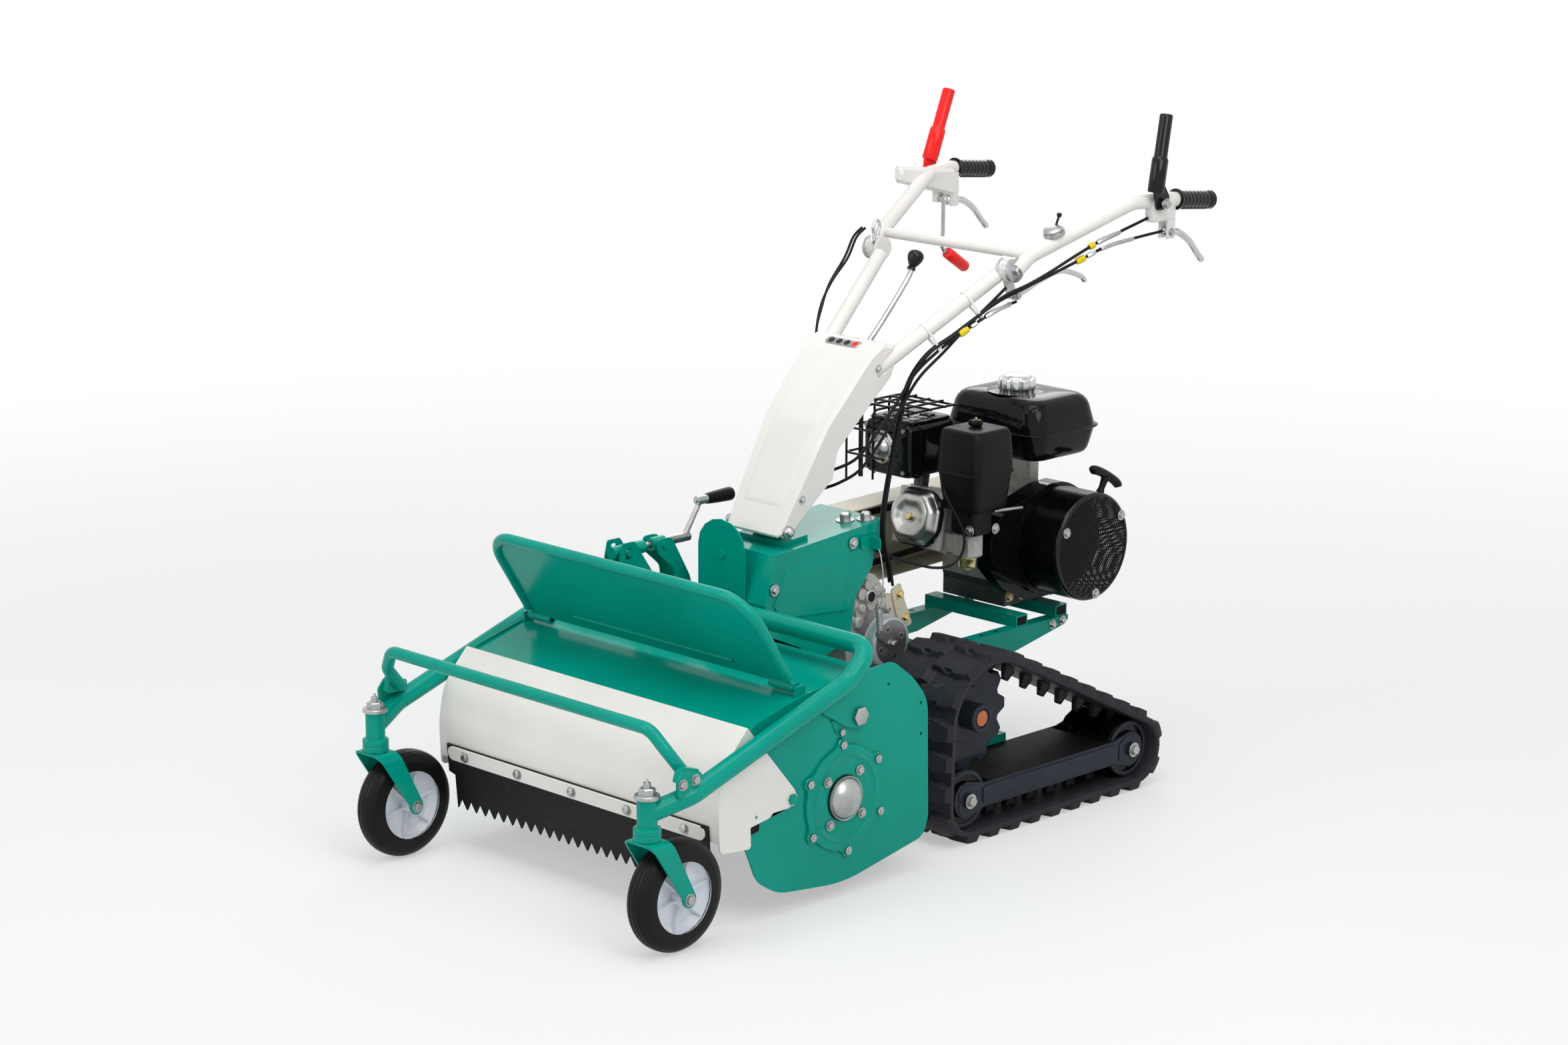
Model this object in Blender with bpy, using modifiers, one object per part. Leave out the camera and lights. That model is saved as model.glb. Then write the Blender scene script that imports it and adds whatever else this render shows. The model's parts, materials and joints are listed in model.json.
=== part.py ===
"""Walk-behind tracked hammer-knife mower, about 1.5 m long with its handles raised.

Frame: +Y to the rear (towards the operator), +X to the operator's left, +Z up.
The origin is on the ground under the middle of the machine's box.
All sizes are in metres. Every moving piece hangs from an empty on its joint's axis.
"""
import math

import bmesh
import bpy
from mathutils import Matrix, Vector

FRAME_Y = 0.0055         # from the drawing's zero to the middle of the machine's box
GAP = 0.0003            # space left between two pieces that touch
RUN = 0.0005            # radial play of a pin that turns in its bore
MERGE = 0.0001
ROUND_SHARE = 0.60      # share of the named facet counts that round pieces are built with

# Cutter deck
SIDE_X = 0.350          # outer face of a deck side plate
SIDE_T = 0.004
DECK_T = 0.003
DECK_HINGE = (-0.383, 0.3850)

# Flail rotor
ROTOR_Y = -0.287
ROTOR_Z = 0.177
ROTOR_TUBE_R = 0.036
ROTOR_TIP_R = 0.138
ROTOR_END_GAP = 0.012
SHAFT_R = 0.0125
KNIFE_ROWS = 3
KNIVES_PER_ROW = 6
KNIFE_W = 0.034
KNIFE_T = 0.006

# Front cover
COVER_PIVOT = (-0.4125, 0.2023)
COVER_T = 0.003

# Caster hoop
ARM_X = 0.373
ARM_R = 0.017
HOOP_PIVOT = (-0.258, 0.3167)
CROSS_PIPE = (-0.245, 0.436)
POST_X = 0.344
POST_Y = -0.7335
POST_R = 0.017
POST_TOP = 0.2765
POST_FOOT = 0.2030
COLLAR_R = 0.0230
STEM_R = 0.0065

# Caster wheels
TYRE_R = 0.0955
TYRE_W = 0.048
RIM_R = 0.0640
TRAIL = 0.060
FORK_W = 0.073
FORK_T = 0.004
AXLE_R = 0.0055

# Lift jack
JACK_X = -0.170
JACK_Z = 0.517
JACK_Y = -0.228
CRANK_R = 0.0610

# Tracks
TRACK_X = 0.225
TRACK_W = 0.180
BELT_T = 0.009
LUG_H = 0.012
LUG_COUNT = 26
ARC_STEPS = 6
GUIDE_H = 0.021
GUIDE_W = 0.014
GUIDE_X = 0.022         # a guide lug's middle from the belt's middle
ROLLER_R = 0.0540
ROLLER_W = 0.130
SPROCKET = (0.1445, 0.2107)
SPROCKET_R = 0.1080
TEETH = 12
FRONT_ROLLER_Y = 0.0865
REAR_IDLER_Y = 0.5355
BELT_RUN = 0.0005       # clearance of a wheel inside the belt

# Chassis and engine
RAIL_X = 0.118
RAIL_T = 0.004
RAIL_TOP = 0.2950
CROSS_TUBE = 0.0220
CRANKSHAFT = (0.5385, 0.4420)
FAN_FACE_X = 0.193
FAN_R = 0.102
INPUT_SHAFT = (0.0750, 0.4300)
BASE_Z = RAIL_TOP + CROSS_TUBE + 2 * GAP

# Column and handles
COLUMN_X = 0.080
HANDLE_R = 0.0135
CLAMP = (0.325, 0.985)
CLAMP_X = 0.165
GRIP_X = 0.272
GRIP_END = 0.7565
GRIP_R = 0.0165

PARTS = None
TOOLS = None


def start():
    """Empties the file and makes the two collections."""
    global PARTS, TOOLS
    for item in list(bpy.data.objects):
        bpy.data.objects.remove(item, do_unlink=True)
    PARTS = bpy.data.collections.new("tracked_hammer_knife_mower")
    TOOLS = bpy.data.collections.new("cutters")
    bpy.context.scene.collection.children.link(PARTS)
    bpy.context.scene.collection.children.link(TOOLS)


MATERIALS = {
    "green_paint": ((0.0, 0.235, 0.165), 0.28, 0.0),
    "white_paint": ((0.80, 0.78, 0.74), 0.32, 0.0),
    "dark_paint": ((0.055, 0.06, 0.075), 0.35, 0.0),
    "track_rubber": ((0.022, 0.022, 0.024), 0.75, 0.0),
    "soft_rubber": ((0.012, 0.012, 0.013), 0.6, 0.0),
    "hub_plastic": ((0.72, 0.76, 0.84), 0.45, 0.0),
    "black_plastic": ((0.014, 0.014, 0.016), 0.45, 0.0),
    "black_gloss": ((0.006, 0.006, 0.007), 0.15, 0.0),
    "red_plastic": ((0.72, 0.02, 0.015), 0.4, 0.0),
    "zinc": ((0.66, 0.67, 0.66), 0.3, 1.0),
    "cast_metal": ((0.35, 0.34, 0.33), 0.5, 0.7),
}


def material(name):
    """Finds or makes the Principled material of that name."""
    found = bpy.data.materials.get(name)
    if found:
        return found
    colour, rough, metal = MATERIALS[name]
    made = bpy.data.materials.new(name)
    made.use_nodes = True
    shader = made.node_tree.nodes["Principled BSDF"]
    shader.inputs["Base Color"].default_value = (*colour, 1.0)
    shader.inputs["Roughness"].default_value = rough
    shader.inputs["Metallic"].default_value = metal
    return made


def place(name, data, finish, location=(0, 0, 0), rotation=(0, 0, 0)):
    """Links a mesh or a curve as a named object."""
    item = bpy.data.objects.new(name, data)
    item.location = location
    item.rotation_euler = rotation
    if finish:
        data.materials.append(material(finish))
    PARTS.objects.link(item)
    return item


def from_bmesh(name, bm, finish, location=(0, 0, 0), rotation=(0, 0, 0)):
    if bm.faces:
        bmesh.ops.recalc_face_normals(bm, faces=bm.faces)
    mesh = bpy.data.meshes.new(name)
    bm.to_mesh(mesh)
    bm.free()
    return place(name, mesh, finish, location, rotation)


def block(name, size, centre, finish, rotation=(0, 0, 0), bevel=0.0):
    """A box, with its edges rounded when bevel is given."""
    bm = bmesh.new()
    bmesh.ops.create_cube(bm, size=1.0)
    bmesh.ops.scale(bm, vec=size, verts=bm.verts)
    item = from_bmesh(name, bm, finish, centre, rotation)
    if bevel:
        round_edges(item, bevel)
    return item


def round_edges(item, width, segments=1):
    edge = item.modifiers.new("edges", "BEVEL")
    edge.width = width
    edge.segments = segments
    edge.limit_method = "ANGLE"
    return item


def turn_to(axis):
    """The rotation that takes local Z to the given direction."""
    return Vector(axis).normalized().to_track_quat("Z", "Y").to_euler()


def facets(count):
    """The number of flats that a round piece gets; a hexagon stays one."""
    return count if count <= 8 else max(8, round(count * ROUND_SHARE))


def rod(name, radius, start_point, end_point, finish, sides=16, end_radius=None):
    """A cylinder or a cone between two points; a cutter's flats keep the full radius."""
    first = Vector(start_point)
    last = Vector(end_point)
    sides = facets(sides)
    if finish is None:
        radius /= math.cos(math.pi / sides)
    bm = bmesh.new()
    top = radius if end_radius is None else end_radius
    bmesh.ops.create_cone(bm, cap_ends=True, segments=sides, radius1=radius, radius2=top,
                          depth=(last - first).length)
    item = from_bmesh(name, bm, finish, (first + last) / 2, turn_to(last - first))
    item.data.shade_smooth()
    item.data.set_sharp_from_angle(angle=math.radians(40))
    return item


def turned(name, profile, centre, axis, finish, steps=24):
    """A turned shape: profile is (radius, height) from top to bottom, ends on the axis or closed."""
    bm = bmesh.new()
    points = [bm.verts.new((radius, 0, height)) for radius, height in profile]
    for first, second in zip(points, points[1:]):
        bm.edges.new((first, second))
    if profile[0][0] > 0:
        bm.edges.new((points[-1], points[0]))
    item = from_bmesh(name, bm, finish, centre, turn_to(axis))
    spin = item.modifiers.new("turn", "SCREW")
    spin.steps = facets(steps)
    spin.render_steps = facets(steps)
    spin.use_merge_vertices = True
    spin.merge_threshold = MERGE
    return item


def tube(name, route, radius, finish, resolution=1, closed=False):
    """A round tube along a list of points."""
    data = bpy.data.curves.new(name, "CURVE")
    data.dimensions = "3D"
    data.bevel_depth = radius
    data.bevel_resolution = resolution
    data.use_fill_caps = True
    spline = data.splines.new("POLY")
    spline.points.add(len(route) - 1)
    for point, place_at in zip(spline.points, route):
        point.co = (*place_at, 1.0)
    spline.use_cyclic_u = closed
    return to_mesh(place(name, data, finish))


PLANES = {"YZ": (math.pi / 2, 0, math.pi / 2), "XZ": (math.pi / 2, 0, 0), "XY": (0, 0, 0)}


def plate(name, outlines, thickness, plane, centre, finish):
    """A flat sheet: the first outline is its edge, the others are its holes."""
    if len(outlines) == 1:
        return solid_plate(name, outlines[0], thickness, plane, centre, finish)
    data = bpy.data.curves.new(name, "CURVE")
    data.dimensions = "2D"
    data.fill_mode = "BOTH"
    data.extrude = thickness / 2
    for outline in outlines:
        spline = data.splines.new("POLY")
        spline.points.add(len(outline) - 1)
        for point, (across, up) in zip(spline.points, outline):
            point.co = (across, up, 0.0, 1.0)
        spline.use_cyclic_u = True
    return to_mesh(place(name, data, finish, centre, PLANES[plane]))


def solid_plate(name, outline, thickness, plane, centre, finish):
    """A sheet without holes, as one face pushed to its thickness."""
    bm = bmesh.new()
    low = [bm.verts.new((across, up, -thickness / 2)) for across, up in outline]
    high = [bm.verts.new((across, up, thickness / 2)) for across, up in outline]
    bm.faces.new(low)
    bm.faces.new(high[::-1])
    for index in range(len(outline)):
        second = (index + 1) % len(outline)
        bm.faces.new((low[index], high[index], high[second], low[second]))
    return from_bmesh(name, bm, finish, centre, PLANES[plane])


def side_plate(name, outlines, inner_x, outer_x, finish):
    """A sheet in the YZ plane between two X positions."""
    middle = (inner_x + outer_x) / 2
    return plate(name, outlines, abs(outer_x - inner_x), "YZ", (middle, 0, 0), finish)


def to_mesh(curve):
    """Turns a curve into a closed mesh, so that it can be cut or joined."""
    bpy.context.view_layer.update()
    graph = bpy.context.evaluated_depsgraph_get()
    mesh = bpy.data.meshes.new_from_object(curve.evaluated_get(graph))
    bm = bmesh.new()
    bm.from_mesh(mesh)
    bmesh.ops.remove_doubles(bm, verts=bm.verts, dist=MERGE / 10)
    bmesh.ops.recalc_face_normals(bm, faces=bm.faces)
    bm.to_mesh(mesh)
    bm.free()
    name = curve.name
    matrix = curve.matrix_world.copy()
    bpy.data.objects.remove(curve, do_unlink=True)
    item = bpy.data.objects.new(name, mesh)
    item.matrix_world = matrix
    PARTS.objects.link(item)
    mesh.shade_smooth()
    mesh.set_sharp_from_angle(angle=math.radians(35))
    return item


def combine(target, others, operation):
    """Joins or cuts with live Boolean modifiers, and puts the tools away."""
    for tool in others:
        step = target.modifiers.new(operation.lower(), "BOOLEAN")
        step.operation = operation
        step.solver = "EXACT"
        step.object = tool
        PARTS.objects.unlink(tool)
        TOOLS.objects.link(tool)
        tool.hide_render = True
        tool.display_type = "WIRE"
    return target


def fuse(target, *others):
    return combine(target, others, "UNION")


def cut(target, *others):
    return combine(target, others, "DIFFERENCE")


def hang(joint_name, centre, *pieces):
    """An empty on the joint's axis that carries the moving pieces."""
    empty = bpy.data.objects.new(joint_name, None)
    empty.empty_display_size = 0.05
    empty.location = centre
    PARTS.objects.link(empty)
    for piece in pieces:
        piece.parent = empty
        piece.matrix_parent_inverse = Matrix.Translation(-Vector(centre))
    return empty


def circle(centre, radius, count=12, start_angle=0.0):
    """Points on a circle in a plate's own plane."""
    points = []
    for step in range(count):
        angle = start_angle + 2 * math.pi * step / count
        points.append((centre[0] + radius * math.cos(angle), centre[1] + radius * math.sin(angle)))
    return points


def rounded(points, radius, steps=2):
    """Rounds the corners of a closed outline with short arcs."""
    made = []
    total = len(points)
    for index in range(total):
        before = Vector(points[index - 1])
        here = Vector(points[index])
        after = Vector(points[(index + 1) % total])
        made += corner_arc(before, here, after, radius, steps)
    return made


def corner_arc(before, here, after, radius, steps):
    """The points that round one corner of a path, as a quadratic curve between its tangents."""
    reach = min(radius, (before - here).length * 0.45, (after - here).length * 0.45)
    first = here + (before - here).normalized() * reach
    last = here + (after - here).normalized() * reach
    arc = []
    for step in range(steps + 1):
        t = step / steps
        arc.append(tuple(first * (1 - t) ** 2 + here * (2 * t * (1 - t)) + last * t ** 2))
    return arc


def bent(points, radius, steps=3):
    """A pipe's route: straight runs with rounded bends."""
    route = [tuple(points[0])]
    for before, here, after in zip(points, points[1:], points[2:]):
        route += corner_arc(Vector(before), Vector(here), Vector(after), radius, steps)
    route.append(tuple(points[-1]))
    return route


def smooth(points, steps=4):
    """A Catmull-Rom curve through the points."""
    ends = [Vector(p) for p in points]
    ends = [ends[0] * 2 - ends[1]] + ends + [ends[-1] * 2 - ends[-2]]
    route = []
    for a, b, c, d in zip(ends, ends[1:], ends[2:], ends[3:]):
        for step in range(steps):
            t = step / steps
            point = (b * 2 + (c - a) * t + (a * 2 - b * 5 + c * 4 - d) * t ** 2
                     + (b * 3 - a - c * 3 + d) * t ** 3) * 0.5
            route.append(tuple(point))
    route.append(tuple(ends[-2]))
    return route


def strip(points, thickness):
    """The closed outline of a bent sheet whose outer face follows the points."""
    inner = []
    for index, point in enumerate(points):
        before = Vector(points[max(index - 1, 0)])
        after = Vector(points[min(index + 1, len(points) - 1)])
        along = (after - before).normalized()
        inner.append(tuple(Vector(point) + Vector((along.y, -along.x)) * thickness))
    return list(points) + inner[::-1]


def mirrored(points):
    """A half route followed by its mirror image across X = 0."""
    return list(points) + [(-x, y, z) for x, y, z in reversed(points)]


# Tracks

def arc_tangents(wheels):
    """Straight belt runs between round wheels, given in order with the belt on their outside."""
    runs = []
    for (a, ra), (b, rb) in zip(wheels, wheels[1:] + wheels[:1]):
        first = Vector(a)
        second = Vector(b)
        span = second - first
        lean = math.asin((ra - rb) / span.length)
        angle = math.atan2(span.y, span.x) - math.pi / 2 + lean
        out = Vector((math.cos(angle), math.sin(angle)))
        runs.append((first + out * ra, second + out * rb, out))
    return runs


def belt_path(wheels):
    """The belt's loop as straight runs and arcs, with the length of each piece."""
    runs = arc_tangents(wheels)
    pieces = []
    for index, (begin, end, out) in enumerate(runs):
        pieces.append(("line", begin, end, out, (end - begin).length))
        centre, radius = wheels[(index + 1) % len(wheels)]
        following = runs[(index + 1) % len(runs)][2]
        first = math.atan2(out.y, out.x)
        turn = (math.atan2(following.y, following.x) - first) % (2 * math.pi)
        pieces.append(("arc", Vector(centre), radius, first, radius * turn))
    return pieces


def on_piece(piece, along):
    """The point and the outward direction at a distance along one piece of the loop."""
    if piece[0] == "line":
        return piece[1].lerp(piece[2], along / piece[4]), piece[3]
    angle = piece[3] + along / piece[2]
    out = Vector((math.cos(angle), math.sin(angle)))
    return piece[1] + out * piece[2], out


def belt_stations(wheels, count):
    """Evenly spaced (point, outward) pairs on the loop, and its length."""
    pieces = belt_path(wheels)
    total = sum(piece[4] for piece in pieces)
    stations = []
    for step in range(count):
        along = total * step / count
        index = 0
        while along > pieces[index][4]:
            along -= pieces[index][4]
            index += 1
        stations.append(on_piece(pieces[index], along))
    return stations, total


def belt_rings(wheels):
    """The loop as a polygon drawn round its arcs, so that no chord cuts into a wheel."""
    rings = []
    for piece in belt_path(wheels):
        if piece[0] == "line":
            continue
        step_angle = piece[4] / piece[2] / ARC_STEPS
        stretch = 1 / math.cos(step_angle / 2)
        for step in range(ARC_STEPS):
            angle = piece[3] + step_angle * (step + 0.5)
            out = Vector((math.cos(angle), math.sin(angle))) * stretch
            rings.append((piece[1] + out * piece[2], out))
    return rings


def belt_wheels():
    """The three round paths of the belt's inner face, front roller first."""
    low = ROLLER_R + BELT_RUN
    axle_z = low + BELT_T + LUG_H
    top = SPROCKET_R + BELT_RUN
    return [((FRONT_ROLLER_Y, axle_z), low), ((REAR_IDLER_Y, axle_z), low), (SPROCKET, top)]


def tapered_block(bm, centre, across, along, up, size, taper):
    """Adds one lug, narrower at its free end, to a bmesh."""
    basis = Matrix((across, along, up)).transposed()
    made = bmesh.ops.create_cube(bm, size=1.0)["verts"]
    for vert in made:
        shrink = taper if vert.co.z > 0 else 1.0
        local = Vector((vert.co.x * size[0] * shrink, vert.co.y * size[1] * shrink,
                        vert.co.z * size[2]))
        vert.co = centre + basis @ local


def track(name, x):
    """Rubber belt with staggered tread blocks outside and guide lugs inside."""
    across = Vector((1, 0, 0))
    stations, length = belt_stations(belt_wheels(), LUG_COUNT)
    section = belt_section()
    bm = bmesh.new()
    rings = []
    for point, out in belt_rings(belt_wheels()):
        base = Vector((x, point.x, point.y))
        normal = Vector((0, out.x, out.y))
        rings.append([bm.verts.new(base + across * side + normal * height)
                      for side, height in section])
    for ring, following in zip(rings, rings[1:] + rings[:1]):
        for index in range(len(section)):
            second = (index + 1) % len(section)
            bm.faces.new((ring[index], ring[second], following[second], following[index]))
    belt = from_bmesh(name, bm, "track_rubber")
    lugs = bmesh.new()
    sink = 0.004
    pitch = length / LUG_COUNT
    for point, out in stations:
        normal = Vector((0, out.x, out.y))
        along = across.cross(normal)
        base = Vector((x, point.x, point.y)) + normal * (BELT_T - sink + (LUG_H + sink) / 2)
        tapered_block(lugs, base, across, along, normal,
                      (TRACK_W - 0.002, pitch * 0.46, LUG_H + sink), 0.94)
    return fuse(belt, from_bmesh(name + "_lugs", lugs, "track_rubber"))


def belt_section():
    """The belt's cross section: (across, height) with a guide rib on each side of the channel."""
    half = TRACK_W / 2
    near = GUIDE_X - GUIDE_W / 2
    far = GUIDE_X + GUIDE_W / 2
    slope = GUIDE_W * 0.2
    side = [(half, BELT_T), (half, 0), (far, 0), (far - slope, -GUIDE_H), (near + slope, -GUIDE_H),
            (near, 0)]
    return side + [(-across, height) for across, height in reversed(side)]


def toothed_outline():
    """Outline of one sprocket disc, with a flat-topped tooth in every pitch."""
    root = SPROCKET_R - 0.016
    points = []
    for tooth in range(TEETH):
        for share, radius in ((-0.42, root), (-0.16, SPROCKET_R), (0.16, SPROCKET_R), (0.42, root)):
            angle = 2 * math.pi * (tooth + share) / TEETH
            points.append((SPROCKET[0] + radius * math.cos(angle),
                           SPROCKET[1] + radius * math.sin(angle)))
    return points


def sprocket(name, x, side):
    """A toothed disc on the drive hub, with the axle boss and its plug facing outwards."""
    half = GUIDE_X - GUIDE_W / 2 - 0.005
    disc = side_plate(name, [toothed_outline()], x - half, x + half, "dark_paint")
    hub = rod(name + "_hub", 0.052, (x - half - 0.006, *SPROCKET), (x + half + 0.006, *SPROCKET),
              "dark_paint", 24)
    boss_end = x + side * 0.050
    boss = rod(name + "_boss", 0.026, (x, *SPROCKET), (boss_end, *SPROCKET), "dark_paint", 20)
    plug = rod(name + "_plug", 0.015, (x, *SPROCKET), (boss_end + side * 0.002, *SPROCKET),
               "dark_paint", 16)
    stub = rod(name + "_stub", 0.018, (x, *SPROCKET), (x - side * 0.075, *SPROCKET),
               "dark_paint", 12)
    fuse(disc, hub, boss, plug, stub)
    return hang(name + "_axis", (x, *SPROCKET), disc)


def roller_profile():
    """Half of a spool: two rims with a groove for the guide lugs between them."""
    half = ROLLER_W / 2
    groove = GUIDE_X + GUIDE_W / 2 + 0.005
    deep = ROLLER_R - GUIDE_H - 0.006
    bore = 0.0085
    return [(bore, half), (ROLLER_R - 0.008, half), (ROLLER_R, half - 0.006), (ROLLER_R, groove),
            (deep, groove), (deep, -groove), (ROLLER_R, -groove), (ROLLER_R, -half + 0.006),
            (ROLLER_R - 0.008, -half), (bore, -half)]


def track_frame(name, x):
    """Side bars, box beam and the two axles that carry the roller and the idler."""
    axle_z = belt_wheels()[0][0][1]
    half = ROLLER_W / 2 + 0.003
    ends = (FRONT_ROLLER_Y, REAR_IDLER_Y)
    shell = []
    for step in range(7):
        angle = math.pi / 2 + math.pi * step / 6
        shell.append((ends[0] + 0.034 * math.cos(angle), axle_z + 0.034 * math.sin(angle)))
    shell += [(ends[0] + 0.045, axle_z - 0.022), (ends[1] - 0.045, axle_z - 0.022)]
    for step in range(7):
        angle = -math.pi / 2 + math.pi * step / 6
        shell.append((ends[1] + 0.034 * math.cos(angle), axle_z + 0.034 * math.sin(angle)))
    shell += [(ends[1] - 0.045, axle_z + 0.024), (ends[0] + 0.045, axle_z + 0.024)]
    bars = []
    for sign in (-1, 1):
        bars.append(side_plate(name + "_bar%d" % sign, [shell], x + sign * half,
                               x + sign * (half + 0.005), "dark_paint"))
    beam_y = ((ends[0] + ends[1]) / 2, ends[1] - ends[0] - 2 * ROLLER_R - 0.016)
    beam = block(name, (2 * half + 0.004, beam_y[1], 0.044), (x, beam_y[0], axle_z + 0.002),
                 "dark_paint")
    axles = []
    for y in ends:
        reach = half + 0.005
        axles.append(rod(name + "_axle", 0.008, (x - reach, y, axle_z), (x + reach, y, axle_z),
                         "dark_paint", 12))
        for sign in (-1, 1):
            axles.append(hex_head(name + "_head", 0.011, (x + sign * (reach - 0.002), y, axle_z),
                                  (x + sign * (reach + 0.007), y, axle_z), "dark_paint"))
    return fuse(beam, *bars, *axles)


def build_tracks():
    for side, word in ((1, "left"), (-1, "right")):
        x = side * TRACK_X
        track("track_" + word, x)
        track_frame("track_frame_" + word, x)
        sprocket("sprocket_" + word, x, side)
        for y, kind in ((FRONT_ROLLER_Y, "front_roller_"), (REAR_IDLER_Y, "rear_idler_")):
            axle = (x, y, belt_wheels()[0][0][1])
            wheel = turned(kind + word, roller_profile(), axle, (1, 0, 0), "dark_paint")
            hang(kind + word + "_axis", axle, wheel)


# Cutter deck

DECK_ROOF = [(-0.507, 0.3400), (-0.383, 0.3720), (-0.235, 0.3850), (-0.200, 0.3830),
             (-0.115, 0.3490), (-0.082, 0.3060), (-0.080, 0.2000)]
DECK_SIDE = [(-0.515, 0.132), (-0.490, 0.073), (-0.441, 0.042), (-0.2856, 0.024),
             (-0.0835, 0.062), (-0.073, 0.097), (-0.078, 0.309), (-0.115, 0.353),
             (-0.165, 0.3916), (-0.215, 0.390), (-0.3835, 0.376), (-0.508, 0.345),
             (-0.545, 0.200)]


def hex_head(name, radius, start_point, end_point, finish):
    return rod(name, radius, start_point, end_point, finish, 6)


def build_deck():
    """Roof, end plates and the pivot bolts of the caster hoop, welded into one shell."""
    inside = SIDE_X - SIDE_T
    roof = plate("deck_shell", [strip(DECK_ROOF, DECK_T)], 2 * (SIDE_X - SIDE_T / 2), "YZ",
                 (0, 0, 0), "green_paint")
    added = []
    for side in (1, -1):
        holes = [circle((ROTOR_Y, ROTOR_Z), 0.046, 14)]
        added.append(side_plate("deck_side", [rounded(DECK_SIDE, 0.030, 1)] + holes,
                                side * inside, side * SIDE_X, "green_paint"))
        pivot = (side * inside, *HOOP_PIVOT)
        added.append(rod("deck_pivot", 0.0110, pivot, (side * 0.3620, *HOOP_PIVOT), "green_paint"))
        added.append(hex_head("deck_pivot_head", 0.0150, (side * (GUSSET_X[1] + GAP), *HOOP_PIVOT),
                              (side * 0.3670, *HOOP_PIVOT), "green_paint"))
        cover = (side * inside, *COVER_PIVOT)
        added.append(rod("cover_pivot", 0.0055, cover, (side * 0.3575, *COVER_PIVOT),
                         "green_paint", 12))
        added.append(hex_head("cover_pivot_head", 0.0085,
                              (side * (SIDE_X + COVER_T + 2 * GAP), *COVER_PIVOT),
                              (side * 0.3585, *COVER_PIVOT), "green_paint"))
    for side in (1, -1):
        ear = (side * (LID_X + 0.006), *DECK_HINGE)
        added.append(block("hinge_ear", (0.006, 0.020, 0.022),
                           (ear[0], ear[1], ear[2] - 0.006), "green_paint"))
        added.append(rod("hinge_pin", 0.0035, (side * (LID_X - 0.030), *DECK_HINGE),
                         (side * (LID_X + 0.007), *DECK_HINGE), "green_paint", 10))
    plate_outline = []
    for step in range(9):
        angle = math.pi * step / 8
        plate_outline.append((-0.024 + 0.058 * math.cos(angle), 0.531 + 0.052 * math.sin(angle)))
    plate_outline += [(-0.082, 0.3820), (0.034, 0.3820)]
    added.append(plate("front_upright", [plate_outline], 0.003, "XZ", (0, -0.2090, 0),
                       "green_paint"))
    added.append(rod("upright_boss", 0.0090, (-0.024, -0.2090, 0.5200), (-0.024, -0.2130, 0.5200),
                     "green_paint", 16))
    added.append(jack_clevis())
    return fuse(roof, *added)


def blade_angles():
    return [2 * math.pi * row / KNIFE_ROWS for row in range(KNIFE_ROWS)]


def build_rotor():
    """A tube with shafts at its ends and hammer knives hung in three staggered rows."""
    end = SIDE_X - SIDE_T - ROTOR_END_GAP
    centre = (0, ROTOR_Y, ROTOR_Z)
    body = rod("flail_rotor", ROTOR_TUBE_R, (-end, ROTOR_Y, ROTOR_Z), (end, ROTOR_Y, ROTOR_Z),
               "green_paint", 20)
    shaft = rod("rotor_shaft", SHAFT_R, (-SIDE_X - 0.016, ROTOR_Y, ROTOR_Z),
                (SIDE_X + 0.016, ROTOR_Y, ROTOR_Z), "green_paint", 16)
    knives = bmesh.new()
    span = 2 * end / KNIVES_PER_ROW
    for row, angle in enumerate(blade_angles()):
        out = Vector((0, math.cos(angle), math.sin(angle)))
        along = Vector((1, 0, 0)).cross(out)
        shift = span * (row - (KNIFE_ROWS - 1) / 2) / KNIFE_ROWS
        for index in range(KNIVES_PER_ROW):
            x = -end + span * (index + 0.5) + shift
            reach = ROTOR_TIP_R - ROTOR_TUBE_R + 0.006
            middle = Vector(centre) + out * (ROTOR_TIP_R - reach / 2)
            tapered_block(knives, middle + Vector((x, 0, 0)), Vector((1, 0, 0)), along, out,
                          (KNIFE_W, KNIFE_T, reach), 1.35)
    return hang("rotor_axis", centre, fuse(body, shaft, from_bmesh("knives", knives, "green_paint")))


def hub_cover(name, side):
    """Bearing cover: flange with a raised ring, a dome and ten bolt heads."""
    base = SIDE_X + GAP
    profile = [(0, 0.0300), (0.020, 0.0275), (0.0340, 0.0160), (0.0385, 0.0060), (0.0640, 0.0060),
               (0.0690, 0.0095), (0.0760, 0.0045), (0.1060, 0.0040), (0.1060, 0), (0.0420, 0),
               (0.0300, 0.0120), (0, 0.0200)]
    cover = turned(name, profile, (side * base, ROTOR_Y, ROTOR_Z), (side, 0, 0), "green_paint", 36)
    heads = []
    for y, z in circle((ROTOR_Y, ROTOR_Z), 0.0946, 6, math.radians(93.9)):
        heads.append(hex_head("hub_bolt", 0.0075, (side * (base + 0.002), y, z),
                              (side * (base + 0.0115), y, z), "green_paint"))
    return fuse(cover, *heads)


def build_drive_case():
    """Right-hand hub cover: the case of the belt that drives the rotor, with its cross tube."""
    base = SIDE_X + GAP
    rear = (-0.030, 0.262)
    outline = hull_outline([((ROTOR_Y, ROTOR_Z), 0.100), (rear, 0.048)])
    case = side_plate("rotor_drive_case", [outline], -base, -base - 0.026, "green_paint")
    inner = hull_outline([((ROTOR_Y, ROTOR_Z), 0.040), ((ROTOR_Y + 0.01, ROTOR_Z + 0.003), 0.038)])
    hollow = side_plate("case_hollow", [inner], -base + 0.002, -base - 0.020, None)
    cross = rod("case_cross", 0.022, (-base - 0.010, *rear), (-0.0853, *rear), "green_paint", 16)
    bead = rod("case_cap", 0.036, (-base - 0.020, *(ROTOR_Y, ROTOR_Z)),
               (-base - 0.032, *(ROTOR_Y, ROTOR_Z)), "green_paint", 24, 0.026)
    fuse(case, cross, bead)
    cut(case, hollow)
    return case


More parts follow.
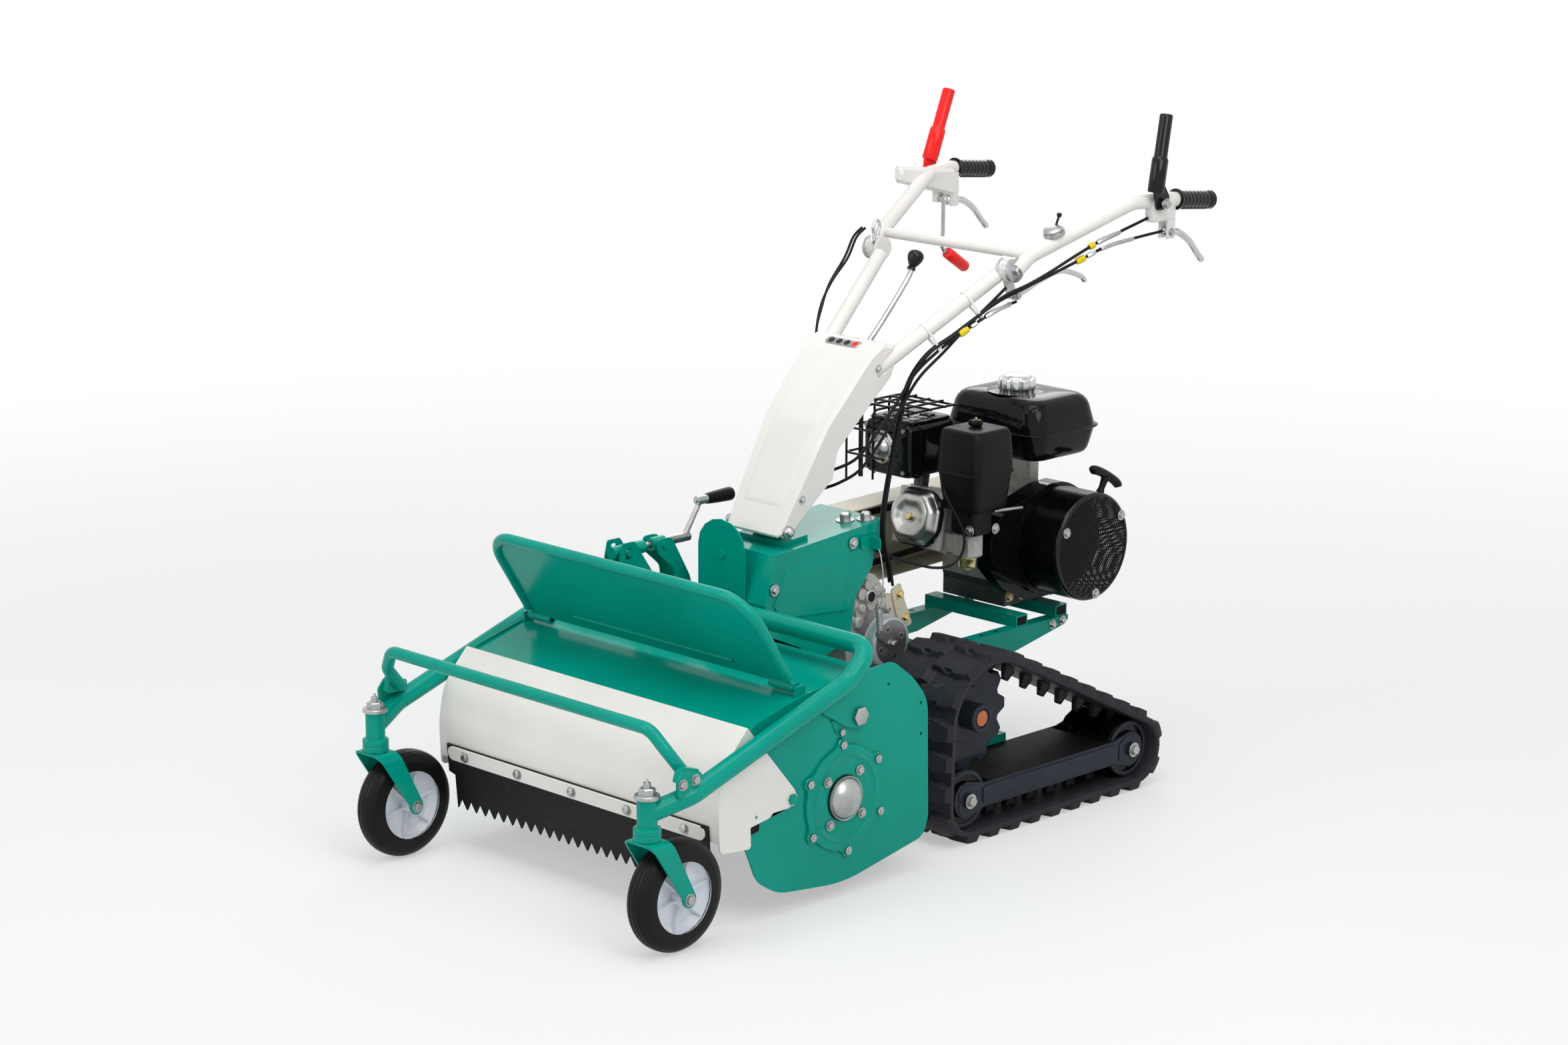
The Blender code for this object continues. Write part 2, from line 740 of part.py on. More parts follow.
def hull_outline(circles, steps=9):
    """The outline of a strap pulled round two circles."""
    (a, ra), (b, rb) = circles
    runs = arc_tangents([(a, ra), (b, rb)])
    points = []
    for index, (begin, end, out) in enumerate(runs):
        centre, radius = circles[(index + 1) % 2]
        following = runs[(index + 1) % 2][2]
        first = math.atan2(out.y, out.x)
        turn = (math.atan2(following.y, following.x) - first) % (2 * math.pi)
        for step in range(steps + 1):
            angle = first + turn * step / steps
            points.append((centre[0] + radius * math.cos(angle),
                           centre[1] + radius * math.sin(angle)))
    return points


COVER_FRONT = [(-0.5161, 0.3470), (-0.5648, 0.2917), (-0.5805, 0.2344), (-0.5815, 0.1900),
               (-0.5790, 0.1600)]


def build_cover():
    """White front cover with side wings on its pivots, rubber flap and clamping strip."""
    outer = SIDE_X + GAP + COVER_T
    sheet = plate("front_cover", [strip(smooth(COVER_FRONT, 3), -COVER_T)],
                  2 * (outer - COVER_T / 2), "YZ", (0, 0, 0), "white_paint")
    wing = smooth(COVER_FRONT[:4], 3) + [(-0.5790, 0.1440), (-0.508, 0.137),
                                         (COVER_PIVOT[0] - 0.006, COVER_PIVOT[1] - 0.013)]
    for step in range(5):
        angle = math.radians(-50 + 25 * step)
        wing.append((COVER_PIVOT[0] + 0.014 * math.cos(angle),
                     COVER_PIVOT[1] + 0.014 * math.sin(angle)))
    wings = []
    for side in (1, -1):
        wings.append(side_plate("cover_wing", [wing, circle(COVER_PIVOT, 0.0058, 12)],
                                side * (SIDE_X + GAP), side * outer, "white_paint"))
    fuse(sheet, *wings)
    reach = 0.330
    hem = [(reach, 0.0), (reach, -0.052), (0.3140, -0.056)]
    teeth = 26
    for step in range(teeth + 1):
        x = 0.3140 - 2 * 0.3140 * step / teeth
        hem.append((x, -0.118))
        if step < teeth:
            hem.append((x - 0.3140 / teeth, -0.098))
    hem += [(-0.3140, -0.056), (-reach, -0.052), (-reach, 0.0)]
    flap = plate("front_flap", [hem], 0.004, "XZ", (0, 0, 0), "soft_rubber")
    flap.rotation_euler = (math.pi / 2 + math.radians(5.0), 0, 0)
    flap.location = (0, -0.5838, 0.1880)
    bar = block("flap_strip", (0.640, 0.003, 0.024), (0, -0.5859, 0.1735), "soft_rubber",
                (math.radians(5.0), 0, 0))
    bolts = []
    for index in range(5):
        x = 0.1388 * (index - 2)
        bolts.append(hex_head("strip_bolt", 0.0065, (x, -0.5865, 0.1740), (x, -0.5910, 0.1744),
                              "soft_rubber"))
    fuse(flap, bar, *bolts)
    return hang("cover_axis", (0, *COVER_PIVOT), sheet, flap)


LID_X = 0.335
LID_UP = (-0.107, 0.167)


def build_lid():
    """Guard lid: sheet with a rounded tube frame, hinged on the deck's roof."""
    reach = Vector(LID_UP)
    low = Vector((0, *DECK_HINGE)) + Vector((0, reach.x, reach.y)) * 0.10
    high = Vector((0, *DECK_HINGE)) + Vector((0, reach.x, reach.y))
    half = LID_X - 0.012
    corners = [(half, low.y, low.z), (half, high.y, high.z), (-half, high.y, high.z),
               (-half, low.y, low.z)]
    frame = tube("guard_lid", bent(corners, 0.060, 3), 0.0095, "green_paint")
    length = Vector(LID_UP).length
    near = 0.0050
    outline = [(-half, near), (half, near)]
    for sign in (1, -1):
        corner = [Vector((sign * half, 0.05)), Vector((sign * half, length)), Vector((0, length))]
        outline += corner_arc(*(corner if sign == 1 else corner[::-1]), 0.060, 3)
    sheet = plate("lid_sheet", [outline], 0.0025, "XY", (0, 0, 0), "green_paint")
    tilt = math.atan2(reach.y, reach.x)
    sheet.rotation_euler = (tilt, 0, 0)
    sheet.location = (0, *DECK_HINGE)
    barrels = []
    for side in (1, -1):
        barrels.append(rod("lid_barrel", 0.0085, (side * (LID_X - 0.060), *DECK_HINGE),
                           (side * (LID_X - 0.002), *DECK_HINGE), "green_paint", 14))
    fuse(frame, sheet, *barrels)
    bores = []
    for side in (1, -1):
        bores.append(rod("lid_bore", 0.0035 + GAP, (side * (LID_X - 0.032), *DECK_HINGE),
                         (side * (LID_X + 0.01), *DECK_HINGE), None, 10))
    cut(frame, *bores)
    return hang("lid_axis", (0, *DECK_HINGE), frame)


# Caster hoop and wheels

GUSSET_X = (SIDE_X + GAP, 0.3585)


def hoop_route():
    half = [(POST_X, POST_Y, 0.2470), (ARM_X, -0.6600, 0.2700), (ARM_X, -0.3000, 0.3880),
            (ARM_X, CROSS_PIPE[0], 0.4300)]
    route = mirrored([(x, y, z) for x, y, z in half[:3]] + [(ARM_X, *CROSS_PIPE)])
    return bent(route, 0.062, 3)


def build_hoop():
    """The caster hoop: one bent pipe, two posts, pivot gussets, bumper lugs and the jack ears."""
    pipe = tube("hoop_frame", hoop_route(), ARM_R, "green_paint")
    parts = []
    for side in (1, -1):
        x = side * POST_X
        parts.append(rod("post", POST_R, (x, POST_Y, POST_FOOT + 0.001), (x, POST_Y, POST_TOP),
                         "green_paint", 20))
        parts.append(rod("collar", COLLAR_R, (x, POST_Y, POST_FOOT), (x, POST_Y, POST_FOOT + 0.022),
                         "green_paint", 24))
        gusset = [(-0.357, 0.346), (-0.294, 0.306), (-0.252, 0.296), (-0.236, 0.306),
                  (-0.232, 0.352), (-0.247, 0.424), (-0.290, 0.400)]
        parts.append(side_plate("gusset", [gusset, circle(HOOP_PIVOT, 0.0110 + 2 * RUN, 12)],
                                side * GUSSET_X[0], side * GUSSET_X[1], "green_paint"))
        lug = [(-0.700, 0.262), (-0.640, 0.281), (-0.640, 0.312), (-0.695, 0.300)]
        parts.append(side_plate("bumper_lug", [lug], side * 0.3760, side * 0.3800, "green_paint"))
    for offset in (-0.0205, 0.0175):
        ear = [(-0.262, 0.436), (-0.238, 0.446), (-0.300, 0.536), (-0.329, 0.536), (-0.336, 0.505)]
        slot = [(-0.3215, 0.5055), (-0.3085, 0.5055), (-0.3085, 0.5285), (-0.3215, 0.5285)]
        parts.append(side_plate("jack_ear", [ear, slot], JACK_X + offset, JACK_X + offset + 0.003,
                                "green_paint"))
    fuse(pipe, *parts)
    bores = []
    for side in (1, -1):
        x = side * POST_X
        bores.append(rod("post_bore", STEM_R + RUN, (x, POST_Y, POST_FOOT - 0.01),
                         (x, POST_Y, POST_TOP + 0.01), None, 16))
    cut(pipe, *bores)
    bumper = tube("bumper", bent(mirrored([(0.3575, -0.6640, 0.3030), (0.3560, -0.6950, 0.3400),
                                           (0.3250, -0.7100, 0.3800)]), 0.030, 2),
                  0.0108, "green_paint")
    plates = []
    for side in (1, -1):
        lug = [(-0.690, 0.294), (-0.648, 0.291), (-0.648, 0.309), (-0.684, 0.319)]
        plates.append(side_plate("bumper_plate", [lug], side * 0.3600, side * 0.3770,
                                 "green_paint"))
    fuse(pipe, bumper, *plates)
    return hang("hoop_axis", (0, *HOOP_PIVOT), pipe)


def caster(word, side):
    """Fork with its stem and nut, tyre and plastic hub."""
    x = side * POST_X
    axle = (POST_Y + TRAIL, TYRE_R)
    crown_top = POST_FOOT - GAP
    half = FORK_W / 2
    leg = [(POST_Y - 0.0225, crown_top), (POST_Y + 0.0225, crown_top)]
    for step in range(7):
        angle = math.radians(60 - 35 * step)
        leg.append((axle[0] + 0.014 * math.cos(angle), axle[1] + 0.014 * math.sin(angle)))
    fork = block("fork_" + word, (FORK_W, 0.045, FORK_T), (x, POST_Y, crown_top - FORK_T / 2),
                 "green_paint")
    parts = []
    for sign in (1, -1):
        parts.append(side_plate("fork_leg", [rounded(leg, 0.004, 1)], x + sign * (half - FORK_T),
                                x + sign * half, "green_paint"))
    head = half + 0.0065
    parts.append(rod("fork_axle", AXLE_R, (x - head, *axle), (x + head, *axle), "green_paint", 12))
    parts.append(hex_head("fork_bolt", 0.0085, (x - head - 0.001, *axle), (x - half + 0.001, *axle),
                          "green_paint"))
    parts.append(hex_head("fork_nut", 0.0085, (x + half - 0.001, *axle), (x + head + 0.001, *axle),
                          "green_paint"))
    parts.append(rod("fork_stem", STEM_R, (x, POST_Y, crown_top - 0.002), (x, POST_Y, 0.3000),
                     "green_paint", 16))
    parts.append(rod("fork_washer", 0.020, (x, POST_Y, POST_TOP + GAP),
                     (x, POST_Y, POST_TOP + 0.0035), "green_paint", 24))
    parts.append(hex_head("fork_top_nut", 0.0145, (x, POST_Y, POST_TOP + 0.003),
                          (x, POST_Y, POST_TOP + 0.0145), "green_paint"))
    fuse(fork, *parts)
    hang("caster_axis_" + word, (x, POST_Y, POST_FOOT), fork)
    t = TYRE_W / 2
    tread = [(RIM_R, t - 0.006), (0.080, t), (0.0900, t - 0.004), (TYRE_R, t - 0.014),
             (TYRE_R, -t + 0.014), (0.0900, -t + 0.004), (0.080, -t), (RIM_R, -t + 0.006)]
    tyre = turned("tyre_" + word, tread, (x, *axle), (1, 0, 0), "soft_rubber", 40)
    r = RIM_R - GAP
    bore = AXLE_R + RUN
    inner = half - FORK_T - 0.0008
    hub = [(bore, inner), (0.013, inner), (0.0145, 0.0070), (0.050, 0.0060), (r, t - 0.0065),
           (r, -t + 0.0065), (0.050, -0.0060), (0.0145, -0.0070), (0.013, -inner), (bore, -inner)]
    rim = turned("wheel_hub_" + word, hub, (x, *axle), (1, 0, 0), "hub_plastic", 40)
    hang("wheel_axis_" + word, (x, *axle), tyre, rim)


def jack_clevis():
    """Two cheeks on the deck's roof with a bored tee between them."""
    outline = rounded([(-0.2000, 0.3805), (-0.1450, 0.3585), (-0.1650, 0.4500), (-0.2100, 0.5290),
                       (-0.2440, 0.5290), (-0.2440, 0.5050), (-0.2030, 0.4700)], 0.008, 2)
    near = side_plate("jack_bracket", [outline], JACK_X - 0.0200, JACK_X - 0.0170, "green_paint")
    far = side_plate("jack_cheek", [outline], JACK_X + 0.0170, JACK_X + 0.0200, "green_paint")
    tee = rod("jack_tee", 0.0125, (JACK_X, JACK_Y - 0.015, JACK_Z), (JACK_X, JACK_Y + 0.015, JACK_Z),
              "green_paint", 20)
    trunnion = rod("jack_trunnion", 0.0060, (JACK_X - 0.0235, JACK_Y, JACK_Z),
                   (JACK_X + 0.0235, JACK_Y, JACK_Z), "green_paint", 12)
    fuse(near, far, tee, trunnion)
    return cut(near, rod("tee_bore", 0.0062, (JACK_X, JACK_Y - 0.03, JACK_Z),
                         (JACK_X, JACK_Y + 0.03, JACK_Z), None, 16))


def build_jack():
    """Crank with its screw, and the tube that pushes the hoop."""
    axis = (JACK_Y, JACK_Z)
    screw = rod("crank", 0.0058, (JACK_X, -0.2920, JACK_Z), (JACK_X, JACK_Y + 0.018, JACK_Z),
                "zinc", 16)
    sleeve = rod("crank_sleeve", 0.0085, (JACK_X, JACK_Y + 0.0155, JACK_Z),
                 (JACK_X, -0.1500, JACK_Z), "zinc", 20)
    arm_top = (JACK_X, -0.1200, JACK_Z + CRANK_R)
    arm = rod("crank_arm", 0.0055, (JACK_X, -0.1580, JACK_Z + 0.004), arm_top, "zinc", 8, 0.0045)
    pin = rod("crank_pin", 0.0085, (JACK_X, -0.1300, JACK_Z + CRANK_R),
              (JACK_X, -0.1060, JACK_Z + CRANK_R), "zinc", 16)
    core = rod("crank_core", 0.0035, (JACK_X, -0.1340, JACK_Z + CRANK_R),
               (JACK_X, -0.0520, JACK_Z + CRANK_R), "zinc", 10)
    knob = [(0, 0.0640), (0.0090, 0.0640), (0.0125, 0.0600), (0.0125, 0.0520), (0.0092, 0.0),
            (0, 0.0)]
    grip = turned("crank_grip", knob, (JACK_X, -0.1070, JACK_Z + CRANK_R), (0, 1, 0),
                  "zinc", 20)
    fuse(screw, sleeve, arm, pin, core, grip)
    hang("crank_axis", (JACK_X, *axis), screw)
    bore = 0.0085
    wall = [(bore, 0.0), (0.0120, 0.0), (0.0120, -0.0760), (0.0, -0.0760), (0.0, -0.0600),
            (bore, -0.0600)]
    ring = turned("jack_tube", wall, (JACK_X, -0.2620, JACK_Z), (0, 1, 0), "green_paint", 20)
    cross = rod("jack_cross_pin", 0.0055, (JACK_X - 0.0240, -0.3150, JACK_Z),
                (JACK_X + 0.0240, -0.3150, JACK_Z), "green_paint", 12)
    fuse(ring, cross)
    return hang("jack_slide_axis", (JACK_X, -0.2620, JACK_Z), ring)


# Chassis and drive

def build_chassis():
    """Two rails with inward flanges, cross tubes for the engine and a tube to the track frames."""
    rails = []
    front, rear = 0.130, 0.560
    side = [(front, 0.2420), (0.395, 0.2480), (rear - 0.010, 0.278), (rear, 0.286),
            (rear, RAIL_TOP), (front, RAIL_TOP)]
    for sign in (1, -1):
        outer = sign * RAIL_X
        inner = sign * (RAIL_X - RAIL_T)
        rails.append(side_plate("chassis_frame", [side], inner, outer, "green_paint"))
        rails.append(block("rail_flange", (0.026, rear - front, RAIL_T),
                           (sign * (RAIL_X - 0.013), (front + rear) / 2, RAIL_TOP - RAIL_T / 2),
                           "green_paint"))
        rails.append(block("frame_leg", (0.006, 0.050, 0.160),
                           (sign * (RAIL_X - 0.006), 0.330, 0.170), "green_paint"))
    for y in (0.432, 0.588 - 0.045):
        rails.append(block("cross_tube", (2 * RAIL_X - 0.006, 0.032, CROSS_TUBE),
                           (0, y, RAIL_TOP + CROSS_TUBE / 2 - 0.0005), "green_paint"))
    inner_reach = TRACK_X - ROLLER_W / 2 - 0.008 - GAP
    rails.append(block("track_cross_tube", (2 * inner_reach, 0.044, 0.044), (0, 0.330, 0.092),
                       "green_paint"))
    rails.append(block("front_tie", (2 * RAIL_X - 0.004, 0.005, 0.050), (0, 0.2120, 0.2700),
                       "green_paint"))
    return fuse(rails[0], *rails[1:])


CASE_OUTLINE = [(0.0085, 0.3460), (0.0330, 0.4440), (0.0660, 0.4560), (0.0950, 0.4420),
                (0.1180, 0.3600), (0.1900, 0.2900), (0.2050, 0.2400), (0.1950, 0.1800),
                (0.1500, 0.1560), (0.0900, 0.1700), (0.0250, 0.2400), (0.0085, 0.3000)]


def build_transmission():
    """Cast gear case with bosses on its face and the two axle tubes."""
    half = 0.070
    case = side_plate("transmission_case", [rounded(CASE_OUTLINE, 0.014, 1)], -half, half,
                      "cast_metal")
    axle = rod("axle_tube", 0.030, (-TRACK_X + 0.0755, *SPROCKET), (TRACK_X - 0.0755, *SPROCKET),
               "cast_metal", 16)
    parts = [axle]
    for y, z, radius, rise in ((0.043, 0.420, 0.011, 0.008), (0.057, 0.436, 0.010, 0.010),
                               (0.084, 0.421, 0.009, 0.008), (0.041, 0.386, 0.014, 0.006),
                               (0.066, 0.399, 0.013, 0.009)):
        parts.append(rod("case_boss", radius, (half - 0.004, y, z), (half + rise, y, z),
                         "cast_metal", 14))
    parts.append(rod("brake_shaft_boss", 0.018, (half - 0.004, 0.0757, 0.332), (0.0970, 0.0757, 0.332),
                     "cast_metal", 16))
    parts.append(rod("input_boss", 0.018, (-half + 0.004, *INPUT_SHAFT), (-0.0900, *INPUT_SHAFT),
                     "cast_metal", 16))
    fuse(case, *parts)
    drum = turned("brake_drum", [(0, 0.0220), (0.0440, 0.0220), (0.0465, 0.0195), (0.0465, 0.0),
                                 (0, 0.0)], (0.0965, 0.0757, 0.332), (1, 0, 0), "cast_metal",
                  32)
    bracket = rounded([(0.1050, 0.4100), (0.1300, 0.4050), (0.1550, 0.3650), (0.1600, 0.3200),
                       (0.1400, 0.3050), (0.1150, 0.3450)], 0.008, 2)
    side_bracket = side_plate("side_bracket", [bracket], 0.0690, 0.0740, "cast_metal")
    fuse(case, drum, side_bracket)
    return case


def build_brake_arm():
    """Link plate on the drum's shaft with the coil spring that its cable pulls."""
    axis = (0.0757, 0.332)
    base = 0.1188
    arm = side_plate("brake_arm", [hull_outline([(axis, 0.010), ((0.0400, 0.356), 0.007)])],
                     base, base + 0.003, "zinc")
    pin = rod("arm_pin", 0.0045, (base - 0.0001, *axis), (base + 0.006, *axis), "zinc", 12)
    stud = rod("arm_stud", 0.0025, (base + 0.001, 0.0400, 0.356), (base + 0.010, 0.0400, 0.356),
               "zinc", 10)
    head = rod("arm_stud_head", 0.0040, (base + 0.009, 0.0400, 0.356), (base + 0.011, 0.0400, 0.356),
               "zinc", 10)
    fuse(arm, pin, stud, head)
    route = coil_route((base + 0.0062, 0.0400, 0.356), (0.000, -0.1, 1.0), 0.052, 0.0045, 8,
                       0.0025 + GAP + 0.0007)
    spring = tube("brake_spring", route, 0.0007, "zinc", 0)
    hang("brake_arm_axis", (base, *axis), arm, spring)


def coil_route(foot, direction, length, radius, turns, eye):
    """A wound spring with a curl at each end; eye is the curl's inner wire-centre radius."""
    up = Vector(direction).normalized()
    side = Vector((1, 0, 0))
    across = up.cross(side).normalized()
    start_point = Vector(foot)
    route = []
    for step in range(10):
        angle = math.radians(-100 + 280 * step / 9 - 90)
        route.append(start_point + across * (eye * math.cos(angle)) + up * (eye * math.sin(angle))
                     + side * (0.0016 * step / 9))
    body = length - 2 * eye - 0.008
    base = start_point + up * (eye + 0.004)
    count = turns * 8
    for step in range(count + 1):
        angle = 2 * math.pi * turns * step / count + math.pi
        grow = min(1.0, step / 6, (count - step) / 6)
        route.append(base + up * (body * step / count) + across * (radius * grow * math.cos(angle))
                     + side * (radius * grow * math.sin(angle)))
    top = base + up * (body + 0.004 + eye)
    for step in range(10):
        angle = math.radians(-90 + 280 * step / 9)
        route.append(top + across * (eye * math.cos(angle)) + up * (eye * math.sin(angle))
                     + side * (0.0016 * step / 9))
    return [tuple(point) for point in route]


def fan_parts():
    """The cooling fan on the crankshaft's other end."""
    hub = turned("cooling_fan", [(0, 0.034), (0.020, 0.034), (0.026, 0.016), (0.074, 0.010),
                                 (0.074, 0.005), (0, 0.005)], (0.0640, *CRANKSHAFT), (1, 0, 0),
                 "cast_metal", 28)
    blades = []
    for step in range(8):
        angle = 2 * math.pi * step / 8
        blades.append(block("fan_blade", (0.026, 0.030, 0.004),
                            (0.0840, CRANKSHAFT[0] + 0.055 * math.cos(angle),
                             CRANKSHAFT[1] + 0.055 * math.sin(angle)), "cast_metal",
                            (angle + 0.35, 0, 0)))
    return [hub] + blades


def build_belt_drive():
    """Engine pulley, input pulley, belt and the cover over them on the right-hand side."""
    engine = CRANKSHAFT
    gear = INPUT_SHAFT
    x = -0.1600
    small, large = 0.045, 0.055
    for name, centre, radius, reach in (("crankshaft", engine, small, 0.0720),
                                        ("input_pulley", gear, large, -0.0903)):
        groove = radius - 0.006
        profile = [(0, 0.0160), (0.020, 0.0160), (0.020, 0.0110), (radius, 0.0110),
                   (radius, 0.0090), (groove, 0.0055), (groove, -0.0055), (radius, -0.0090),
                   (radius, -0.0110), (0.020, -0.0110), (0.020, -0.0160), (0, -0.0160)]
        wheel = turned(name, profile, (x, *centre), (1, 0, 0), "cast_metal", 28)
        shaft = rod(name + "_shaft", 0.0125, (x, *centre), (reach, *centre), "cast_metal", 14)
        fuse(wheel, shaft)
        if name == "crankshaft":
            fuse(wheel, *fan_parts())
        hang(name + "_axis", (x, *centre), wheel)
    outer = hull_outline([(engine, small + 0.0045), (gear, large + 0.0045)])
    ease = 0.982
    inner = hull_outline([(engine, (small - 0.0057) / ease), (gear, (large - 0.0057) / ease)])
    side_plate("drive_belt", [outer, inner], x - 0.0050, x + 0.0050, "soft_rubber")
    shell = hull_outline([(engine, 0.072), (gear, 0.074)])
    hollow = hull_outline([(engine, 0.069), (gear, 0.071)])
    cover = side_plate("belt_cover", [shell], -0.1930, -0.1250, "white_paint")
    cut(cover, side_plate("belt_hollow", [hollow], -0.1900, -0.1200, None))
    return cover


# Engine

CYLINDER_TILT = math.radians(14)


def along_cylinder(distance, lift=0.0):
    """A YZ point at a distance from the crankshaft along the cylinder's line."""
    out = (-math.cos(CYLINDER_TILT), math.sin(CYLINDER_TILT))
    return (CRANKSHAFT[0] + out[0] * distance + lift * out[1],
            CRANKSHAFT[1] + out[1] * distance - lift * out[0])


def build_crankcase():
    """Crankcase on its base with the finned cylinder leaning forward."""
    outline = [(0.445, 0.345), (0.445, 0.400), (0.470, 0.500), (0.520, 0.527), (0.575, 0.520),
               (0.620, 0.480), (0.625, 0.400), (0.610, 0.345)]
    case = side_plate("crankcase", [rounded(outline, 0.018, 2)], -0.0980, 0.0576, "cast_metal")
    base = block("case_base", (0.155, 0.160, 0.040), (-0.0225, 0.530, BASE_Z + 0.020), "cast_metal")
    parts = [base]
    barrel = along_cylinder(0.165)
    parts.append(block("barrel", (0.090, 0.195, 0.084), (-0.017, *barrel), "cast_metal",
                       (-CYLINDER_TILT, 0, 0)))
    for step in range(6):
        fin = along_cylinder(0.135 + 0.0185 * step)
        parts.append(block("fin", (0.114, 0.0055, 0.112), (-0.017, *fin), "cast_metal",
                           (-CYLINDER_TILT, 0, 0)))
    head = along_cylinder(0.250)
    parts.append(block("head_flange", (0.112, 0.012, 0.104), (-0.017, *head), "cast_metal",
                       (-CYLINDER_TILT, 0, 0)))
    parts.append(rod("shaft_boss", 0.045, (-0.090, *CRANKSHAFT), (-0.1070, *CRANKSHAFT),
                     "cast_metal", 20))
    cover = block("rocker_cover", (0.116, 0.030, 0.104), (-0.017, *along_cylinder(0.2704)),
                  "cast_metal", (-CYLINDER_TILT, 0, 0))
    parts.append(round_edges(cover, 0.012, 2))
    parts.append(rod("rocker_bolt", 0.0070, (-0.017, *along_cylinder(0.2800)),
                     (-0.017, *along_cylinder(0.2930)), "cast_metal", 6))
    parts.append(block("carburettor", (0.044, 0.040, 0.046), (0.0800, 0.3180, 0.4650),
                       "cast_metal", bevel=0.004))
    parts.append(turned("carb_bowl", [(0, 0.0), (0.017, 0.0), (0.017, -0.018), (0.010, -0.024),
                                      (0, -0.024)], (0.0800, 0.3180, 0.4440), (0, 0, 1),
                        "cast_metal", 16))
    parts.append(block("carb_flange", (0.028, 0.034, 0.034), (0.0520, 0.3180, 0.4650),
                       "cast_metal"))
    parts.append(block("tank_post", (0.100, 0.024, 0.100), (-0.010, 0.545, 0.549), "cast_metal"))
    fuse(case, *parts)
    return cut(case, rod("shaft_bore", 0.0125 + RUN, (-0.1200, *CRANKSHAFT), (0.0700, *CRANKSHAFT),
                         None, 14))


def build_head():
    """Air filter, muffler and its wire guard."""
    bm = bmesh.new()
    tapered_block(bm, Vector((0.087, 0.3275, 0.6450)), Vector((1, 0, 0)), Vector((0, 1, 0)),
                  Vector((0, 0, 1)), (0.106, 0.110, 0.080), 0.93)
    box = from_bmesh("air_filter", bm, "black_plastic")
    round_edges(box, 0.010, 2)
    bm = bmesh.new()
    tapered_block(bm, Vector((0.087, 0.3275, 0.5700)), Vector((1, 0, 0)), Vector((0, 1, 0)),
                  Vector((0, 0, -1)), (0.106, 0.110, 0.074), 0.80)
    lower = from_bmesh("filter_lower", bm, "black_plastic")
    round_edges(lower, 0.008, 2)
    neck = block("filter_neck", (0.060, 0.055, 0.070), (0.088, 0.3180, 0.5235), "black_plastic",
                 bevel=0.006)
    knob = turned("filter_knob", [(0, 0.014), (0.011, 0.013), (0.014, 0.009), (0.014, 0.004),
                                  (0.006, 0.001), (0.006, -0.004), (0, -0.004)],
                  (0.088, 0.3275, 0.6845), (0, 0, 1), "black_plastic", 18)
    fuse(box, lower, neck, knob)
    box = block("muffler", (0.123, 0.1255, 0.104), (-0.0785, 0.3273, 0.6270), "black_gloss")
    round_edges(box, 0.010, 2)
    pipe = rod("exhaust_pipe", 0.014, (-0.0500, 0.335, 0.585), (-0.0500, 0.330, 0.5530),
               "black_gloss", 14)
    outlet = turned("outlet", [(0, 0.019), (0.010, 0.018), (0.019, 0.012), (0.022, 0.004),
                               (0.031, 0.0035), (0.031, -0.001), (0, -0.001)],
                    (-0.0880, 0.2650, 0.6300), (0, -1, 0), "black_gloss", 24)
    return fuse(box, pipe, outlet, *build_wire_guard())


def build_wire_guard():
    """Cage of round wire over the muffler's top, front and outer side."""
    wire = 0.0022
    low, high = 0.5600, 0.7000
    left, right = -0.1600, -0.0250
    first = tube("muffler_guard", bent([(left, 0.2450, low), (left, 0.2450, high),
                                        (left, 0.3950, high), (left, 0.3950, low)], 0.015, 1),
                 wire, "black_gloss", 0)
    others = []
    for x in (-0.0925, right):
        foot = high - 0.006 if x > -0.05 else low + 0.010
        others.append(tube("guard_hoop", [(x, 0.2450, foot), (x, 0.2450, high + 0.001),
                                          (x, 0.3975, high + 0.001)], wire, "black_gloss", 0))
    for y in (0.2790, 0.3180, 0.3570):
        others.append(tube("guard_cross", [(left + 0.0015, y, low), (left + 0.0015, y, high + 0.002),
                                           (right + 0.010, y, high + 0.002)],
                           wire, "black_gloss", 0))
    for z in (0.6600, 0.6120):
        others.append(tube("guard_rail", [(-0.0630, 0.2435, z), (left - 0.0015, 0.2435, z),
                                          (left - 0.0015, 0.4000, z)], wire, "black_gloss", 0))
    others.append(tube("guard_end", [(left - 0.004, 0.3940, high - 0.0015),
                                     (right + 0.006, 0.3940, high - 0.0015)], wire,
                       "black_gloss", 0))
    others.append(tube("guard_stay", [(-0.0925, 0.3380, high + 0.0005), (-0.0925, 0.3380, 0.6740)],
                       wire, "black_gloss", 0))
    return [first] + others


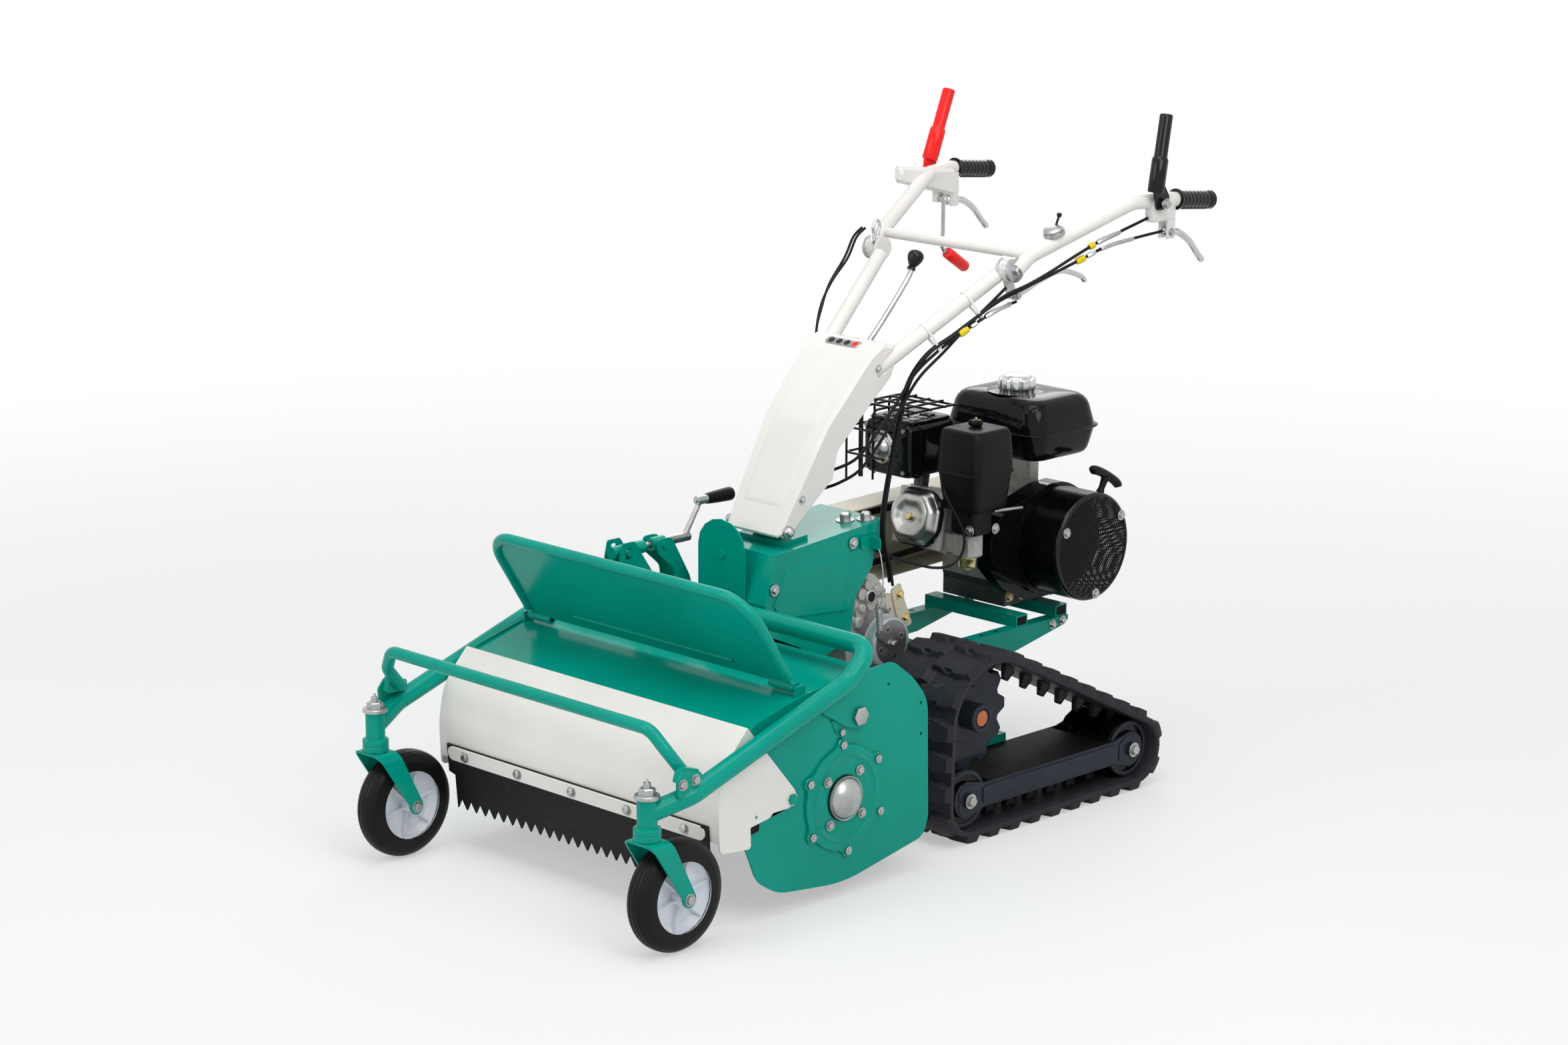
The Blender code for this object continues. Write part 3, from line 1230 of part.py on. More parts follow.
def build_tank():
    """Fuel tank of two pressed halves with a flange, and its fluted cap."""
    middle = Vector((0.0150, 0.5350, 0))
    x_axis, y_axis, z_axis = Vector((1, 0, 0)), Vector((0, 1, 0)), Vector((0, 0, 1))
    bm = bmesh.new()
    tapered_block(bm, middle + Vector((0, 0, 0.6835)), x_axis, y_axis, z_axis,
                  (0.236, 0.186, 0.065), 0.86)
    tank = from_bmesh("fuel_tank", bm, "black_gloss")
    round_edges(tank, 0.014, 3)
    bm = bmesh.new()
    tapered_block(bm, middle + Vector((0, 0, 0.6270)), x_axis, y_axis, -z_axis,
                  (0.236, 0.186, 0.054), 0.88)
    bowl = from_bmesh("tank_bowl", bm, "black_gloss")
    round_edges(bowl, 0.012, 2)
    flange = block("tank_flange", (0.250, 0.200, 0.003), middle + Vector((0, 0, 0.6530)),
                   "black_gloss")
    neck = rod("tank_neck", 0.0240, (0.0150, 0.5200, 0.7050), (0.0150, 0.5200, 0.7280),
               "black_gloss", 24)
    fuse(tank, bowl, flange, neck)
    lobes = []
    for step in range(20):
        angle = 2 * math.pi * step / 20
        radius = 0.0335 + 0.0020 * math.cos(10 * angle)
        lobes.append((0.0150 + radius * math.cos(angle), 0.5200 + radius * math.sin(angle)))
    cap = plate("fuel_cap", [lobes], 0.0200, "XY", (0, 0, 0.7290), "zinc")
    dome = turned("cap_dome", [(0, 0.0090), (0.016, 0.0080), (0.027, 0.0040), (0.0300, -0.0010),
                               (0, -0.0010)], (0.0150, 0.5200, 0.7388), (0, 0, 1), "zinc", 20)
    fuse(cap, dome)
    cut(cap, rod("cap_hollow", 0.0240 + RUN, (0.0150, 0.5200, 0.7100),
                 (0.0150, 0.5200, 0.7280 + GAP), None, 24))
    return hang("fuel_cap_axis", (0.0150, 0.5200, 0.7250), cap)


def build_recoil():
    """Fan housing, perforated guard, fan and the starter handle on its rope."""
    edge = hull_outline([(CRANKSHAFT, 0.108), ((0.4250, 0.4550), 0.066)])
    housing = side_plate("fan_housing", [edge], 0.0580, 0.1003, "black_gloss")
    hollow = rod("fan_hollow", 0.0900, (0.0640, *CRANKSHAFT), (0.1100, *CRANKSHAFT), None, 32)
    shaft_hole = rod("fan_shaft_hole", 0.0145, (0.0500, *CRANKSHAFT), (0.0700, *CRANKSHAFT), None)
    cut(housing, hollow, shaft_hole)
    wall = 0.0020
    profile = [(0, FAN_FACE_X), (FAN_R - 0.006, FAN_FACE_X), (FAN_R, FAN_FACE_X - 0.006),
               (FAN_R, 0.1006), (FAN_R - wall, 0.1006), (FAN_R - wall, FAN_FACE_X - wall),
               (0, FAN_FACE_X - wall)]
    guard = turned("fan_guard", profile, (0, *CRANKSHAFT), (1, 0, 0), "black_plastic", 48)
    pull = Vector((0, 0.479, 0.878)).normalized()
    centre = Vector((0.1650, *CRANKSHAFT))
    cut(guard, rod("rope_hole", 0.0035, centre + pull * (FAN_R - 0.012),
                   centre + pull * (FAN_R + 0.010), None, 12))
    grip = FAN_R + 0.037
    across = Vector((0, -pull.z, pull.y))
    bar = tube("starter_handle", smooth([centre + pull * (grip - 0.006) - across * 0.044,
                                         centre + pull * (grip + 0.002) - across * 0.024,
                                         centre + pull * (grip + 0.001),
                                         centre + pull * (grip + 0.002) + across * 0.024,
                                         centre + pull * (grip - 0.006) + across * 0.044], 2),
               0.0078, "black_plastic")
    stem = rod("starter_stem", 0.0060, centre + pull * (FAN_R + 0.001), centre + pull * grip,
               "black_plastic", 12, 0.0085)
    rope = rod("starter_rope", 0.0016, centre + pull * (FAN_R + 0.002), centre - pull * 0.0750,
               "black_plastic", 8)
    fuse(bar, stem, rope)
    return hang("starter_slide_axis", centre + pull * (FAN_R + 0.001), bar)


# Column and handles

BOX_SIDE = [(-0.1800, 0.5300), (0.0950, 0.5510), (0.0960, 0.5200), (0.0280, 0.4480),
            (0.0080, 0.3440), (-0.0800, 0.3165), (-0.1165, 0.3520), (-0.1920, 0.3855),
            (-0.2050, 0.4436)]


def build_bracket():
    """Green box between the deck and the gear case, with a raised panel on each side."""
    outline = [Vector(point) for point in BOX_SIDE]
    box = side_plate("column_bracket", [outline], -COLUMN_X, COLUMN_X, "green_paint")
    panel = [(-0.155, 0.496), (0.067, 0.509), (0.0625, 0.470), (0.0000, 0.400),
             (-0.170, 0.415), (-0.185, 0.440)]
    added = []
    for side in (1, -1):
        added.append(side_plate("box_panel", [panel], side * (COLUMN_X - 0.002),
                                side * (COLUMN_X + 0.003), "green_paint"))
    for x, y in ((0.030, 0.046), (0.055, 0.073)):
        z = 0.5475 + (y - 0.046) * 0.076
        added.append(rod("top_boss", 0.0100, (x, y, z - 0.004), (x, y, z + 0.014), "green_paint"))
    fuse(box, *added)
    return box


COLUMN_SIDE = [(-0.1626, 0.5540), (-0.1180, 0.6317), (-0.0526, 0.7407), (0.0400, 0.8420),
               (0.0560, 0.8560), (0.0800, 0.8700), (0.1280, 0.8620), (0.1100, 0.8056),
               (0.0644, 0.7654), (-0.0168, 0.6887), (-0.0250, 0.6384), (-0.0500, 0.6190),
               (-0.1200, 0.5580)]


def tapered_prism(name, outline, finish, half_at, shift=0.0):
    """A prism along X whose half width depends on the height."""
    bm = bmesh.new()
    near = [bm.verts.new((-half_at(z) + shift, y, z)) for y, z in outline]
    far = [bm.verts.new((half_at(z) - shift, y, z)) for y, z in outline]
    bm.faces.new(near)
    bm.faces.new(far[::-1])
    total = len(outline)
    for index in range(total):
        second = (index + 1) % total
        bm.faces.new((near[index], far[index], far[second], near[second]))
    return from_bmesh(name, bm, finish)


def column_half(z):
    return 0.066 + (z - 0.55) * 0.066


HANDLE_FOOT = (0.052, 0.020, 0.7850)
LOWER_END = (CLAMP_X - 0.019, CLAMP[0] - 0.010, CLAMP[1] - 0.010)


def build_column():
    """White column cover, open at the back, round the post that carries the handle tubes."""
    cover = tapered_prism("column_cover", COLUMN_SIDE, "white_paint", column_half)
    round_edges(cover, 0.006)
    inner = [(-0.1500, 0.5300), (-0.1150, 0.6290), (-0.0494, 0.7380), (0.0430, 0.8390),
             (0.0600, 0.8535), (0.0820, 0.8660), (0.1500, 0.8560), (0.1500, 0.7000),
             (0.0500, 0.5600), (-0.0500, 0.5300)]
    hollow = tapered_prism("column_hollow", inner, None, lambda z: column_half(z) - 0.0035)
    slot = block("lever_slot", (0.026, 0.070, 0.080), (0, 0.1350, 0.8500), None)
    cuts = [hollow, slot]
    for side in (1, -1):
        cuts.append(rod("handle_hole", HANDLE_R + 0.002, (side * HANDLE_FOOT[0], *HANDLE_FOOT[1:]),
                        (side * LOWER_END[0], *LOWER_END[1:]), None, 20))
    cut(cover, *cuts)
    lean = math.atan2(0.140, 0.223)
    post = block("lower_handle", (0.070, 0.034, 0.272), (0, -0.0480, 0.6600), "white_paint",
                 (-lean, 0, 0))
    head = block("handle_head", (0.120, 0.048, 0.040), (0, 0.0280, 0.7780), "white_paint",
                 (-lean, 0, 0))
    foot = block("handle_foot", (0.110, 0.060, 0.008), (0, -0.1050, 0.54004), "white_paint",
                 (math.atan2(0.0210, 0.2750), 0, 0))
    parts = [head, foot]
    for side in (1, -1):
        first = (side * HANDLE_FOOT[0], *HANDLE_FOOT[1:])
        last = (side * LOWER_END[0], *LOWER_END[1:])
        parts.append(rod("lower_tube", HANDLE_R, first, last, "white_paint", 20))
        parts.append(rod("lower_disc", 0.0220, (side * (CLAMP_X - 0.018), *CLAMP),
                         (side * CLAMP_X, *CLAMP), "white_paint", 24))
        parts.append(rod("clamp_pin", 0.0050, (side * (CLAMP_X - 0.010), *CLAMP),
                         (side * (CLAMP_X + 0.011), *CLAMP), "white_paint", 12))
    ear = block("lock_ear", (0.006, 0.020, 0.050), (CLAMP_X - 0.014, 0.3380, 0.9550),
                "white_paint", (math.radians(20), 0, 0))
    lock_pin = rod("lock_pin", 0.0040, (CLAMP_X - 0.014, *LOCK_PIVOT),
                   (CLAMP_X + 0.0010, *LOCK_PIVOT), "white_paint", 12)
    shift_pin = rod("shift_pin", 0.0050, (-0.0200, *SHIFT_PIVOT), (0.0200, *SHIFT_PIVOT),
                    "white_paint", 12)
    cheeks = []
    for side in (1, -1):
        cheeks.append(block("shift_cheek", (0.004, 0.050, 0.026), (side * 0.0160, 0.0640, 0.7980),
                            "white_paint", (math.radians(25), 0, 0)))
    return fuse(post, *parts, ear, lock_pin, shift_pin, *cheeks)


LOCK_PIVOT = (0.3450, 0.9350)
SHIFT_PIVOT = (0.0800, 0.8050)
HANDLE_BEND = (GRIP_END - 0.1200, 1.0900)
LEVER_PIVOT = (GRIP_END - 0.1585, 1.0880)
BRAKE_PIVOT = (GRIP_END - 0.1190, 1.0300)
HANG_PIVOT = (GRIP_END - 0.1705, 1.0400)
HANDLE_RISE = (0.1830, 0.3560, 1.0070)
HANDLE_KNEE = (0.2500, GRIP_END - 0.1995, 1.0900)


def from_pivot(pivot, steps):
    """Points of a flat lever or rod in the YZ plane, as steps from the pin it turns on."""
    return [(pivot[0] + y, pivot[1] + z) for y, z in steps]


def grip_line(share):
    """A point on the straight handle end that carries a grip, share 0 to 1."""
    return Vector((GRIP_X, *HANDLE_BEND)).lerp(Vector((GRIP_X, GRIP_END, 1.0770)), share)


def build_upper_handle():
    """The adjustable upper handle: two bent tubes, the cross bar, brackets and shrouds."""
    parts = []
    for side in (1, -1):
        route = [(0.1805, *CLAMP), HANDLE_RISE, HANDLE_KNEE, (GRIP_X, *HANDLE_BEND),
                 tuple(grip_line(0.93))]
        parts.append(tube("upper_handle", bent([(side * x, y, z) for x, y, z in route], 0.012, 2),
                          HANDLE_R, "white_paint"))
        parts.append(rod("upper_disc", 0.0220, (side * (CLAMP_X + GAP), *CLAMP),
                         (side * (CLAMP_X + 0.014), *CLAMP), "white_paint", 24))
        pivot = (side * 0.2600, *LEVER_PIVOT)
        parts.append(rod("lever_boss", 0.0050, pivot, (side * 0.2960, *LEVER_PIVOT), "white_paint",
                         12))
        parts.append(rod("lever_boss_head", 0.0080, (side * 0.2925, *LEVER_PIVOT),
                         (side * 0.2960, *LEVER_PIVOT), "white_paint", 12))
        parts.append(rod("lever_seat", 0.0095, (side * 0.2600, *LEVER_PIVOT),
                         (side * 0.2797, *LEVER_PIVOT), "white_paint", 14))
        for x in (0.2555, 0.2740):
            parts.append(block("brake_ear", (0.003, 0.022, 0.064),
                               (side * (x + 0.0015), BRAKE_PIVOT[0], 1.0500), "white_paint"))
        parts.append(rod("brake_pin", 0.0040, (side * 0.2560, *BRAKE_PIVOT),
                         (side * 0.2765, *BRAKE_PIVOT), "white_paint", 12))
    parts.append(block("lever_box", (0.026, 0.058, 0.040),
                       (0.2660, GRIP_END - 0.1405, 1.0720), "white_paint", bevel=0.004))
    bm = bmesh.new()
    tapered_block(bm, Vector((-0.2540, GRIP_END - 0.2085, 1.0810)), Vector((1, 0, 0)), Vector((0, 0, 1)),
                  Vector((0, -0.9806, 0.1961)), (0.038, 0.052, 0.150), 0.60)
    shroud = from_bmesh("lever_shroud", bm, "white_paint")
    round_edges(shroud, 0.006)
    parts.append(shroud)
    bar = rod("cross_bar", 0.0090, (-0.1800, 0.3580, 1.0080), (0.1800, 0.3580, 1.0080),
              "white_paint", 16)
    hanger = rod("hang_pin", 0.0035, (-0.2480, *HANG_PIVOT), (-0.2330, *HANG_PIVOT),
                 "white_paint", 10)
    hang_block = block("hang_block", (0.010, 0.020, 0.024), (-0.2520, HANG_PIVOT[0], 1.0440),
                       "white_paint")
    frame = fuse(parts[0], *parts[1:], bar, hanger, hang_block)
    bores = []
    for side in (1, -1):
        bores.append(rod("clamp_bore", 0.0050 + GAP, (side * (CLAMP_X - 0.010), *CLAMP),
                         (side * (CLAMP_X + 0.0125), *CLAMP), None, 12))
    cut(frame, *bores)
    riders = [frame]
    cup = [(0, 0.0605), (GRIP_R - 0.003, 0.0605), (GRIP_R, 0.0575), (GRIP_R, -0.0400),
           (GRIP_R + 0.0030, -0.0400), (GRIP_R + 0.0030, -0.0450), (HANDLE_R + RUN, -0.0450),
           (HANDLE_R + RUN, 0.0540), (0, 0.0540)]
    for side, word in ((1, "left"), (-1, "right")):
        direction = grip_line(1) - grip_line(0)
        centre = grip_line(1) - direction.normalized() * 0.0605
        riders.append(turned("grip_" + word, cup, (side * centre.x, centre.y, centre.z),
                             (0, direction.y, direction.z), "soft_rubber", 20))
    return hang("upper_handle_axis", (0, *CLAMP), *riders)


def ring_lever(name, x_range, pivot, pin_radius, route, depths, finish):
    """A flat lever in the YZ plane: an eye round its pivot and a tapering blade along a route."""
    upper = []
    lower = []
    points = [Vector(point) for point in route]
    for index, point in enumerate(points):
        before = points[max(index - 1, 0)]
        after = points[min(index + 1, len(points) - 1)]
        along = (after - before).normalized()
        normal = Vector((-along.y, along.x))
        half = depths[index] / 2
        upper.append(tuple(point + normal * half))
        lower.append(tuple(point - normal * half))
    blade = side_plate(name, [upper + lower[::-1]], *x_range, finish)
    eye = side_plate(name + "_eye", [circle(pivot, pin_radius + 0.0045, 12)], *x_range, finish)
    fuse(blade, eye)
    grow = Vector((0.01, 0, 0))
    low = Vector((min(x_range), *pivot)) - grow
    high = Vector((max(x_range), *pivot)) + grow
    cut(blade, rod(name + "_bore", pin_radius + GAP, low, high, None, 16))
    return blade


def build_levers():
    """Every hand lever with its own pivot."""
    for side, reach, finish, name in ((1, (0.0135, 0.1620), "black_plastic", "black_lever"),
                                      (-1, (0.0465, 0.1520), "red_plastic", "red_lever")):
        pivot = Vector(LEVER_PIVOT)
        tip = from_pivot(LEVER_PIVOT, [reach])[0]
        route = [pivot + Vector((-0.004, -0.008)), pivot + Vector((0.002, 0.020)),
                 pivot.lerp(Vector(tip), 0.45), pivot.lerp(Vector(tip), 0.62)]
        base = 0.2800 * side, 0.2922 * side
        lever = ring_lever(name, base, LEVER_PIVOT, 0.0050, route, [0.016, 0.022, 0.022, 0.018],
                           finish)
        first = pivot.lerp(Vector(tip), 0.38)
        handle = rod(name + "_grip", 0.0115, (side * 0.2850, *first), (side * 0.2800, *tip),
                     finish, 18, 0.0105)
        fuse(lever, handle)
        hang(name + "_axis", (side * 0.2850, *LEVER_PIVOT), lever)
    for side, word in ((1, "left"), (-1, "right")):
        route = from_pivot(BRAKE_PIVOT, [(-0.0085, 0.0030), (0.0075, -0.0010), (0.0325, -0.0050),
                                         (0.0625, -0.0220), (0.0875, -0.0480),
                                         (0.1065, -0.0670)])
        lever = ring_lever("steering_lever_" + word, (side * 0.2590, side * 0.2735), BRAKE_PIVOT,
                           0.0040, route, [0.009, 0.012, 0.010, 0.010, 0.009, 0.008], "zinc")
        hang("steering_lever_axis_" + word, (side * 0.2660, *BRAKE_PIVOT), lever)
    x = CLAMP_X - 0.0105
    route = [(0.3380, 0.9320), (0.3700, 0.9400), (0.4200, 0.9560), (0.4700, 0.9640),
             (0.5200, 0.9500), (0.5400, 0.9360)]
    lock = ring_lever("lock_lever", (x, x + 0.0100), LOCK_PIVOT, 0.0040, route,
                      [0.010, 0.012, 0.010, 0.010, 0.009, 0.007], "zinc")
    hang("lock_lever_axis", (x + 0.005, *LOCK_PIVOT), lock)
    route = [(0.0800, 0.8050), (0.1150, 0.8380), (0.1710, 0.8910), (0.2330, 0.9570),
             (0.2480, 0.9840)]
    stick = tube("shift_lever", smooth([(0, y, z) for y, z in route], 2), 0.0050, "zinc")
    eye = rod("shift_eye", 0.0110, (-0.0130, *SHIFT_PIVOT), (0.0130, *SHIFT_PIVOT), "zinc", 16)
    fuse(stick, eye)
    cut(stick, rod("shift_bore", 0.0050 + GAP, (-0.03, *SHIFT_PIVOT), (0.03, *SHIFT_PIVOT),
                   None, 16))
    ball = [(0, 0.0150)]
    for step in range(1, 6):
        angle = math.pi / 2 - math.pi * step / 6.2
        ball.append((0.0150 * math.cos(angle), 0.0150 * math.sin(angle)))
    ball += [(0.0085, -0.0240), (0, -0.0240)]
    fuse(stick, turned("shift_knob", ball, (0, 0.2535, 0.9940), (0, 0.48, 0.877), "zinc", 20))
    hang("shift_lever_axis", (0, *SHIFT_PIVOT), stick)
    build_small_levers()


def build_small_levers():
    """Throttle disc, hanging lever with its red grip, and the angle clamp's handle."""
    tilt = (0, -0.38, 0.925)
    quarter = Vector(HANDLE_RISE).lerp(Vector(HANDLE_KNEE), 0.25)
    seat = quarter + Vector((-0.00375, -0.00125, 0.02025))
    disc = turned("throttle_lever", [(0, 0.0080), (0.0150, 0.0080), (0.0180, 0.0055),
                                     (0.0180, 0.0010), (0, 0.0010)], seat, tilt, "zinc", 28)
    stalk = rod("throttle_stalk", 0.0025, seat + Vector((0, 0.0080, 0.008)),
                seat + Vector((0, 0.0140, 0.0260)), "zinc", 10)
    ball = rod("throttle_ball", 0.0045, seat + Vector((0, 0.0135, 0.0240)),
               seat + Vector((0, 0.0155, 0.0320)), "zinc", 12)
    fuse(disc, stalk, ball)
    hang("throttle_axis", seat, disc)
    x = -0.2380
    route = from_pivot(HANG_PIVOT, [(0, 0), (0, -0.0600), (-0.0030, -0.0900), (0.0020, -0.1000),
                                    (0.0240, -0.1130), (0.0500, -0.1300)])
    rod_part = tube("hanging_lever", bent([(x, *point) for point in route], 0.010, 1), 0.0035,
                    "zinc")
    eye = rod("hanging_eye", 0.0085, (x - 0.004, *HANG_PIVOT), (x + 0.004, *HANG_PIVOT), "zinc",
              14)
    fuse(rod_part, eye)
    cut(rod_part, rod("hanging_bore", 0.0035 + GAP, (x - 0.02, *HANG_PIVOT),
                      (x + 0.02, *HANG_PIVOT), None, 12))
    line = Vector((0, 0.0260, -0.0170)).normalized()
    sleeve = [(0, 0.0640), (0.0090, 0.0640), (0.0115, 0.0610), (0.0115, 0.0020), (0.0100, 0.0),
              (0, 0.0)]
    foot = Vector((x, *route[-1])) - line * 0.0460
    fuse(rod_part, turned("hanging_grip", sleeve, foot, line, "zinc", 18))
    hang("hanging_lever_axis", (x, *HANG_PIVOT), rod_part)


def build_cables():
    """Two control cables held together by two clips, from the clamp down to the gear case."""
    sets = []
    for index, (dx, dz) in enumerate(((0.0, 0.0), (0.0072, 0.0015))):
        route = [(0.1400 + dx, 0.3000, 0.9370 + dz), (0.1300 + dx, 0.2600, 0.9130 + dz),
                 (0.1080 + dx, 0.1900, 0.8690 + dz), (0.0960 + dx, 0.1400, 0.8200 + dz),
                 (0.0900 + dx, 0.1150, 0.7200 + dz), (0.0860 + dx, 0.0900, 0.6300 + dz),
                 (0.0880 + dx, 0.0620 + dz, 0.5600), (0.0950 + dx, 0.0500 + dz, 0.5000),
                 (0.0970 + dx, 0.0400 + dz, 0.4500 - 0.0100 * index),
                 (0.0930 + dx, 0.0560 + dz, 0.4330 - 0.0200 * index)]
        sets.append(tube("control_cables", smooth(route, 2), 0.0030, "soft_rubber", 2))
    for (x, y, z) in ((0.1220, 0.2300, 0.8905), (0.0950, 0.1250, 0.7600)):
        sets.append(block("cable_clip", (0.017, 0.010, 0.018), (x, y, z), "soft_rubber",
                          (math.radians(-20), 0, 0)))
    return fuse(sets[0], *sets[1:])


def centre_on_origin():
    """Moves the whole drawing along Y, so that the middle of its box is the origin."""
    for item in list(PARTS.objects) + list(TOOLS.objects):
        if item.parent is None:
            item.location.y += FRAME_Y


def build():
    start()
    build_tracks()
    build_chassis()
    build_transmission()
    build_brake_arm()
    build_belt_drive()
    build_crankcase()
    build_head()
    build_tank()
    build_recoil()
    build_deck()
    build_rotor()
    hub_cover("hub_cover_left", 1)
    build_drive_case()
    build_cover()
    build_lid()
    build_hoop()
    for word, side in (("left", 1), ("right", -1)):
        caster(word, side)
    build_jack()
    build_bracket()
    build_column()
    build_upper_handle()
    build_levers()
    build_cables()
    centre_on_origin()


build()
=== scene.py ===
# %% [markdown]
# Tracked hammer-knife mower, dressed for the camera
#
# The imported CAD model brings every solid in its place. This lesson gives each solid a real finish,
# rounds its pressed and cast edges, and adds the small things a solid model leaves out, such as
# tyre ribs, bolt heads, a perforated fan screen and the cleats of the crawler belts.

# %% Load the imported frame
import json
import math

import bmesh
import bpy
import numpy as np
from mathutils import Matrix, Vector
from mathutils.geometry import tessellate_polygon


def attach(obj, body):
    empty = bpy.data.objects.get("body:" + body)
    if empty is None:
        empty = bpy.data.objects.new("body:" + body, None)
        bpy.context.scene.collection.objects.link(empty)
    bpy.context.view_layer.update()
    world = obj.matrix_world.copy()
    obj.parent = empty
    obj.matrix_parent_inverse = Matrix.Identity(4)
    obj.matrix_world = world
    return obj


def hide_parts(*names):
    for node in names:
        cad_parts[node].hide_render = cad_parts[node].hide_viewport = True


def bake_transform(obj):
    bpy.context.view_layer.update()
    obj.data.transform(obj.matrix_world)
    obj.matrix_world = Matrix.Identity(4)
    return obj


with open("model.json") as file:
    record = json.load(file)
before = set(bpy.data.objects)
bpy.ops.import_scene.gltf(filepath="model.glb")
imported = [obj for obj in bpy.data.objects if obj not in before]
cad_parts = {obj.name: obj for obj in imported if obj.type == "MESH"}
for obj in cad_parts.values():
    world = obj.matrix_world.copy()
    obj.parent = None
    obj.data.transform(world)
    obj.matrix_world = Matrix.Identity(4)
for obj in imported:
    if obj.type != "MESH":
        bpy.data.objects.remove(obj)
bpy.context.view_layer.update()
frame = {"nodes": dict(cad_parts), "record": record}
RECORD = frame["record"]
BODY = {node: body for body, nodes in RECORD["behaviour"]["bodies"].items() for node in nodes}
scene = bpy.context.scene
scene.view_settings.view_transform = "Standard"

# %% [markdown]
# The camera stands where the photographer's did: a long lens, 6.6 m away, a little above the
# machine and to the front of its left side. It was solved from edges whose lengths are known.

# %% Camera
camera = bpy.data.objects.new("photo_camera", bpy.data.cameras.new("photo_camera"))
scene.collection.objects.link(camera)
RIGHT = Vector((0.70822638, 0.70597192, 0.00436526))
UP = Vector((-0.16895996, 0.16348952, 0.97196899))
BACK = Vector((0.68546913, -0.68911162, 0.23506858))
EYE = Vector((4.62338264, -4.72125, 2.14450097))
camera.matrix_world = Matrix((RIGHT, UP, BACK)).transposed().to_4x4()
camera.matrix_world.translation = EYE
camera.data.lens, camera.data.sensor_width = 87.61, 36.0  # mm
camera.data.clip_end = 200
scene.camera = camera
print("camera", round(EYE.length, 2), "m from the origin")

# %% [markdown]
# Shader sums are easier to read as Python. A small class wraps one socket and turns each
# operator into a Math node, and a second class makes every other node in one way.


# %% Shader sums
class Value:
    """A number or colour that changes over a surface, wrapped so that sums can be written."""

    def __init__(self, finish, socket):
        self.finish = finish
        self.socket = socket

    def sum(self, operation, *others):
        """A Math node on this value and the others."""
        places = dict(enumerate((self, *others)))
        return self.finish.node("ShaderNodeMath", {"operation": operation}, places)

    def __add__(self, other):
        return self.sum("ADD", other)

    def __sub__(self, other):
        return self.sum("SUBTRACT", other)

    def __rsub__(self, other):
        return (self * -1.0) + other

    def __mul__(self, other):
        return self.sum("MULTIPLY", other)

    def __pow__(self, other):
        return self.sum("POWER", other)

    def __gt__(self, other):
        return self.sum("GREATER_THAN", other)

    __radd__ = __add__
    __rmul__ = __mul__

    def fade(self, low, high):
        """0 below low, 1 above high, and a smooth rise between them."""
        inputs = {"Value": self, "From Min": low, "From Max": high}
        return self.finish.node("ShaderNodeMapRange", {"interpolation_type": "SMOOTHSTEP"}, inputs)


# %% Nodes of a finish
class Finish:
    """One material: a Principled surface whose sockets take numbers, colours or Values."""

    def __init__(self, name):
        self.material = bpy.data.materials.new(name)
        self.material.use_nodes = True
        self.tree = self.material.node_tree
        self.tree.nodes.clear()
        self.place = self.node("ShaderNodeTexCoord", output="Object")

    def node(self, kind, settings=None, inputs=None, output=0):
        """Adds a node: first its settings, then a value or a link for each socket."""
        made = self.tree.nodes.new(kind)
        for key, value in (settings or {}).items():
            setattr(made, key, value)
        for key, value in (inputs or {}).items():
            if isinstance(value, Value):
                self.tree.links.new(value.socket, made.inputs[key])
            else:
                made.inputs[key].default_value = value
        return Value(self, made.outputs[output]) if len(made.outputs) else None

    def noise(self, scale, detail, rough):
        """Clouds over the machine's own space: a larger scale makes them finer."""
        inputs = {"Vector": self.place, "Scale": scale, "Detail": detail, "Roughness": rough}
        return self.node("ShaderNodeTexNoise", {"noise_dimensions": "3D"}, inputs, "Fac")

    def blend(self, share, first, second):
        """A mix of two colours, share 0 to 1."""
        inputs = {0: share, 6: first, 7: second}
        return self.node("ShaderNodeMix", {"data_type": "RGBA"}, inputs, 2)

    def bump(self, height, depth, strength=1.0):
        """A normal that leans as a height of 0 to 1 would, over a depth in metres."""
        inputs = {"Height": height, "Distance": depth, "Strength": strength}
        return self.node("ShaderNodeBump", inputs=inputs)

    def surface(self, **sockets):
        """Ends the material: each keyword is a Principled socket, with _ for a space."""
        inputs = {key.replace("_", " "): value for key, value in sockets.items()}
        body = self.node("ShaderNodeBsdfPrincipled", inputs=inputs)
        self.node("ShaderNodeOutputMaterial", inputs={"Surface": body})
        return self.material


def rgb(red, green, blue):
    """A colour picked on screen, 0 to 255, as the linear colour that Blender works in."""
    def linear(v):
        v = v / 255
        return v / 12.92 if v <= 0.04045 else ((v + 0.055) / 1.055) ** 2.4
    return (linear(red), linear(green), linear(blue), 1.0)


# %% [markdown]
# Paint on pressed steel has three layers to show: a colour that isn't quite even, a faint orange
# peel where the spray dried, and a clear gloss on top that a little dust takes off in patches.


# %% Painted steel
PEEL = 0.00003  # depth of the orange peel


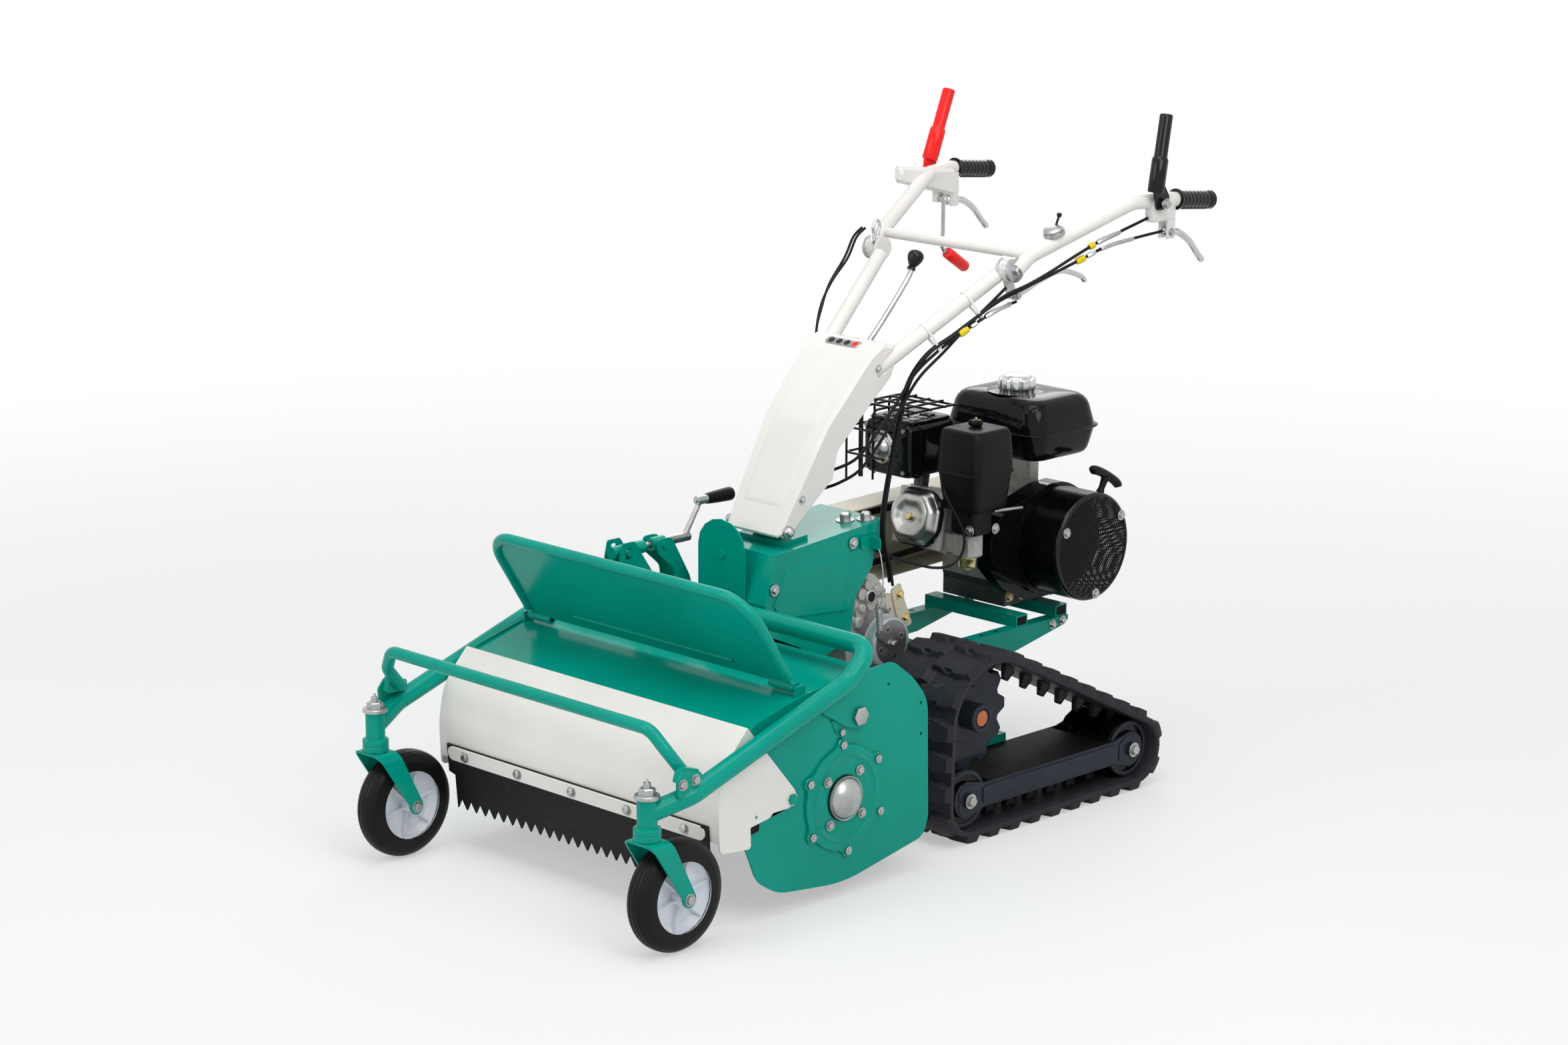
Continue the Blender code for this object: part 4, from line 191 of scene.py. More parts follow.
def paint(name, colour, deep, gloss=0.2, dust=0.12, coat_share=0.12):
    """Gloss paint: two near shades, orange peel in the bump, dust that dulls the coat."""
    coat = Finish(name)
    cloud = coat.noise(3.2, 4.0, 0.6)
    speck = coat.noise(140.0, 2.0, 0.6)
    shade = coat.blend(cloud.fade(0.35, 0.68), colour, deep)
    film = coat.noise(11.0, 6.0, 0.68)
    grime = (film.fade(0.52, 0.78) * dust) * (0.6 + speck * 0.5)
    shade = coat.blend(grime * 0.2, shade, rgb(150, 148, 138))
    ripple = coat.bump(coat.noise(420.0, 1.0, 0.4), PEEL, strength=0.55)
    return coat.surface(Base_Color=shade, Roughness=grime * 0.35 + gloss,
                        Coat_Weight=(1.0 - grime) * coat_share, Coat_Roughness=0.045,
                        Specular_IOR_Level=0.08, Normal=ripple)


def metal(name, colour, worn, rough, grain=700.0, depth=0.00002):
    """Bare or plated metal: a clouded tint, fine grain, and a roughness that follows it."""
    plate = Finish(name)
    cloud = plate.noise(26.0, 4.0, 0.6)
    fine = plate.noise(grain, 2.0, 0.6)
    tint = plate.blend(cloud.fade(0.3, 0.75), colour, worn)
    return plate.surface(Base_Color=tint, Metallic=1.0,
                         Roughness=cloud * 0.14 + fine * 0.1 + rough,
                         Normal=plate.bump(fine, depth))


def plastic(name, colour, pale, rough, grain=900.0, depth=0.00004, coat=0.0):
    """Moulded plastic or rubber: even colour with pale handling marks and a fine grain."""
    part = Finish(name)
    marks = part.noise(17.0, 6.0, 0.7).fade(0.5, 0.8)
    fine = part.noise(grain, 2.0, 0.65)
    tint = part.blend(marks * 0.5, colour, pale)
    return part.surface(Base_Color=tint, Roughness=marks * 0.16 + rough + fine * 0.06,
                        Specular_IOR_Level=0.13, Coat_Weight=coat * 0.4, Coat_Roughness=0.12,
                        Normal=part.bump(fine, depth))


def casting(name, colour, deep, rough, metallic):
    """Sand or die cast alloy: grain you can see, darker where oil and dust stay."""
    cast = Finish(name)
    grain = cast.noise(330.0, 4.0, 0.62)
    stain = cast.noise(14.0, 5.0, 0.7).fade(0.45, 0.75)
    tint = cast.blend(stain, colour, deep)
    return cast.surface(Base_Color=tint, Metallic=metallic, Roughness=stain * 0.18 + rough,
                        Normal=cast.bump(grain, 0.00016, strength=0.8))

# %% The machine's finishes
TEAL = paint("teal_paint", rgb(0, 156, 138), rgb(0, 146, 128), dust=0.05)
WHITE = paint("white_paint", rgb(238, 235, 230), rgb(231, 228, 222))
CREAM = paint("cream_paint", rgb(214, 208, 186), rgb(200, 195, 172), 0.3)
NAVY = paint("blue_black_paint", rgb(46, 50, 60), rgb(36, 40, 49), 0.2, dust=0.25)
ENAMEL = paint("black_enamel", rgb(14, 14, 15), rgb(8, 8, 9), 0.12, dust=0.06, coat_share=0.2)
ZINC = metal("zinc_plate", rgb(184, 186, 187), rgb(160, 160, 156), 0.22)
CHROME = metal("bright_chrome", rgb(206, 208, 210), rgb(190, 192, 194), 0.06, depth=0.000008)
STEEL = metal("ground_steel", rgb(150, 150, 150), rgb(112, 110, 108), 0.34)
COPPER = metal("copper_plug", rgb(196, 120, 84), rgb(160, 92, 66), 0.28)
BRASS = metal("gold_passivate", rgb(206, 192, 144), rgb(190, 172, 122), 0.24)
ALLOY = casting("grey_casting", rgb(186, 184, 180), rgb(132, 129, 125), 0.42, 0.3)
IRON = casting("dark_casting", rgb(74, 76, 80), rgb(46, 47, 50), 0.42, 0.55)
RUBBER = plastic("black_rubber", rgb(17, 17, 18), rgb(30, 30, 31), 0.36, 620.0, 0.00005, 0.15)
BELT_RUBBER = plastic("crawler_rubber", rgb(44, 44, 48), rgb(68, 68, 71), 0.46, 480.0, 0.0001)
FLAP_RUBBER = plastic("flap_rubber", rgb(30, 30, 31), rgb(58, 58, 57), 0.5, 240.0, 0.00012)
HUB_WHITE = plastic("hub_plastic", rgb(222, 226, 232), rgb(206, 210, 218), 0.34, 500.0,
                    0.00003, 0.3)
SATIN = plastic("satin_black_plastic", rgb(17, 17, 18), rgb(30, 30, 31), 0.4, 1100.0, 0.00005)
GLOSS_BLACK = plastic("gloss_black_plastic", rgb(8, 8, 9), rgb(20, 20, 21), 0.18, 500.0,
                      0.00001, 0.8)
RED = plastic("red_plastic", rgb(244, 34, 32), rgb(250, 56, 52), 0.24, 500.0, 0.00002, 0.6)
# a near-black finish for small black parts, and for painted shade: dark fills put in holes, vents
# and open ends, and on the track frame inside the belt loop
DARK_AND_SHADE = plastic("black_parts_and_painted_shade", rgb(14, 14, 15), rgb(26, 26, 26), 0.6)
PRESSED = metal("pressed_steel", rgb(178, 178, 176), rgb(150, 149, 147), 0.2, 300.0)
DULL_ZINC = casting("dull_zinc", rgb(176, 184, 188), rgb(140, 148, 152), 0.34, 0.35)
YELLOW = plastic("yellow_boot", rgb(226, 202, 40), rgb(200, 176, 40), 0.36)
TIE_WHITE = plastic("tie_plastic", rgb(232, 232, 228), rgb(214, 214, 208), 0.34)
SLOTS = {"green_paint": [TEAL], "white_paint": [WHITE, CREAM], "track_metal": [NAVY],
         "engine_black": [ENAMEL], "rotor_steel": [STEEL], "gear_case": [ALLOY, IRON],
         "zinc": [ZINC, CHROME, COPPER, BRASS, PRESSED, DULL_ZINC], "flap_rubber": [FLAP_RUBBER],
         "black_rubber": [RUBBER, BELT_RUBBER], "hub_plastic": [HUB_WHITE, YELLOW, TIE_WHITE],
         "filter_plastic": [SATIN, DARK_AND_SHADE], "black_plastic": [GLOSS_BLACK], "red_plastic": [RED]}
SLOT_OF = {finish.name: slot for slot, finishes in SLOTS.items() for finish in finishes}
print(len(bpy.data.materials), "finishes")

# %% [markdown]
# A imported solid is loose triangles, so light shows every facet. A copy can be merged, its flat
# faces joined again, its corners rounded by half a millimetre and its curves shaded smooth. The
# copy then stands for the solid, and faces can be handed to other finishes by where they lie.


# %% Dressing a solid
SHIFT = 0.0055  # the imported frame's Y less the drawing's


def merged(node):
    """A closed copy of a CAD node's mesh, with its flat faces joined."""
    mesh = frame["nodes"][node].data.copy()
    bm = bmesh.new()
    bm.from_mesh(mesh)
    bmesh.ops.remove_doubles(bm, verts=bm.verts, dist=0.00002)
    bmesh.ops.dissolve_limit(bm, angle_limit=math.radians(0.6), verts=bm.verts, edges=bm.edges)
    bm.to_mesh(mesh)
    bm.free()
    return mesh


def centres(mesh):
    """The middle of each face, as an (n, 3) array."""
    spots = np.empty(len(mesh.polygons) * 3)
    mesh.polygons.foreach_get("center", spots)
    return spots.reshape(-1, 3)


def placed_piece(name, mesh, edge, angle):
    """An object for a mesh; edges sharper than an angle in degrees are rounded by a bevel."""
    mesh.shade_smooth()
    mesh.set_sharp_from_angle(angle=math.radians(angle))
    piece = bpy.data.objects.new(name, mesh)
    scene.collection.objects.link(piece)
    if edge:
        bevel = piece.modifiers.new("rounded_edges", "BEVEL")
        bevel.width = edge
        bevel.segments = 2
        bevel.limit_method = "ANGLE"
        bevel.angle_limit = math.radians(angle)
    return piece


def dress(node, finish, regions=(), edge=0.0006, angle=38, drop=None):
    """Stands a finished copy for a node, less the faces that drop picks by their centres.

    Each region is a second finish and a test that picks its faces in the same way.
    """
    mesh = merged(node)
    if drop:
        bm = bmesh.new()
        bm.from_mesh(mesh)
        bm.faces.ensure_lookup_table()
        gone = drop(*centres(mesh).T)
        bmesh.ops.delete(bm, geom=[bm.faces[k] for k in np.flatnonzero(gone)], context="FACES")
        bm.to_mesh(mesh)
        bm.free()
    mesh.materials.clear()
    mesh.materials.append(finish)
    where = centres(mesh)
    index = np.zeros(len(mesh.polygons), np.int32)
    for number, (other, test) in enumerate(regions, 1):
        mesh.materials.append(other)
        index[test(*where.T)] = number
    mesh.polygons.foreach_set("material_index", index)
    piece = placed_piece(node + "_finished", mesh, edge, angle)
    piece.modifiers.new("flat_faces_stay_flat", "WEIGHTED_NORMAL").keep_sharp = True
    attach(piece, BODY[node])
    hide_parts(node)


def near(x=None, y=None, z=None):
    """A test that is true inside the given (low, high) spans, in metres."""
    def test(px, py, pz):
        inside = np.ones(len(px), bool)
        for span, value in ((x, px), (y, py), (z, pz)):
            if span:
                inside &= (value > span[0]) & (value < span[1])
        return inside
    return test


# %% [markdown]
# The light is a plain studio: a broad soft lamp overhead, one to each side and a pale floor. The
# floor and the air behind it look white to the camera and in reflections, while the lamps stay
# low enough for the pale paint to keep its shape.


# %% Light and floor
def area_light(name, place, aim, size, power):
    """A round soft lamp at a place, turned to shine on another."""
    lamp = bpy.data.lights.new(name, "AREA")
    lamp.shape = "DISK"
    lamp.size = size
    lamp.energy = power
    thing = bpy.data.objects.new(name, lamp)
    thing.location = place
    thing.rotation_euler = (Vector(aim) - Vector(place)).to_track_quat("-Z", "Y").to_euler()
    scene.collection.objects.link(thing)


TOP_POWER, KEY_POWER, FRONT_POWER, REAR_POWER = 74, 62, 44, 34  # W
area_light("top_softbox", (0.6, -0.8, 4.2), (0, 0, 0.4), 3.4, TOP_POWER)
area_light("key_softbox", (3.6, -1.0, 3.2), (0, 0, 0.5), 2.6, KEY_POWER)
area_light("front_softbox", (-1.2, -4.2, 2.4), (0, -0.2, 0.4), 2.8, FRONT_POWER)
area_light("rear_softbox", (-2.4, 3.2, 2.8), (0, 0.2, 0.6), 2.4, REAR_POWER)
print(len(bpy.data.lights), "lamps")


# %% White surroundings
def seen_rays(tree):
    """1 for camera, glossy and transmitted rays, 0 for the rays that light the object."""
    path = tree.nodes.new("ShaderNodeLightPath")
    total = path.outputs["Is Camera Ray"]
    for name in ("Is Glossy Ray", "Is Transmission Ray"):
        most = tree.nodes.new("ShaderNodeMath")
        most.operation = "MAXIMUM"
        tree.links.new(total, most.inputs[0])
        tree.links.new(path.outputs[name], most.inputs[1])
        total = most.outputs[0]
    return total


def mix_in(tree, share, first, second, end):
    """Links a mix of two shaders, share 0 to 1, into an end socket."""
    pick = tree.nodes.new("ShaderNodeMixShader")
    tree.links.new(share, pick.inputs[0])
    tree.links.new(first, pick.inputs[1])
    tree.links.new(second, pick.inputs[2])
    tree.links.new(pick.outputs[0], end)


WHITE_GLOW = (1, 1, 1, 1)
world = bpy.data.worlds.new("studio")
world.use_nodes = True
scene.world = world
tree = world.node_tree
ambient = tree.nodes["Background"]
ambient.inputs[0].default_value = (0.95, 0.97, 1.0, 1)
ambient.inputs[1].default_value = 0.42
backdrop = tree.nodes.new("ShaderNodeBackground")
backdrop.inputs[0].default_value = WHITE_GLOW
mix_in(tree, seen_rays(tree), ambient.outputs[0], backdrop.outputs[0],
       tree.nodes["World Output"].inputs[0])

# %% Floor
FLOOR_REACH, FLOOR_Z = 60, -0.0005
floor_mesh = bpy.data.meshes.new("floor")
floor_mesh.from_pydata([(x * FLOOR_REACH, y * FLOOR_REACH, FLOOR_Z)
                        for x, y in ((-1, -1), (1, -1), (1, 1), (-1, 1))], [], [(0, 1, 2, 3)])
floor = bpy.data.objects.new("floor", floor_mesh)
scene.collection.objects.link(floor)
ground = bpy.data.materials.new("pale_floor")
ground.use_nodes = True
tree = ground.node_tree
matt = tree.nodes["Principled BSDF"]
matt.inputs["Base Color"].default_value = (0.82, 0.82, 0.82, 1)
matt.inputs["Roughness"].default_value = 0.9
glow = tree.nodes.new("ShaderNodeEmission")
glow.inputs[0].default_value = WHITE_GLOW
# the glow takes over as the floor runs out, so that floor and backdrop meet without a line
place = tree.nodes.new("ShaderNodeTexCoord")
far = tree.nodes.new("ShaderNodeVectorMath")
far.operation = "LENGTH"
rise = tree.nodes.new("ShaderNodeMapRange")
rise.interpolation_type = "SMOOTHSTEP"
for socket, value in (("From Min", 1.1), ("From Max", 4.5), ("To Min", 0.44), ("To Max", 1.0)):
    rise.inputs[socket].default_value = value
share = tree.nodes.new("ShaderNodeMath")
share.operation = "MULTIPLY"
tree.links.new(place.outputs["Object"], far.inputs[0])
tree.links.new(far.outputs["Value"], rise.inputs["Value"])
tree.links.new(rise.outputs[0], share.inputs[0])
tree.links.new(seen_rays(tree), share.inputs[1])
mix_in(tree, share.outputs[0], matt.outputs[0], glow.outputs[0],
       tree.nodes["Material Output"].inputs[0])
floor_mesh.materials.append(ground)
print("stage set")

# %% [markdown]
# Everything added from here is a surface worked out with numpy: a grid of points that is a function
# of two numbers, joined into faces. Four forms cover most of a machine. A profile turned round a
# line makes wheels, bolts and knobs; a circle carried along a path makes pipes, wires and cables;
# an outline pushed through a thickness makes plates; and one small shape copied to many places
# makes rows of bolts. Places are written from the drawing's zero, 5.5 mm behind the box's middle.


# %% Surfaces from formulas
MERGE = 0.000002  # points nearer than this are one
X_WAY, Y_WAY, Z_WAY = (1, 0, 0), (0, 1, 0), (0, 0, 1)


def skin(points, wrap_rows=False, wrap_columns=False):
    """Joins an (m, n, 3) grid into four-sided faces; a wrapped side meets the first again."""
    rows, columns = points.shape[:2]
    i, j = np.meshgrid(np.arange(rows if wrap_rows else rows - 1),
                       np.arange(columns if wrap_columns else columns - 1), indexing="ij")
    below, beside = (i + 1) % rows, (j + 1) % columns
    faces = np.stack([i * columns + j, below * columns + j, below * columns + beside,
                      i * columns + beside], -1)
    return points.reshape(-1, 3), [faces.reshape(-1, 4)]


def lathe(profile, steps=48):
    """Turns (radius, height) pairs round Z: x = r cos t, y = r sin t, z = h."""
    radius, height = np.array(profile, float).T
    turn = np.linspace(0, 2 * np.pi, steps, endpoint=False)
    points = np.empty((len(radius), steps, 3))
    points[..., 0] = radius[:, None] * np.cos(turn)
    points[..., 1] = radius[:, None] * np.sin(turn)
    points[..., 2] = height[:, None]
    return skin(points, wrap_columns=True)


def turned_to(direction):
    """A matrix whose third column is the direction, so that Z is carried onto it."""
    third = np.array(direction, float)
    third /= np.linalg.norm(third)
    helper = np.array((0.0, 0.0, 1.0)) if abs(third[2]) < 0.9 else np.array((0.0, 1.0, 0.0))
    first = np.cross(helper, third)
    first /= np.linalg.norm(first)
    return np.stack([first, np.cross(third, first), third], 1)


# %% Copies and mirror images
def repeated(every, groups):
    """Copies given as a (copy, point, 3) array: one list of points, the faces numbered to match."""
    step = (np.arange(len(every)) * every.shape[1])[:, None, None]
    return every.reshape(-1, 3), [(g[None] + step).reshape(-1, g.shape[1]) for g in groups]


def copies(shape, places, direction=Z_WAY):
    """The same small shape at each place, with its Z along the direction."""
    places = np.array(places, float).reshape(-1, 3)
    return repeated((shape[0] @ turned_to(direction).T)[None] + places[:, None], shape[1])


def joined(*shapes):
    """Several shapes as one: their points in one list, their face numbers moved up to match."""
    counts = np.cumsum([0] + [len(points) for points, _ in shapes])
    groups = [g + n for (_, own), n in zip(shapes, counts) for g in own]
    return np.concatenate([points for points, _ in shapes]), groups


def on_side(shape, sign):
    """The shape as drawn for the left side, sign 1, or its mirror image on the right, sign -1."""
    return shape[0] * (sign, 1, 1), shape[1]


def both_sides(shape):
    """The shape and its mirror image across the machine's middle plane."""
    return joined(shape, on_side(shape, -1))


# %% Smooth lines and pipes
def soft_step(value, low, high):
    """0 below low, 1 above high, and t^2 (3 - 2 t) between them."""
    t = np.clip((value - low) / (high - low), 0, 1)
    return t * t * (3 - 2 * t)


def eased(corners, radius, steps=8, closed=False):
    """Rounds corners with true arcs: each centre lies R / sin(half angle) inside its corner.

    An arc is made smaller where it would use more than 0.49 of a side, and left out where the
    two sides lie in line or back on each other, a half angle within 0.01 of 90 degrees or 0.
    """
    corners = np.array(corners, float)
    before, after = np.roll(corners, 1, 0), np.roll(corners, -1, 0)
    route = []
    for a, corner, b, r in zip(before, corners, after, np.broadcast_to(radius, len(corners))):
        a, b = a - corner, b - corner
        la, lb = np.linalg.norm(a), np.linalg.norm(b)
        a, b = a / la, b / lb
        half = np.arccos(np.clip(a @ b, -1, 1)) / 2
        if r <= 0 or not 0.01 < half < 1.56:
            route.append(corner[None])
            continue
        back = min(r / np.tan(half), la * 0.49, lb * 0.49)
        r = back * np.tan(half)
        centre = corner + (a + b) / np.linalg.norm(a + b) * r / np.sin(half)
        swing = np.pi - 2 * half
        t = np.linspace(0, 1, steps + 1)[:, None]
        arc = np.sin((1 - t) * swing) * (corner + a * back - centre)
        arc = arc + np.sin(t * swing) * (corner + b * back - centre)
        route.append(centre + arc / np.sin(swing))
    if not closed:
        route[0], route[-1] = corners[:1], corners[-1:]
    return np.concatenate(route)


def flowing(points, count=60):
    """A smooth curve through points: Catmull-Rom cubics, read at even steps of their numbers."""
    points = np.array(points, float)
    held = np.concatenate([2 * points[:1] - points[1:2], points, 2 * points[-1:] - points[-2:-1]])
    t = np.linspace(0, len(points) - 1, count)
    k = np.minimum(t.astype(int), len(points) - 2)
    t = (t - k)[:, None]
    p0, p1, p2, p3 = held[k], held[k + 1], held[k + 2], held[k + 3]
    return 0.5 * (2 * p1 + (p2 - p0) * t + (2 * p0 - 5 * p1 + 4 * p2 - p3) * t ** 2
                  + (3 * p1 - p0 - 3 * p2 + p3) * t ** 3)


def pipe(path, radius, sides=20, flat=1.0):
    """Carries a circle along a path, turning it as little as can be; flat squeezes it one way."""
    path = np.array(path, float)
    along = np.gradient(path, axis=0)
    along /= np.linalg.norm(along, axis=1)[:, None]
    first = np.array((1.0, 0, 0)) if abs(along[0, 0]) < 0.9 else np.array((0, 0, 1.0))
    across = np.empty_like(along)
    for step, direction in enumerate(along):
        first = first - direction * (first @ direction)
        first /= np.linalg.norm(first)
        across[step] = first
    other = np.cross(along, across)
    turn = np.linspace(0, 2 * np.pi, sides, endpoint=False)
    radius = np.broadcast_to(np.asarray(radius, float), (len(path),))[:, None, None]
    flat = np.broadcast_to(np.asarray(flat, float), (len(path),))[:, None, None]
    rings = path[:, None] + radius * (np.cos(turn)[None, :, None] * across[:, None]
                                      + flat * np.sin(turn)[None, :, None] * other[:, None])
    ends = [np.repeat(path[k][None], sides, 0)[None] for k in (0, -1)]
    return skin(np.concatenate([ends[0], rings, ends[1]]), wrap_columns=True)

# %% Plates and blocks
AXES = {"X": [0, 1, 2], "Y": [1, 0, 2], "Z": [1, 2, 0]}


def slab(outline, low, high, axis="X", holes=()):
    """A plate: an outline pushed from low to high along an axis, its caps filled by triangles."""
    loops = [np.array(loop, float) for loop in (outline, *holes)]
    flat = np.concatenate(loops)
    count = len(flat)
    caps = np.array(tessellate_polygon([[Vector((*p, 0)) for p in loop] for loop in loops]))
    starts = np.cumsum([0] + [len(loop) for loop in loops])
    walls = []
    for start, loop in zip(starts, loops):
        i = np.arange(len(loop)) + start
        j = np.roll(i, -1)
        walls.append(np.stack([i, j, j + count, i + count], 1))
    points = np.concatenate([np.column_stack([np.full(count, v), flat]) for v in (low, high)])
    return points[:, AXES[axis]], [caps, caps[:, ::-1] + count, *walls]


def ring(centre, radius, count=24):
    """A circle as a closed outline, for a round hole."""
    t = np.linspace(0, 2 * np.pi, count, endpoint=False)
    return np.column_stack([centre[0] + radius * np.cos(t), centre[1] + radius * np.sin(t)])


def wedge(size, taper=(1.0, 1.0)):
    """Six faces round the origin; the top is drawn in by the two taper shares."""
    sign = np.array([(-1, -1), (1, -1), (1, 1), (-1, 1)], float) / 2
    low = np.column_stack([sign * size[:2], np.full(4, -size[2] / 2)])
    high = np.column_stack([sign * size[:2] * taper, np.full(4, size[2] / 2)])
    faces = [(3, 2, 1, 0), (4, 5, 6, 7), (0, 1, 5, 4), (1, 2, 6, 5), (2, 3, 7, 6), (3, 0, 4, 7)]
    return np.concatenate([low, high]), [np.array(faces)]


def leaned(shape, angle, centre=(0, 0, 0)):
    """The shape turned about X by an angle in degrees, then set at a centre."""
    c, s = math.cos(math.radians(angle)), math.sin(math.radians(angle))
    return shape[0] @ np.array([X_WAY, (0, c, s), (0, -s, c)]) + centre, shape[1]


# %% Showing a piece
def show(name, shape, finish, body="chassis", angle=38, edge=0.0, stands_for=None,
         across=None):
    """Makes the mesh, merges its doubles, turns its faces out and sets it riding on a body.

    across = (body, body, start, end), when given, leaves it on no body, its place kept in its
    points; the bodies and ends in it are not used.
    """
    mesh = bpy.data.meshes.new(name)
    faces = [face for group in shape[1] for face in group.tolist()]
    mesh.from_pydata((shape[0] + (0, SHIFT, 0)).tolist(), [], faces)
    mesh.materials.append(finish)
    bm = bmesh.new()
    bm.from_mesh(mesh)
    bmesh.ops.remove_doubles(bm, verts=bm.verts, dist=MERGE)
    bmesh.ops.recalc_face_normals(bm, faces=bm.faces)
    bm.to_mesh(mesh)
    bm.free()
    piece = placed_piece(name, mesh, edge, angle)
    if across:
        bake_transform(piece)
    else:
        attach(piece, body)
    if stands_for:
        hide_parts(stands_for)
    return piece


# %% [markdown]
# A hexagon bolt is the most common thing on the machine. Its head is a profile turned in six
# steps, with the corners cut off by a chamfer, on a washer turned in many steps.


# %% Bolts
def bolt_shape(across, height=None, washer=1.0):
    """Head across its corners, chamfered top, a flat washer under it."""
    r = across / 2
    h = height or across * 0.36
    thick = 0.0012 if washer else 0.0
    sunk = thick - 0.0004
    head = lathe([(0, h + thick), (r * 0.8, h + thick), (r, h * 0.84 + thick), (r, sunk),
                  (0, sunk)], 6)
    if not washer:
        return head
    w = washer * across * 0.66
    disc = lathe([(0, thick), (w - 0.0002, thick), (w, thick - 0.0002), (w, -0.0003),
                  (0, -0.0003)], 28)
    return joined(head, disc)


def bolts(name, places, direction, across, body="chassis", finish=ZINC, height=None, washer=1.0):
    """One piece of equal bolts. The washer's width is given as a share of the usual one."""
    shape = copies(bolt_shape(across, height, washer), places, direction)
    return show(name, shape, finish, body, angle=30)


def bolt_pair(names, places, across, body="chassis", **options):
    """Bolts on the left side, pointing out, and their mirror image on the right."""
    for name, sign in zip(names, (1, -1)):
        bolts(name, np.array(places) * (sign, 1, 1), (sign, 0, 0), across, body, **options)


def around(centre, radius, count, first):
    """(y, z) places on a circle, the first at an angle in degrees."""
    t = np.radians(first + np.arange(count) * 360 / count)
    return np.column_stack([centre[0] + radius * np.cos(t), centre[1] + radius * np.sin(t)])


def at_x(x, pairs):
    """(x, y, z) places from (y, z) pairs that share one x."""
    pairs = np.array(pairs, float)
    return np.column_stack([np.full(len(pairs), x), pairs])


# %% [markdown]
# The deck's side plates are flat steel with wide, soft corners. The solid model's corners are
# coarse, so its side faces are dropped and two plates with fine arcs take their place.

# %% Deck sides
SIDES = (("left", 1), ("right", -1))
ROTOR, HOOP_PIVOT = (-0.287, 0.177), (-0.258, 0.3167)
COVER_PIVOT, HOOP_STOP = (-0.4125, 0.2023), (-0.2965, 0.2945)
SIDE_X = 0.35
side_line = eased([(-0.515, 0.132), (-0.49, 0.073), (-0.441, 0.042), (-0.2856, 0.024),
                   (-0.0835, 0.062), (-0.073, 0.097), (-0.078, 0.309), (-0.115, 0.353),
                   (-0.165, 0.3916), (-0.215, 0.39), (-0.3835, 0.376), (-0.508, 0.345),
                   (-0.545, 0.2)],
                  [0.05, 0.06, 0.1, 0.3, 0.04, 0.04, 0.07, 0.12, 0.035, 0.09, 0.3, 0.03,
                   0.06], 8, closed=True)
side_holes = [ring(ROTOR, 0.0455)] + [ring(p, 0.0032, 16) for p in
                                      ((-0.1763, 0.3535), (-0.0949, 0.304), (-0.0942, 0.2485))]
show("deck_sides_fine", both_sides(slab(side_line, 0.3462, SIDE_X, holes=side_holes)), TEAL,
     edge=0.0008)
show("deck_hole_shade", both_sides(slab(ring((-0.16, 0.29), 0.002), 0.343, 0.3435)), DARK_AND_SHADE)
bolt_pair(("hoop_pivot_bolts", "hoop_pivot_bolts_far"), at_x(0.359, [HOOP_PIVOT]), 0.0335,
          height=0.008, washer=0)
bolt_pair(["cover_pivot_bolt_" + word for word, _ in SIDES], at_x(0.3538, [COVER_PIVOT]), 0.02,
          finish=TEAL, height=0.0046, washer=0)
bolt_pair(["stop_bolt_" + word for word, _ in SIDES], at_x(0.356, [HOOP_STOP]), 0.0125,
          washer=0)
washer = lathe([(0.0062, 0), (0.0062, 0.0011), (0.0118, 0.0011), (0.012, 0.0009), (0.012, 0),
                (0.0062, 0)], 36)
stop = lathe([(0, 0.006), (0.0045, 0.006), (0.0045, 0), (0, 0)], 18)
tab = slab(eased([(-0.318, 0.318), (-0.3, 0.322), (-0.288, 0.3), (-0.294, 0.288),
                  (-0.306, 0.294)], 0.003, 4, True), SIDE_X, 0.3525)
for word, sign in SIDES:
    outward = (sign, 0, 0)
    show("cover_pivot_washer_" + word,
         copies(washer, [(0.35345 * sign, *COVER_PIVOT)], outward), WHITE, "front_guard")
    show("stop_tab_" + word, joined(copies(stop, [(SIDE_X * sign, *HOOP_STOP)], outward),
                                    on_side(tab, sign)), TEAL, edge=0.0004)
print("deck sides done")

# %% [markdown]
# The bearing cover is a pressed disc with six ears. It is one surface in polar form: the rim is
# R(t) = 92.5 mm plus a smooth bump at each ear, and the height over it is a function of the
# radius: a shallow dish, then a rolled bead, then a flat border. The dome is a turned cap.

# %% Bearing cover
EARS = 93.9  # where the first ear is, in degrees


def bearing_cover(rings=64, steps=288):
    """Height h(s) of a pressed disc whose rim R(t) has an ear at each outer bolt."""
    t = np.linspace(0, 2 * np.pi, steps, endpoint=False)
    off = (t[:, None] - np.radians(EARS + 60 * np.arange(6)) + np.pi) % (2 * np.pi) - np.pi
    rim = 0.0925 + 0.0135 * np.exp(-(np.abs(off).min(1) / 0.115) ** 2.4)
    s = np.linspace(0, 1, rings)
    r = 0.034 + s[:, None] * (rim[None] - 0.034)
    bead = 0.003 * np.exp(-((r - 0.0755) / 0.0032) ** 2)
    dish = 0.0035 - 0.0017 * soft_step(r, 0.082, 0.078)
    rise = 0.0038 + dish * 0.35 + bead - 0.0012 * soft_step(r, 0.07, 0.066)
    rise = np.where(s[:, None] > 0.985, 0.003, rise)
    grid = np.empty((rings + 1, steps, 3))
    grid[:rings, :, 0] = r * np.cos(t)
    grid[:rings, :, 1] = r * np.sin(t)
    grid[:rings, :, 2] = rise
    grid[rings] = grid[rings - 1]
    grid[rings, :, 2] = 0.0
    return skin(grid, wrap_columns=True)


def on_rotor(shape):
    """Sets a shape drawn over XY, Z up, against the left side face: its X is Y, its Y is Z."""
    points, groups = shape
    set_down = [0.3503 + points[:, 2], ROTOR[0] + points[:, 0], ROTOR[1] + points[:, 1]]
    return np.stack(set_down, 1), groups


